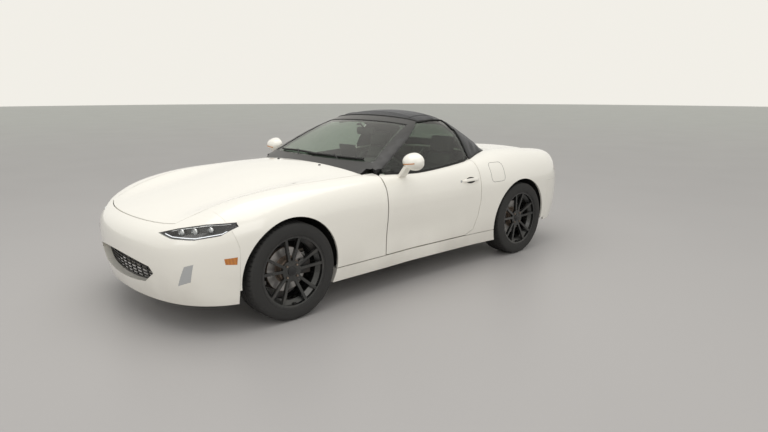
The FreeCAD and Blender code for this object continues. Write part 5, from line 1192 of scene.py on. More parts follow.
class ROADSTER_OT_door_trim(bpy.types.Operator):
    """Builds the door handles, belt strips, mirror glasses and inner door cards"""
    bl_idname = "roadster.door_trim"
    bl_label = "Door trim"

    def execute(self, context):
        for side, sign in BOTH_SIDES:
            body = f"door_{side}"
            door = Skin(f"door_{side}")
            handle_z, handle_x = 0.700, -0.462
            normal = door.hit((handle_x, sign * BESIDE_CAR, handle_z), (0, -sign, 0))[1]
            bar = []
            for share in spread(-1, 1, 25):
                x = handle_x + 0.088 * share
                lift = -0.003 + 0.0235 * (1 - abs(share) ** 5)
                bar.append(door.from_side(x, handle_z + 0.002 * (1 - share * share), sign, lift))

            def grip(s):
                width = 0.62 + 0.38 * smooth(4 * min(s, 1 - s) + 0.25)
                return [(a * width, b) for a, b in rounded(0.0235, 0.0115, 0.0045, 5)]
            Form().sweep(bar, grip, up=normal).piece(
                f"door_handle_{side}", "body", body, "body_paint", angle=50)
            rings = []
            for size, lift in ((1.0, 0.0006), (0.94, 0.0009), (0.6, 0.0009), (0.25, 0.0009)):
                rings.append([
                    door.from_side(handle_x + 0.056 * size * a, handle_z + 0.0245 * size * b, sign, lift)
                    for a, b in circle(1, 40)])
            Form().loft(rings).piece(f"handle_cup_{side}", "dark_plastic", body, "body_paint")
            Form().tube(rings[0], 0.0013, 6, closed=True).piece(
                f"handle_cup_rim_{side}", "body", body, "body_paint")
            spot, facing = door.hit((handle_x + 0.108, sign * BESIDE_CAR, handle_z), (0, -sign, 0))
            Form().lathe(
                [(-0.001, 0.0095), (0.0012, 0.0092), (0.0020, 0.0075), (0.0016, 0.0062), (0.0016, 0.0)],
                spot, facing, 28).piece(f"door_lock_{side}", "satin_trim", body, "body_paint")

            glass = Skin(f"door_glass_{side}")
            line = []
            for x in spread(DOOR_REAR + 0.016, DOOR_FRONT - 0.062, 40):
                line.append(glass.from_side(x, self.lip(door, glass, x, sign) + 0.005, sign, 0.0034))
            Form().sweep(line, [(-0.0115, -0.0032), (0.0085, -0.0030), (0.0075, 0.0016), (0.002, 0.0034),
                                (-0.0100, 0.0040)], up=(0, sign, 0.2)).piece(
                f"belt_strip_{side}", "rubber", body, "dark_plastic", angle=50)

            self.mirror(side, sign, body)
            self.card(side, sign, body)
        return {"FINISHED"}

    def lip(self, door, glass, x, sign):
        """The height where the door's outer panel ends below its glass."""
        for z in spread(BELT_HEIGHT + 0.030, BELT_HEIGHT - 0.050, 241):
            origin, inward = (x, sign * BESIDE_CAR, z), (0, -sign, 0)
            panel, pane = door.hit(origin, inward)[0], glass.hit(origin, inward)[0]
            if abs(panel.y) > abs(pane.y) + 0.001:
                return z
        return BELT_HEIGHT

    def mirror(self, side, sign, body):
        face_x, centre_y, centre_z = 0.2045, 0.8755, 0.904
        rings = []
        for size, depth in ((1.0, 0.0), (0.985, -0.0018), (0.93, -0.0022), (0.5, -0.0034), (0.12, -0.0038)):
            rings.append([(face_x + depth, sign * centre_y + 0.0615 * size * a, centre_z + 0.0345 * size * b)
                          for a, b in rounded(2.0, 2.0, 0.72, 7)])
        Form().loft(rings).piece(f"mirror_glass_{side}", "mirror_glass", body, "mirror_paint", angle=25)
        edge = [(face_x - 0.0008, sign * centre_y + 0.0638 * a, centre_z + 0.0365 * b)
                for a, b in rounded(2.0, 2.0, 0.72, 9)]
        Form().tube(edge, 0.0026, 8, closed=True).piece(
            f"mirror_rim_{side}", "dark_plastic", body, "mirror_paint")
        shell = Skin(f"door_mirror_{side}")
        lamp = []
        for y in spread(0.83, 0.935, 14):
            z = centre_z - 0.018 + 0.012 * (y - 0.83) / 0.1
            lamp.append(shell.hit((0.6, sign * y, z), BEHIND)[0] + AHEAD * 0.0008)
        Form().sweep(lamp, rounded(0.0075, 0.0034, 0.0016, 3), up=AHEAD).piece(
            f"mirror_signal_{side}", "amber", body, "mirror_paint")

    def card(self, side, sign, body):
        """The inner panel with its armrest, pull, opener and speaker."""
        inner = 0.7055
        rear, front, low, high = -0.520, 0.345, 0.330, 0.790
        rows = []
        for share in spread(0, 1, 15):
            z = low + (high - low) * share
            swell = 0.004 + 0.008 * smooth(share * 2.2) + 0.010 * smooth((share - 0.72) * 5)
            row = []
            for x in spread(rear, front, 27):
                pinch = min(1.0, (x - rear) / 0.02, (front - x) / 0.02, share / 0.05, (1 - share) / 0.05)
                row.append((x, sign * (inner - swell * smooth(pinch) - 0.0005), z))
            rows.append(row)
        panel = Form().loft(rows, closed=False).piece(f"door_card_{side}", "leather", body, "cabin_plastic")
        thicken(panel, 0.002, -sign)
        path = [(x, sign * (inner - 0.030 - 0.006 * math.sin(math.pi * s)), 0.585 + 0.030 * smooth(s * 1.2))
                for s, x in zip(spread(0, 1, 20), spread(-0.455, 0.160, 20))]
        rest = Form().sweep(
            path, lambda s: rounded(0.040, 0.034 + 0.012 * math.sin(math.pi * s), 0.013, 5), up=UP)
        rest.piece(f"door_armrest_{side}", "leather", body, "cabin_plastic", levels=1)
        pull = Form()
        line = spline([(0.190, sign * (inner - 0.012), 0.665), (0.196, sign * (inner - 0.034), 0.690),
                       (0.205, sign * (inner - 0.036), 0.735), (0.212, sign * (inner - 0.014), 0.765)], 18)
        pull.tube(line, 0.0085, 12)
        lever = [(0.240, sign * (inner - 0.016), 0.700), (0.262, sign * (inner - 0.022), 0.699),
                 (0.300, sign * (inner - 0.024), 0.697)]
        pull.sweep(spline(lever, 10), rounded(0.007, 0.018, 0.003, 4), up=(0, sign, 0))
        pull.piece(f"door_pull_{side}", "satin_trim", body, "cabin_plastic")
        speaker = Form()
        for radius in (0.070, 0.058, 0.046, 0.034, 0.022, 0.011):
            line = [(0.245 + a, sign * (inner - 0.0115), 0.430 + b) for a, b in circle(radius, 48)]
            speaker.tube(line, 0.0024 if radius > 0.06 else 0.0013, 6, closed=True)
        speaker.piece(f"door_speaker_{side}", "cabin_plastic", body, "cabin_plastic")


# Cloth top, with the size of its even grid, and its bows as (place, height)
CLOTH_GRID = 0.0058
BOWS = [(-0.252, 0.0026), (-0.430, 0.0030), (-0.610, 0.0030)]


class ROADSTER_OT_soft_top(bpy.types.Operator):
    """Builds the cloth top with its bows, folds, seams and lining"""
    bl_idname = "roadster.soft_top"
    bl_label = "Cloth top"

    def execute(self, context):
        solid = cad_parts["soft_top"]
        mesh = solid.data.copy()
        mesh.name = "hood_cloth"
        piece = link("hood_cloth", mesh)
        grid = piece.modifiers.new("Even grid", "REMESH")
        grid.mode = "VOXEL"
        grid.voxel_size = CLOTH_GRID
        calm = piece.modifiers.new("Calm", "CORRECTIVE_SMOOTH")
        calm.iterations = 4
        calm.use_only_smooth = True
        calm.smooth_type = "LENGTH_WEIGHTED"
        shown = bpy.context.evaluated_depsgraph_get()
        even = bpy.data.meshes.new_from_object(piece.evaluated_get(shown))
        piece.modifiers.clear()
        piece.data = even
        normals = [vertex.normal.copy() for vertex in even.vertices]
        for vertex, normal in zip(even.vertices, normals):
            x, y, z = vertex.co
            if normal.dot(Vector((0.25 * (x + 0.4), y * 0.7, 0.6))) > 0.08:
                vertex.co += normal * self.relief(x, y, z)
        even.materials.clear()
        even.materials.append(finish_for("hood"))
        even.materials.append(finish_for("lining"))
        for face in even.polygons:
            out = Vector((0.22 * (face.center.x - HOOD_MIDDLE), face.center.y * 0.8, face.center.z - 0.62))
            face.material_index = int(face.normal.dot(out) < 0)
        even.shade_smooth()
        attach(piece, "chassis")
        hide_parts("soft_top")
        extras = self.seams(piece) + self.hems()
        area = sum(face.area for face in even.polygons if face.material_index == 0)
        return {"FINISHED"}

    def relief(self, x, y, z):
        """How far the cloth stands off: bows, sag between them, ripples and creases."""
        out = abs(y)
        centre = smooth((0.66 - out) / 0.10)
        raise_by = 0.0
        for place, height in BOWS:
            bow_x = place + 0.05 * (y / 0.6) ** 2
            raise_by += height * math.exp(-((x - bow_x) / 0.020) ** 2)
        sag = 0.0022 * math.sin((x + 0.252) / 0.18 * math.pi) ** 2 if x > -0.65 else 0.0
        ripple = 0.0010 * math.sin(x * 62 + 3.1 * math.sin(y * 7)) * smooth((out - 0.30) / 0.25)
        at_rear = smooth((out - 0.42) / 0.2) * smooth((-0.62 - x) / 0.1)
        crease = 0.0016 * math.sin((x + z * 1.4) * 48) * at_rear
        return centre * (raise_by - sag) + ripple + crease

    def hems(self):
        """Rolled edges along the cloth, and the rubber behind the door glasses."""
        def outer(first, second, middle):
            out = Vector((0.3 * (middle.x - HOOD_MIDDLE), middle.y, middle.z - 0.60)).normalized()
            dots = sorted((first.dot(out), second.dot(out)))
            return dots[1] > 0.45 and dots[0] < 0.45
        edge = evened(edge_loops("soft_top", outer)[0], 0.009)
        hem = Form().tube(edge, 0.0052, 8, closed=True)
        section = [(0.006, -0.012), (0.013, 0), (0.014, 0.016), (0.016, 0.030), (0.022, 0.030),
                   (0.020, -0.012)]
        guard = Form()
        for sign in (-1, 1):
            side = [p for p in edge if p.y * sign > 0.40 and -0.62 < p.x < -0.50 and p.z > 0.87]
            side.sort(key=lambda p: p.z)
            inward = Vector((0, -sign * 0.9, -0.25)).normalized()
            guard.loft([[p + inward * a + Vector((b, 0, 0)) for a, b in section] for p in side])
        return [hem.piece("hood_hem", "rubber", "chassis", "hood_cloth"),
                guard.piece("side_seals", "rubber", "chassis", "hood_cloth")]

    def seams(self, piece):
        cloth = [v.co.copy() for v in piece.data.vertices]
        tree = BVHTree.FromPolygons(cloth, [tuple(f.vertices) for f in piece.data.polygons])

        def above(x, y, lift):
            place, normal, _, _ = tree.ray_cast(Vector((x, y, ABOVE_CAR)), DOWN)
            return place + normal * lift if place else None

        tapes, stitches = Form(), Form()
        for sign in (-1, 1):
            line = []
            for x in spread(-0.176, -0.905, 84):
                y = sign * (0.402 + 0.110 * smooth((-0.30 - x) / 0.62))
                spot = above(x, y, 0.0004)
                if spot and (not line or (spot - line[-1]).length < 0.05):
                    line.append(spot)
            for _ in range(6):
                calm = [(a + b * 2 + c) / 4 for a, b, c in zip(line, line[1:], line[2:])]
                line = [line[0], *calm, line[-1]]
            ups = []
            for i in range(len(line)):
                ahead = line[min(i + 1, len(line) - 1)] - line[max(i - 1, 0)]
                out = Vector((0.3 * (line[i].x - HOOD_MIDDLE), line[i].y * 0.8, line[i].z - 0.60))
                ups.append((out - ahead * (out.dot(ahead) / ahead.length_squared)).normalized())
            tape = [(-0.008, -0.002), (0.008, -0.002), (0.0076, 0.0010), (-0.0076, 0.0010)]
            tapes.sweep(line, tape, up=ups)
            for offset in (-0.0055, 0.0055):
                row = []
                for i, p in enumerate(line):
                    ahead = (line[min(i + 1, len(line) - 1)] - line[max(i - 1, 0)]).normalized()
                    row.append(p + ups[i].cross(ahead) * offset + ups[i] * 0.0011)
                self.row_of_stitches(stitches, row)
        made = [tapes.piece("hood_seam_tapes", "hood", "chassis", "hood_cloth"),
                stitches.piece("hood_stitches", "hood", "chassis", "hood_cloth")]

        window = Skin("rear_window")
        corners = [(-0.350, 0.952), (-0.326, 0.932), (0.326, 0.932), (0.350, 0.952), (0.304, 1.084),
                   (0.274, 1.106), (-0.274, 1.106), (-0.304, 1.084)]
        edge = [Vector((0, y, z)) for y, z in corners]
        ring = []
        for i, corner in enumerate(edge):
            after = edge[(i + 1) % len(edge)]
            count = max(2, int((after - corner).length / 0.016))
            ring.extend(corner.lerp(after, k / count) for k in range(count))
        seal = [window.hit((-1.6, p.y * 0.995, 1.02 + (p.z - 1.02) * 0.985), AHEAD)[0] for p in ring]
        section = [(-0.012, -0.001), (-0.011, 0.0035), (-0.004, 0.0052), (0.006, 0.0048), (0.0085, 0.0020),
                   (0.0085, -0.001)]
        made.append(Form().sweep(evened(seal, 0.010), section, up=(-0.75, 0, 0.66), closed=True).piece(
            "rear_window_seal", "rubber", "chassis", "hood_cloth", angle=50))
        lines = Form()
        for z in spread(0.948, 1.090, 12):
            reach = 0.318 - 0.05 * (z - 0.948) / 0.142
            row = [window.hit((-1.6, y, z), AHEAD)[0] + Vector((0.006, 0, -0.002))
                   for y in spread(-reach, reach, 18)]
            lines.tube(row, 0.00045, 4)
        lines.piece("rear_window_heater", "copper", "chassis", "glazing")
        return made

    def row_of_stitches(self, form, line, pitch=0.0065, size=0.00055):
        for a, b in zip(line, line[1:]):
            count = max(1, int((b - a).length / pitch))
            for k in range(count):
                start, end = a.lerp(b, k / count), a.lerp(b, (k + 0.68) / count)
                form.tube([start, start.lerp(end, 0.5) + UP * (size * 0.6), end], size, 4)


# Cabin
class ROADSTER_OT_seats(bpy.types.Operator):
    """Builds the two seats: cushions, bolsters, backs and head rests with sewn seams"""
    bl_idname = "roadster.seats"
    bl_label = "Seats"

    def execute(self, context):
        for side, sign in BOTH_SIDES:
            self.seat(side, sign)
        return {"FINISHED"}

    def pad(self, name, rows, fill):
        """A closed soft form from cross-sections."""
        piece = Form().loft(rows).piece(name, "leather", "chassis", "seat_leather", angle=180, levels=1)
        return piece

    def section(self, centre, along, up, width, height, crown, count=26):
        """A cushion's cross-section: crowned above and tighter below."""
        ring = []
        for i in range(count):
            angle = 2 * math.pi * i / count
            a, b = math.cos(angle), math.sin(angle)
            sa = math.copysign(abs(a) ** 0.55, a)
            sb = math.copysign(abs(b) ** 0.62, b)
            lift = crown * (1 - sa * sa) if b > 0 else 0.0
            ring.append(centre + along * (sa * width / 2) + up * (sb * height / 2 + lift))
        return ring

    def channelled(self, name, path, width, height, channels, fill, crown=0.012, facing=1):
        """A pad along a path with sewn channels across it."""
        line = spline(path, 64)
        across = LEFT
        rings = []
        last = len(line) - 1
        for i, place in enumerate(line):
            ahead = (line[min(last, i + 1)] - line[max(0, i - 1)]).normalized()
            up = ahead.cross(across).normalized() * facing
            share = i / last
            end = min(1.0, math.sin(math.pi * share) * 5.5)
            taper = max(0.28, end ** 0.5)
            groove = sum(math.exp(-((share - channel) / 0.010) ** 2) for channel in channels)
            wide = width(share) if callable(width) else width
            rings.append(self.section(
                place - up * (0.0045 * groove), across, up, wide * (0.90 + 0.10 * taper), height * taper,
                crown * taper * (1 - 0.8 * groove)))
        return self.pad(name, rings, fill)

    def seat(self, side, sign):
        y = sign * SEAT_MIDDLE
        cushion = self.channelled(
            f"seat_cushion_{side}",
            [(-0.410, y, 0.330), (-0.30, y, 0.338), (-0.14, y, 0.352), (-0.02, y, 0.365), (0.035, y, 0.352)],
            0.335, 0.085, [0.22, 0.36, 0.50, 0.64, 0.78], 0.7)
        back = self.channelled(
            f"seat_back_{side}",
            [(-0.420, y, 0.350), (-0.452, y, 0.470), (-0.515, y, 0.620), (-0.578, y, 0.770),
             (-0.618, y, 0.880)],
            lambda s: 0.325 - 0.075 * smooth((s - 0.5) * 2), 0.105, [0.20, 0.34, 0.48, 0.62, 0.76], 0.7,
            facing=-1)
        for name, edge in (("inner", -sign), ("outer", sign)):
            low = [(-0.395, 0.350), (-0.25, 0.366), (-0.08, 0.378), (0.015, 0.374)]
            path = [(px, y + edge * 0.196, pz) for px, pz in low]
            self.bolster(f"seat_side_{name}_{side}", path, 0.064, 0.098, edge)
            high = [(-0.375, 0.400), (-0.415, 0.500), (-0.475, 0.630), (-0.545, 0.745), (-0.590, 0.812)]
            path = [(px, y + edge * (0.190 - 0.022 * smooth((pz - 0.6) / 0.2)), pz) for px, pz in high]
            self.bolster(f"back_side_{name}_{side}", path, 0.066, 0.120, edge)
        rest = []
        for share in spread(0, 1, 22):
            z = 0.872 + 0.140 * share
            x = -0.602 - 0.020 * share
            end = max(0.22, min(1.0, math.sin(math.pi * share) * 3.2)) ** 0.5
            crease = math.exp(-((share - 0.18) / 0.03) ** 2)
            width, depth = 0.232 * (0.86 + 0.14 * end), 0.088 * end * (1 - 0.1 * crease)
            rest.append(self.section(
                Vector((x, y, z)), LEFT, Vector((1, 0, 0.12)), width, depth, 0.006 * end))
        self.pad(f"head_rest_{side}", rest, 0.8)
        outline = [(-0.455, 0, 0.300), (-0.500, 0, 0.420), (-0.568, 0, 0.600), (-0.625, 0, 0.760),
                   (-0.665, 0, 0.880), (-0.672, 0, 0.960)]
        rows = []
        for p in spline(outline, 24):
            taper = 0.205 - 0.080 * smooth((p.z - 0.62) / 0.30)
            rows.append([(p.x + 0.012 + 0.050 * (abs(s) ** 4), y + s * taper, p.z)
                         for s in spread(-1, 1, 15)])
        thicken(Form().loft(rows, closed=False).piece(
            f"seat_shell_{side}", "cabin_plastic", "chassis", "seat_leather", levels=1), 0.005)
        base = Form()
        for edge in (-1, 1):
            rail = y + edge * 0.185
            base.sweep([(-0.415, rail, 0.2365), (0.005, rail, 0.2365)],
                       rounded(0.034, 0.036, 0.004, 3), up=UP)
            for px in (-0.36, -0.05):
                base.sweep([(px, rail, 0.250), (px + 0.02, rail - edge * 0.01, 0.330)],
                           rounded(0.030, 0.012, 0.004, 3), up=AHEAD)
            for px in (-0.408, -0.002):
                base.lathe([(0.0, 0.011), (0.007, 0.011), (0.008, 0.006), (0.008, 0.0)],
                           (px, rail, 0.2545), UP, 6)
        base.sweep([(-0.20, y - 0.19, 0.286), (-0.20, y + 0.19, 0.286)],
                   rounded(0.33, 0.012, 0.004, 3), up=UP)
        base.piece(f"seat_frame_{side}", "structure", "chassis", "seat_leather", bevel=0.001)
        lever = [(-0.17, y + sign * 0.238, 0.300), (-0.07, y + sign * 0.240, 0.296),
                 (-0.01, y + sign * 0.238, 0.290)]
        handle = Form().sweep(spline(lever, 12), rounded(0.012, 0.026, 0.005, 4), up=UP)
        handle.piece(f"seat_lever_{side}", "cabin_plastic", "chassis", "seat_leather")
        if side == "left":
            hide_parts("seats")
        else:
            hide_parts("seats")
        self.stitches(side, y)

    def bolster(self, name, path, width, height, edge):
        line = spline(path, 40)
        rings = []
        last = len(line) - 1
        for i, place in enumerate(line):
            ahead = (line[min(last, i + 1)] - line[max(0, i - 1)]).normalized()
            across = LEFT
            up = ahead.cross(across).normalized()
            end = max(0.20, min(1.0, math.sin(math.pi * i / last) * 3.4)) ** 0.5
            crease = 0.0014 * math.sin(i * 1.7) + 0.0008 * math.sin(i * 3.9 + 1)
            rings.append(self.section(place + across * (crease * edge), across, up, width * (0.7 + 0.3 * end),
                                      height * end, 0.004 * end, count=20))
        return self.pad(name, rings, 0.75)

    def stitches(self, side, y):
        form = Form()
        for offset in (-0.150, -0.157, 0.150, 0.157):
            seam = [(-0.37, y + offset, 0.381), (-0.25, y + offset, 0.390), (-0.10, y + offset, 0.403),
                    (0.0, y + offset, 0.410)]
            line = spline(seam, 40)
            for a, b in zip(line, line[1:]):
                form.tube([a, a.lerp(b, 0.6)], 0.0007, 4)
        form.piece(f"seat_stitches_{side}", "thread", "chassis", "seat_leather")


class ROADSTER_OT_dashboard(bpy.types.Operator):
    """Builds the dials, vents, screen, switches, glovebox line and column covers"""
    bl_idname = "roadster.dashboard"
    bl_label = "Dashboard"

    def execute(self, context):
        skin = Skin("dashboard")
        self.dials()
        self.vents(skin)
        self.centre(skin)
        self.top(skin)
        self.column()
        return {"FINISHED"}

    def dials(self):
        """Three dials with plain numbers, under the hood, facing the driver."""
        faces, rings, marks, needles = Form(), Form(), Form(), Form()
        facing = Vector((-0.94, 0, 0.34)).normalized()
        side = LEFT
        top = facing.cross(side).normalized()
        if top.z < 0:
            top = -top
        for offset, radius, count, lean in (
            (0.0, 0.052, 9, -0.5), (0.100, 0.040, 7, 0.4), (-0.100, 0.040, 5, 0.1),
        ):
            middle = Vector((DIALS_X, SEAT_MIDDLE + offset, 0.818)) - facing * 0.004
            faces.lathe([(-0.004, 0.0), (0.0, radius * 0.2), (0.0004, radius)], middle, facing, 48)
            rings.lathe([(-0.002, radius * 1.00), (0.010, radius * 1.06), (0.012, radius * 1.12),
                         (0.008, radius * 1.16), (-0.004, radius * 1.16)], middle, facing, 56, hollow=True)
            for i in range(count):
                angle = math.radians(225 - 270 * i / (count - 1))
                out = -side * math.cos(angle) + top * math.sin(angle)
                place = middle + facing * 0.0012
                marks.tube([place + out * radius * 0.84, place + out * radius * 0.95], 0.0007, 4)
                if i + 1 < count:
                    for step in (0.25, 0.5, 0.75):
                        minor = math.radians(225 - 270 * (i + step) / (count - 1))
                        lead = -side * math.cos(minor) + top * math.sin(minor)
                        marks.tube([place + lead * radius * 0.90, place + lead * radius * 0.95], 0.0004, 4)
                self.number(str(i), place + out * radius * 0.69, side, top, facing, radius * 0.17)
            angle = math.radians(90 + lean * 180)
            out = -side * math.cos(angle) + top * math.sin(angle)
            hub = middle + facing * 0.0035
            needles.tube([hub - out * radius * 0.12, hub + out * radius * 0.8],
                         lambda s: 0.0011 - 0.0007 * s, 6)
            rings.lathe([(0.0, 0.0065), (0.0052, 0.006), (0.006, 0.0)], middle, facing, 24)
        faces.piece("dial_faces", "dial_face", "chassis", "cabin_plastic")
        rings.piece("dial_rings", "satin_trim", "chassis", "cabin_plastic", angle=50)
        marks.piece("dial_marks", "dial_white", "chassis", "cabin_plastic")
        needles.piece("dial_needles", "needle", "chassis", "cabin_plastic")
        plate = Form()
        outline = []
        for a, b in rounded(0.320, 0.100, 0.040, 7):
            outline.append(Vector((DIALS_X, SEAT_MIDDLE, 0.812)) + side * a + top * b - facing * 0.006)
        plate.slab(outline, -facing * 0.006)
        plate.piece("dial_board", "dial_face", "chassis", "cabin_plastic")

    def number(self, text, place, side, top, facing, size):
        curve = bpy.data.curves.new("dial_number", "FONT")
        curve.body = text
        curve.size = size * 1.5
        curve.align_x = "CENTER"
        curve.align_y = "CENTER"
        curve.extrude = 0.0002
        letters = link(f"dial_number_{text}_{round(place.y * 1e4)}", curve)
        turn = Matrix((-side, top, facing)).transposed().to_4x4()
        letters.matrix_world = Matrix.Translation(place) @ turn
        shown = bpy.context.evaluated_depsgraph_get()
        mesh = bpy.data.meshes.new_from_object(letters.evaluated_get(shown))
        mesh.transform(letters.matrix_world)
        name = letters.name
        bpy.data.objects.remove(letters)
        mesh.materials.clear()
        mesh.materials.append(finish_for("dial_white"))
        piece = link(name, mesh)
        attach(piece, "chassis")

    def vents(self, skin):
        """Round air vents with their rings and blades."""
        rings, blades, wells = Form(), Form(), Form()
        for y, z in ((0.590, 0.745), (-0.590, 0.745), (0.155, 0.765), (-0.155, 0.765)):
            spot, _ = skin.hit((IN_CABIN, y, z), AHEAD)
            out = Vector((-1, 0, 0.12)).normalized()
            rings.lathe([(-0.003, 0.030), (0.007, 0.031), (0.010, 0.035), (0.009, 0.0395), (0.003, 0.0415),
                         (-0.006, 0.0415)], spot, out, 48, hollow=True)
            wells.lathe([(0.0012, 0.0), (0.0008, 0.031)], spot, out, 32)
            for height in spread(-0.021, 0.021, 5):
                reach = math.sqrt(0.030 ** 2 - height ** 2)
                path = [spot + Vector((-0.005, -reach, height)), spot + Vector((-0.005, reach, height))]
                blades.sweep(path, rounded(0.010, 0.0022, 0.001, 3), up=(0.35, 0, 1))
            blades.lathe([(0.0, 0.006), (0.010, 0.0055), (0.012, 0.0)], spot, out, 20)
        rings.piece("vent_rings", "satin_trim", "chassis", "cabin_plastic", angle=50)
        blades.piece("vent_blades", "gloss_black", "chassis", "cabin_plastic")
        wells.piece("vent_wells", "dial_face", "chassis", "cabin_plastic")

    def centre(self, skin):
        """The switch panel and the dark screen above it."""
        knobs, screen, rims, buttons = Form(), Form(), Form(), Form()
        for y in (-0.060, 0.0, 0.060):
            spot, normal = skin.hit((IN_CABIN, y, 0.690), AHEAD)
            knobs.lathe([(-0.004, 0.0215), (0.004, 0.0215), (0.006, 0.0185), (0.018, 0.0172),
                         (0.0205, 0.0160), (0.0205, 0.0)], spot, normal, 40)
            rims.lathe([(0.0, 0.0225), (0.0045, 0.0230), (0.0045, 0.0250), (0.0, 0.0255)],
                       spot, normal, 48, hollow=True)
            mark = spot + normal * 0.0207
            knobs.tube([mark + UP * 0.006, mark + UP * 0.015], 0.0009, 4)
        knobs.piece("heater_knobs", "cabin_plastic", "chassis", "cabin_plastic", angle=40)
        rims.piece("heater_rims", "satin_trim", "chassis", "cabin_plastic", angle=40)
        for y in spread(-0.060, 0.060, 5):
            spot, normal = skin.hit((IN_CABIN, y, 0.732), AHEAD)
            side = LEFT
            top = normal.cross(side)
            outline = [spot + side * a + top * b - normal * 0.002
                       for a, b in rounded(0.0215, 0.011, 0.003, 4)]
            buttons.slab(outline, normal * 0.0048)
        buttons.piece("heater_buttons", "gloss_black", "chassis", "cabin_plastic", bevel=0.0006)
        middle = Vector((0.098, 0.0, 0.905))
        facing = Vector((-0.97, 0, 0.24)).normalized()
        side, top = LEFT, Vector((0.24, 0, 0.97)).normalized()
        outline = [middle + side * a + top * b for a, b in rounded(0.190, 0.108, 0.012, 6)]
        screen.slab(outline, facing * 0.011)
        foot = [middle + side * a - top * 0.05 - facing * b for a, b in rounded(0.09, 0.02, 0.006, 4)]
        screen.slab(foot, -top * 0.022)
        screen.piece("dash_screen", "gloss_black", "chassis", "cabin_plastic", bevel=0.0012)

    def top(self, skin):
        """Stitches along the board, a metal band and the glovebox's line."""
        seam, band = Form(), Form()
        for offset in (0.0, 0.007):
            line = [skin.from_above(0.155 + offset, y, 0.0006) for y in spread(-0.625, 0.200, 110)]
            for a, b in zip(line, line[1:]):
                seam.tube([a, a.lerp(b, 0.62)], 0.0007, 4)
        seam.piece("dash_stitches", "thread", "chassis", "cabin_plastic")
        rows = []
        for z, lift in ((0.722, 0.0004), (0.727, 0.0025), (0.733, 0.0025), (0.739, 0.0025), (0.744, 0.0004)):
            rows.append([skin.hit((IN_CABIN, y, z), AHEAD)[0] - AHEAD * lift
                         for y in spread(-0.520, -0.200, 24)])
        band.loft(rows, closed=False)
        band.piece("dash_band", "satin_trim", "chassis", "cabin_plastic")
        corners = [(-0.22, 0.700), (-0.52, 0.700), (-0.535, 0.690), (-0.530, 0.655), (-0.50, 0.640),
                   (-0.24, 0.640), (-0.215, 0.652), (-0.212, 0.690)]
        line = spline([(IN_CABIN, y, z) for y, z in corners], 90, closed=True)
        path = [skin.hit(p, AHEAD)[0] for p in line]
        Form().tube(path, 0.0011, 6, closed=True).piece("glovebox_line", "rubber", "chassis", "cabin_plastic")

    def column(self):
        """The column's shroud and its two stalks."""
        axis = Vector((-math.cos(COLUMN_TILT), 0, math.sin(COLUMN_TILT)))
        side = LEFT
        top = axis.cross(side).normalized()
        if top.z < 0:
            top = -top
        shroud = Form()
        rings = []
        for along, wide, tall in ((-0.185, 0.088, 0.070), (-0.180, 0.100, 0.084), (-0.120, 0.104, 0.092),
                                  (-0.072, 0.098, 0.088), (-0.060, 0.090, 0.080)):
            rings.append([WHEEL_CENTRE + axis * along + side * a + top * (b - 0.004)
                          for a, b in rounded(wide, tall, 0.026, 6)])
        shroud.loft(rings)
        shroud.piece("column_shroud", "cabin_plastic", "chassis", "cabin_plastic", angle=40)
        stalks = Form()
        for edge in (-1, 1):
            root = WHEEL_CENTRE + axis * -0.098 + side * (edge * 0.046)
            tip = root + side * (edge * 0.115) + top * 0.020 + axis * 0.012
            path = spline([root, root + side * (edge * 0.050) + top * 0.006, tip], 20)
            stalks.tube(path, lambda s: 0.0052 + 0.0030 * smooth((s - 0.45) * 3), 10)
        stalks.piece("column_stalks", "cabin_plastic", "chassis", "cabin_plastic")


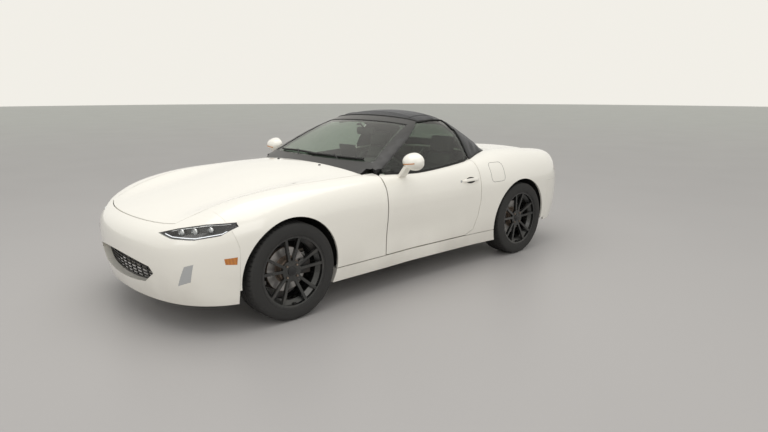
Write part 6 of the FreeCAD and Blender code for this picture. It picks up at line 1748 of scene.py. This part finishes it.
class ROADSTER_OT_steering_wheel(bpy.types.Operator):
    """Builds the leather rim, centre pad and spoke trims of the steering wheel"""
    bl_idname = "roadster.steering_wheel"
    bl_label = "Steering wheel"

    def execute(self, context):
        axis = Vector((-math.cos(COLUMN_TILT), 0, math.sin(COLUMN_TILT)))
        side = Vector((0, -1, 0))
        top = side.cross(axis).normalized()
        if top.z < 0:
            top, side = -top, -side
        rim, seam, pad, spokes, keys = Form(), Form(), Form(), Form(), Form()
        count = 144
        line = [WHEEL_CENTRE + side * a + top * b for a, b in circle(0.180, count)]

        def grip(i):
            angle = 360 * i / count
            thumb = sum(math.exp(-((angle - at) / 9) ** 2) for at in (28, 152))
            return 0.0148 + 0.0016 * thumb + 0.0003 * math.sin(i * 2.4)
        rings = []
        for i, place in enumerate(line):
            out = (place - WHEEL_CENTRE).normalized()
            rings.append([place + out * a + axis * b for a, b in circle(grip(i), 16)])
        rim.loft(rings, looped=True, capped=False)
        leather_rim = rim.piece("wheel_grip", "grip_leather", "steering_wheel", "cabin_plastic", angle=180)
        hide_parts("steering_wheel")
        for i, place in enumerate(line):
            inner = -(place - WHEEL_CENTRE).normalized() * (grip(i) + 0.0001)
            after = place.lerp(line[(i + 1) % count], 0.7)
            seam.tube([place + inner + axis * 0.0018, after + inner - axis * 0.0018], 0.0006, 4)
        seam.piece("wheel_stitches", "thread", "steering_wheel", "cabin_plastic")

        def spot(a, b, c):
            return WHEEL_CENTRE + side * a + top * b + axis * c
        outline = [(-0.060, 0.030), (-0.045, 0.044), (0.0, 0.050), (0.045, 0.044), (0.060, 0.030),
                   (0.062, 0.0), (0.048, -0.036), (0.022, -0.062), (-0.022, -0.062), (-0.048, -0.036),
                   (-0.062, 0.0)]
        flat = [(p.x, p.y) for p in spline([(a, b, 0) for a, b in outline], 44, closed=True)]
        rings = []
        for depth, size in ((-0.040, 0.80), (-0.028, 0.94), (-0.012, 1.0), (-0.002, 0.985), (0.006, 0.90),
                            (0.010, 0.72), (0.0125, 0.40), (0.0130, 0.12)):
            rings.append([spot(a * size, b * size, depth) for a, b in flat])
        pad.loft(rings)
        pad.piece("wheel_pad", "cabin_plastic", "steering_wheel", "cabin_plastic", angle=60)
        ring = [spot(a, b - 0.002, 0.0126) for a, b in circle(0.0215, 40)]
        Form().tube(ring, 0.0010, 6, closed=True).piece(
            "wheel_pad_ring", "satin_trim", "steering_wheel", "cabin_plastic")
        for a0, b0, a1, b1, wide in (
            (0.052, 0.012, 0.168, 0.012, 0.034), (-0.052, 0.012, -0.168, 0.012, 0.034),
            (0.020, -0.050, 0.034, -0.168, 0.018), (-0.020, -0.050, -0.034, -0.168, 0.018),
        ):
            halfway = spot((a0 + a1) / 2, (b0 + b1) / 2, -0.012)
            path = spline([spot(a0, b0, -0.010), halfway, spot(a1, b1, -0.003)], 14)

            def waisted(s, wide=wide):
                return rounded(wide * (1 - 0.25 * math.sin(math.pi * s)), 0.011, 0.0035, 4)
            spokes.sweep(path, waisted, up=axis)
        spokes.piece("wheel_spokes", "satin_trim", "steering_wheel", "cabin_plastic", angle=50)
        for edge in (-1, 1):
            for b in (0.0, 0.018):
                outline = [spot(edge * 0.084 + p, 0.003 + b + q, -0.006)
                           for p, q in rounded(0.030, 0.013, 0.004, 4)]
                keys.slab(outline, axis * 0.0045)
        keys.piece("wheel_keys", "gloss_black", "steering_wheel", "cabin_plastic", bevel=0.0006)
        neck = Form().lathe([(-0.060, 0.0), (-0.060, 0.024), (-0.030, 0.030), (-0.024, 0.040), (-0.02, 0.0)],
                            WHEEL_CENTRE, axis, 32)
        neck.piece("wheel_neck", "cabin_plastic", "steering_wheel", "cabin_plastic")
        return {"FINISHED"}


class ROADSTER_OT_console(bpy.types.Operator):
    """Builds the gear lever's boot and knob, the hand brake, armrest, cup holders and pedals"""
    bl_idname = "roadster.console"
    bl_label = "Console and pedals"

    def execute(self, context):
        skin = Skin("centre_console")
        gaiter = Form()
        rings = []
        base_z = 0.520
        for level, size in ((0.0, 0.058), (0.010, 0.055), (0.018, 0.048), (0.026, 0.046), (0.034, 0.036),
                            (0.042, 0.033), (0.052, 0.022), (0.060, 0.020), (0.068, 0.0135)):
            ring = []
            for i in range(48):
                angle = 2 * math.pi * i / 48
                a, b = math.cos(angle), math.sin(angle)
                square = 1 - 0.45 * min(1, level / 0.04)
                a = a * (1 - square) + math.copysign(abs(a) ** 0.5, a) * square * 0.92
                b = b * (1 - square) + math.copysign(abs(b) ** 0.5, b) * square * 0.92
                pleat = 1 + 0.05 * math.cos(4 * angle) * (1 - level / 0.07) + 0.02 * math.sin(11 * angle)
                ring.append((LEVER_X + size * a * pleat, 0.78 * size * b * pleat, base_z - 0.014 + level))
            rings.append(ring)
        gaiter.loft(rings, capped=False)
        boot = gaiter.piece("lever_boot", "leather", "chassis", "cabin_plastic", angle=180, levels=1)
        frame_line = []
        for a, b in rounded(0.128, 0.100, 0.026, 8):
            frame_line.append(skin.from_above(LEVER_X + a, b, 0.0012))
        Form().sweep(frame_line, rounded(0.010, 0.005, 0.002, 4), up=UP, closed=True).piece(
            "lever_frame", "satin_trim", "chassis", "cabin_plastic", angle=50)
        stem, lean = (LEVER_X, 0, 0.564), (-0.06, 0, 1)
        knob = Form().lathe(
            [(0.0, 0.0115), (0.006, 0.0125), (0.016, 0.0165), (0.030, 0.0255), (0.042, 0.0280),
             (0.052, 0.0262), (0.059, 0.0200), (0.063, 0.0110), (0.064, 0.0)], stem, lean, 48)
        knob.piece("lever_knob", "grip_leather", "chassis", "cabin_plastic", angle=60)
        collar = Form().lathe([(-0.012, 0.0112), (-0.004, 0.0128), (0.002, 0.0130), (0.004, 0.0115)],
                              stem, lean, 40)
        collar.piece("lever_collar", "satin_trim", "chassis", "cabin_plastic", angle=40)
        brake = Form()
        path = spline([(-0.430, -0.052, 0.530), (-0.400, -0.052, 0.560), (-0.330, -0.052, 0.582),
                       (-0.245, -0.052, 0.596)], 30)
        brake.tube(path, lambda s: 0.0105 + 0.0045 * smooth((s - 0.35) * 4), 14, up=UP, flat=1.15)
        brake.piece("hand_brake", "grip_leather", "chassis", "cabin_plastic")
        Form().lathe([(-0.002, 0.0085), (0.004, 0.0095), (0.013, 0.0090), (0.016, 0.0060), (0.0165, 0.0)],
                     path[-1], path[-1] - path[-2], 24).piece(
            "hand_brake_button", "satin_trim", "chassis", "cabin_plastic")
        rest = Form()
        path = [(x, 0.0, 0.572 + 0.008 * math.sin(math.pi * s))
                for s, x in zip(spread(0, 1, 14), spread(-0.590, -0.445, 14))]
        rest.sweep(path, lambda s: rounded(0.150 * (0.93 + 0.07 * math.sin(math.pi * s)), 0.034, 0.014, 6),
                   up=UP)
        arm = rest.piece("arm_rest", "leather", "chassis", "cabin_plastic", levels=1)
        holders = Form()
        for x in (-0.325, -0.235):
            for radius, lift in ((0.034, 0.0012), (0.031, 0.0002)):
                line = [skin.from_above(x + a, 0.042 + b, lift) for a, b in circle(radius, 40)]
                holders.tube(line, 0.0022, 6, closed=True)
        holders.piece("cup_rings", "gloss_black", "chassis", "cabin_plastic")
        self.pedals()
        return {"FINISHED"}

    def pedals(self):
        pads, arms = Form(), Form()
        for y, wide, tall, low in ((0.300, 0.052, 0.135, 0.262), (0.385, 0.062, 0.060, 0.330),
                                   (0.470, 0.058, 0.060, 0.330)):
            facing = Vector((-0.86, 0, 0.50)).normalized()
            top = Vector((0.50, 0, 0.86)).normalized()
            middle = Vector((0.285, y, low + tall / 2))
            outline = [middle + LEFT * a + top * b for a, b in rounded(wide, tall, 0.008, 4)]
            pads.slab(outline, facing * 0.010)
            for b in spread(-tall * 0.36, tall * 0.36, 5):
                rib = middle + top * b + facing * 0.0105
                pads.tube([rib - LEFT * (wide * 0.38), rib + LEFT * (wide * 0.38)], 0.0022, 6)
            path = spline([middle + top * 0.01, middle + Vector((0.045, 0, 0.060)), Vector((0.372, y, 0.545)),
                           Vector((0.400, y, 0.590))], 20)
            arms.sweep(path, rounded(0.012, 0.020, 0.004, 3), up=LEFT)
        pads.piece("pedal_pads", "rubber", "chassis", "dark_plastic", bevel=0.001)
        arms.piece("pedal_arms", "chassis", "chassis", "dark_plastic")


class ROADSTER_OT_cabin_trim(bpy.types.Operator):
    """Builds the carpets, floor mats, sun visors, inner mirror and belts"""
    bl_idname = "roadster.cabin_trim"
    bl_label = "Cabin trim"

    def execute(self, context):
        self.carpets()
        self.inner_mirror()
        self.visors()
        self.belts()
        return {"FINISHED"}

    def carpets(self):
        floor = Skin("floor_pan", "front_structure", "rear_structure")
        for side, sign in BOTH_SIDES:
            rows = []
            for y in spread(0.145, 0.655, 26):
                row = []
                for x in spread(-0.64, 0.40, 44):
                    spot, _ = floor.hit((x, sign * y, 0.48), DOWN)
                    row.append(Vector((x, sign * y, min(spot.z, 0.40) + 0.005)))
                rows.append(row)
            rug = Form().loft(rows, closed=False)
            rug.piece(f"carpet_{side}", "carpet", "chassis", "cabin_plastic", angle=60)
            mat = Form()
            outline = [(0.300, 0.180), (0.300, 0.560), (0.120, 0.610), (-0.080, 0.610), (-0.080, 0.200),
                       (0.120, 0.170)]
            ring = []
            for p in spline([(a, sign * b, 0.5) for a, b in outline], 70, closed=True):
                spot, _ = floor.hit((p.x, p.y, 0.48), DOWN)
                ring.append(Vector((p.x, p.y, spot.z + 0.0085)))
            mat.slab(ring, (0, 0, 0.004))
            mat.tube([p + Vector((0, 0, 0.003)) for p in ring], 0.0035, 6, closed=True)
            mat.piece(f"floor_mat_{side}", "carpet", "chassis", "cabin_plastic", angle=50)

    def inner_mirror(self):
        skin = Skin("windscreen")
        foot = skin.from_above(-0.020, 0.0, -0.007)
        head = foot + Vector((-0.075, 0, -0.062))
        arm = Form().tube(spline([foot, foot + Vector((-0.03, 0, -0.012)), head], 14), 0.0065, 10)
        arm.lathe([(0.0, 0.021), (0.006, 0.020), (0.010, 0.012), (0.010, 0.0)], foot, (-0.3, 0, -1), 28)
        rings = []
        for depth, size in ((0.020, 0.62), (0.016, 0.86), (0.006, 0.985), (-0.002, 1.0), (-0.005, 0.985)):
            rings.append([head + Vector((depth, a * size, b * size))
                          for a, b in rounded(0.225, 0.062, 0.024, 7)])
        Form().loft(rings).piece("inner_mirror_shell", "cabin_plastic", "chassis", "cabin_plastic", angle=50)
        arm.piece("inner_mirror_arm", "cabin_plastic", "chassis", "cabin_plastic")
        pane = [head + Vector((-0.0055, a, b)) for a, b in rounded(0.213, 0.051, 0.019, 7)]
        Form().slab(pane, (-0.0012, 0, 0)).piece(
            "inner_mirror_glass", "mirror_glass", "chassis", "mirror_paint")

    def visors(self):
        pads = Form()
        for sign in (-1, 1):
            rows = []
            for y in spread(0.070, 0.400, 18):
                row = []
                for share in spread(0, 1, 9):
                    x = -0.112 - 0.062 * (y / SCREEN_HALF) ** 2 - 0.105 * share
                    across = min((y - 0.068) / 0.02, (0.402 - y) / 0.02)
                    edge = min(1.0, across, (share + 0.02) / 0.1, (1.02 - share) / 0.1)
                    z = 1.150 + 0.012 * share - 0.040 * (y / 0.4) ** 2 - 0.006 * smooth(edge)
                    row.append((x, sign * y, z))
                rows.append(row)
            pads.loft(rows, closed=False)
        thicken(pads.piece("sun_visors", "lining", "chassis", "cabin_plastic", angle=60), 0.010, 0)

    def belts(self):
        webs, hardware = Form(), Form()
        for sign in (-1, 1):
            y = sign * BELT_SIDE
            path = spline([(-0.640, y, 0.800), (-0.590, y, 0.780), (-0.540, y - sign * 0.004, 0.640),
                           (-0.500, y - sign * 0.002, 0.480), (-0.470, y, 0.330), (-0.455, y, 0.300)], 36)
            webs.sweep(path, rounded(0.046, 0.0022, 0.001, 3), up=(1, 0, 0.2))
            hardware.sweep([(-0.660, y, 0.800), (-0.625, y, 0.803)], rounded(0.070, 0.014, 0.005, 4), up=UP)
            hardware.sweep([(-0.455, y, 0.310), (-0.455, y, 0.262)], rounded(0.050, 0.010, 0.004, 4),
                           up=AHEAD)
            inner = sign * BUCKLE_SIDE
            buckle = spline([(-0.400, inner, 0.425), (-0.385, inner, 0.470), (-0.372, inner, 0.505)], 8)
            hardware.sweep(buckle, rounded(0.026, 0.040, 0.006, 4), up=LEFT)
        webs.piece("belt_webs", "lining", "chassis", "cabin_plastic", angle=60)
        hardware.piece("belt_hardware", "cabin_plastic", "chassis", "cabin_plastic", angle=45)


# Body details
class ROADSTER_OT_body_details(bpy.types.Operator):
    """Builds the fuel flap's line, blank plate, exhaust tips, reflectors and towing covers"""
    bl_idname = "roadster.body_details"
    bl_label = "Body details"

    def execute(self, context):
        quarter = Skin("rear_quarters")
        outline = evened([Vector((a, b, 0)) for a, b in rounded(0.160, 0.150, 0.032, 7)], 0.006)
        line = [quarter.from_side(-0.790 + spot.x, 0.735 + spot.y, 1, 0.0) for spot in outline]
        Form().tube(line, 0.0013, 6, closed=True).piece("fuel_flap_line", "rubber", "chassis", "body_paint")
        self.plate()
        self.tips()
        self.reflectors()
        self.tow_covers()
        return {"FINISHED"}

    def plate(self):
        """A blank number plate on its holder."""
        bumper = Skin("rear_bumper")
        back = min(bumper.from_behind(y, z).x for y in (-0.16, 0.0, 0.16) for z in (0.43, 0.53))
        middle = 0.480
        plate, holder, screws = Form(), Form(), Form()
        outline = [(back - 0.0040, a, middle + b) for a, b in rounded(0.520, 0.112, 0.006, 4)]
        plate.slab(outline, (-0.0015, 0, 0))
        ring = [(back - 0.0055, a, middle + b) for a, b in rounded(0.513, 0.105, 0.005, 4)]
        plate.tube(ring, 0.0010, 4, closed=True)
        outline = [(back + 0.016, a, middle + b) for a, b in rounded(0.536, 0.128, 0.010, 4)]
        holder.slab(outline, (-0.0195, 0, 0))
        for y in (-0.155, 0.155):
            screws.lathe([(0.0, 0.0065), (0.0018, 0.0060), (0.0026, 0.0035), (0.0020, 0.0)],
                         (back - 0.0055, y, 0.515), BEHIND, 20)
        plate.piece("number_plate", "plate", "chassis", "body_paint", angle=50)
        holder.piece("plate_holder", "dark_plastic", "chassis", "dark_plastic", bevel=0.002)
        screws.piece("plate_screws", "satin_trim", "chassis", "dark_plastic")

    def tips(self):
        """Rolled, polished ends on the two tailpipes."""
        tips = Form()
        for y in (-0.430, -0.345):
            tips.lathe([(0.0, 0.0362), (0.060, 0.0364), (0.0655, 0.0375), (0.0675, 0.0360), (0.0660, 0.0335),
                        (0.040, 0.0325), (0.0, 0.0325)], (-1.838, y, 0.226), BEHIND, 56, hollow=True)
        tips.piece("exhaust_tips", "chrome", "chassis", "exhaust_steel", angle=50)

    def reflectors(self):
        bumper = Skin("rear_bumper")
        red = Form()
        for sign in (-1, 1):
            rows = []
            for z, lift in (
                (0.320, 0.0005), (0.323, 0.0034), (0.336, 0.0034), (0.349, 0.0034), (0.352, 0.0005),
            ):
                rows.append([bumper.from_behind(sign * y, z, lift) for y in spread(0.560, 0.690, 14)])
            red.loft(rows, closed=False)
        red.piece("rear_reflectors", "red", "chassis", "lamp")

    def tow_covers(self):
        lines = Form()
        front = Skin("front_bumper")
        line = [front.from_front(-0.500 + a, 0.470 + b, 0.0) for a, b in rounded(0.058, 0.058, 0.014, 6)]
        lines.tube(line, 0.0009, 5, closed=True)
        rear = Skin("rear_bumper")
        line = [rear.from_behind(0.480 + a, 0.395 + b, 0.0) for a, b in rounded(0.060, 0.060, 0.014, 6)]
        lines.tube(line, 0.0009, 5, closed=True)
        lines.piece("tow_cover_lines", "rubber", "chassis", "body_paint")


class ROADSTER_OT_engine_bay(bpy.types.Operator):
    """Builds the engine's cover, oil cap, hoses, battery and air filter"""
    bl_idname = "roadster.engine_bay"
    bl_label = "Engine bay"

    def execute(self, context):
        engine = Skin("engine")
        cover = Form()
        rings = []
        middle = Vector((0.90, 0.0, 0))
        top = engine.from_above(0.90, 0.0).z
        for level, size in ((-0.030, 0.97), (0.004, 1.0), (0.012, 0.985), (0.016, 0.93)):
            rings.append([middle + Vector((a * size, b * size, top + level))
                          for a, b in rounded(0.46, 0.27, 0.04, 6)])
        cover.loft(rings)
        for y in spread(-0.085, 0.085, 7):
            ends = [middle + Vector((x, y, top + 0.0165)) for x in (-0.185, 0.185)]
            cover.tube(ends, 0.0042, 8)
        cover.piece("engine_cover", "dark_plastic", "chassis", "engine_alloy", bevel=0.002)
        cap = Form().lathe([(0.0, 0.030), (0.014, 0.031), (0.018, 0.028), (0.022, 0.012), (0.022, 0.0)],
                           (1.085, 0.055, top + 0.014), UP, 10)
        cap.piece("oil_cap", "gloss_black", "chassis", "engine_alloy", bevel=0.001)
        hoses = Form()
        upper = [(1.24, 0.20, 0.58), (1.36, 0.24, 0.60), (1.52, 0.24, 0.56), (1.66, 0.22, 0.468),
                 (1.706, 0.22, 0.440)]
        lower = [(1.22, -0.18, 0.40), (1.38, -0.22, 0.36), (1.56, -0.22, 0.33), (1.706, -0.22, 0.32)]
        intake = [(1.05, -0.20, top - 0.04), (1.20, -0.34, top - 0.02), (1.40, -0.40, 0.60),
                  (1.55, -0.38, 0.56)]
        hoses.tube(spline(upper, 30), 0.019, 14)
        hoses.tube(spline(lower, 30), 0.018, 14)
        hoses.tube(spline(intake, 36), lambda s: 0.034 + 0.0022 * math.sin(s * 150), 18)
        hoses.piece("coolant_hoses", "rubber", "chassis", "engine_alloy")
        box = Form()
        battery = ((0.0, 0.98), (0.09, 1.0), (0.098, 0.985), (0.150, 0.97), (0.154, 0.94))
        air_filter = ((0.0, 0.97), (0.060, 1.0), (0.072, 1.03), (0.078, 1.03), (0.100, 0.95), (0.104, 0.90))
        for (x, y, z), levels, outline in (
            ((1.50, 0.44, 0.520), battery, rounded(0.20, 0.16, 0.014, 5)),
            ((1.52, -0.42, 0.545), air_filter, rounded(0.24, 0.20, 0.03, 5)),
        ):
            box.loft([[(x + a * size, y + b * size, z + level) for a, b in outline]
                      for level, size in levels])
        box.piece("battery_and_filter", "dark_plastic", "chassis", "engine_alloy", bevel=0.0015)
        return {"FINISHED"}


# Stage
class ROADSTER_OT_stage(bpy.types.Operator):
    """Builds the floor, the even light, the lamps and the camera"""
    bl_idname = "roadster.stage"
    bl_label = "Stage"

    def execute(self, context):
        stage = settings().stage
        self.floor(stage)
        self.world(stage)
        self.lamps(stage)
        camera = bpy.data.cameras.new("Camera")
        camera.lens = CAMERA_LENS
        camera.sensor_width = CAMERA_SENSOR
        camera.clip_end = CAMERA_REACH
        view = link("Camera", camera)
        view.location = CAMERA_PLACE
        view.rotation_euler = (CAMERA_TILT, 0, CAMERA_BEARING)
        bpy.context.scene.camera = view
        bpy.context.scene.view_settings.view_transform = "Standard"
        return {"FINISHED"}

    def floor(self, stage):
        radii = (0.001, 2, 5, 9, 14, 20, 28, 38, 52)
        form = Form().loft([[(a, b, 0.0) for a, b in circle(radius, 128)] for radius in radii], capped=False)
        mesh = bpy.data.meshes.new("floor")
        mesh.from_pydata([tuple(p) for p in form.points], [], form.faces)
        floor = link("floor", mesh)
        finish = Finish("Floor", {"Roughness": 0.42, "Specular IOR Level": 0.25})
        colour = tuple(stage.floor)
        marks = finish.noise(0.9, 4)
        fine = finish.noise(60, 3)
        x, y, z = finish.axes()
        # Painted light and shade: the floor drifts from the set colour round the car, a little darker and
        # pinker, to a greener grey far off, for how the light falls across it
        light_falloff = ((x * x + y * y) ** 0.5).between(3.0, 30.0)
        far = (0.42, 0.43, 0.39)
        near = finish.blend(marks * 0.6 + fine * 0.4, tint(colour, 0.97), tint(colour, 1.03))
        finish.set(Base_Color=finish.blend(light_falloff, near, far))
        finish.set(Roughness=0.36 + marks * 0.12)
        finish.bump(fine, 0.0001, 0.3)
        mesh.materials.append(finish.material)

    def world(self, stage):
        world = bpy.data.worlds.new("Studio")
        bpy.context.scene.world = world
        world.use_nodes = True
        tree = world.node_tree
        tree.nodes.clear()
        cool = (0.98, 0.985, 1.0)
        fill = add_node(tree, "ShaderNodeBackground", {}, {"Color": cool, "Strength": stage.fill})
        seen = add_node(tree, "ShaderNodeBackground", {}, {"Color": tuple(stage.wall), "Strength": 1.0})
        rays = add_node(tree, "ShaderNodeLightPath", {}, {}).outputs
        straight = rays["Is Camera Ray"]
        for kind in ("Is Glossy Ray", "Is Transmission Ray"):
            either = add_node(tree, "ShaderNodeMath", {"operation": "MAXIMUM"}, {0: straight, 1: rays[kind]})
            straight = either.outputs[0]
        shades = {0: straight, 1: fill.outputs[0], 2: seen.outputs[0]}
        choice = add_node(tree, "ShaderNodeMixShader", {}, shades)
        add_node(tree, "ShaderNodeOutputWorld", {}, {0: choice.outputs[0]})

    def lamps(self, stage):
        for name, place, aim, size, share in (
            ("Overhead lamp", (0.6, 0.4, 4.6), (0, 0, 0), 5.0, 1.0),
            ("Side lamp", (1.5, 6.0, 3.2), (0.2, 0, 0.5), 3.6, 0.55),
            ("Front lamp", (6.5, 1.0, 3.0), (0.8, 0, 0.5), 3.2, 0.45),
        ):
            light = bpy.data.lights.new(name, "AREA")
            light.shape = "SQUARE"
            light.size = size
            light.energy = stage.lamp * share
            light.color = (1.0, 0.985, 0.96)
            lamp = link(name, light)
            lamp.location = place
            lamp.rotation_euler = (Vector(aim) - Vector(place)).to_track_quat("-Z", "Y").to_euler()


PIECES = (
    ROADSTER_OT_solids,
    ROADSTER_OT_tyres,
    ROADSTER_OT_wheel_trim,
    ROADSTER_OT_headlamps,
    ROADSTER_OT_tail_lamps,
    ROADSTER_OT_screen_trim,
    ROADSTER_OT_cowl_vents,
    ROADSTER_OT_door_trim,
    ROADSTER_OT_soft_top,
    ROADSTER_OT_seats,
    ROADSTER_OT_dashboard,
    ROADSTER_OT_steering_wheel,
    ROADSTER_OT_console,
    ROADSTER_OT_cabin_trim,
    ROADSTER_OT_body_details,
    ROADSTER_OT_engine_bay,
    ROADSTER_OT_stage,
)


class ROADSTER_PT_sidebar(bpy.types.Panel):
    """Lists the roadster's pieces and their settings"""
    bl_idname = "ROADSTER_PT_sidebar"
    bl_label = "Roadster"
    bl_space_type = "VIEW_3D"
    bl_region_type = "UI"
    bl_category = "Roadster"

    def draw(self, context):
        for group in (settings().paint, settings().trim, settings().stage):
            for name in group.__annotations__:
                self.layout.prop(group, name)
        for piece in PIECES:
            self.layout.operator(piece.bl_idname)


CLASSES = (
    RoadsterPaintSettings,
    RoadsterTrimSettings,
    RoadsterStageSettings,
    RoadsterSettings,
    *PIECES,
    ROADSTER_PT_sidebar,
)


def register():
    for made in CLASSES:
        bpy.utils.register_class(made)
    bpy.types.Scene.roadster = PointerProperty(type=RoadsterSettings)


def unregister():
    del bpy.types.Scene.roadster
    for made in reversed(CLASSES):
        bpy.utils.unregister_class(made)


def main():
    register()
    for piece in PIECES:
        group, name = piece.bl_idname.split(".")
        getattr(getattr(bpy.ops, group), name)()


if __name__ == "__main__":
    main()
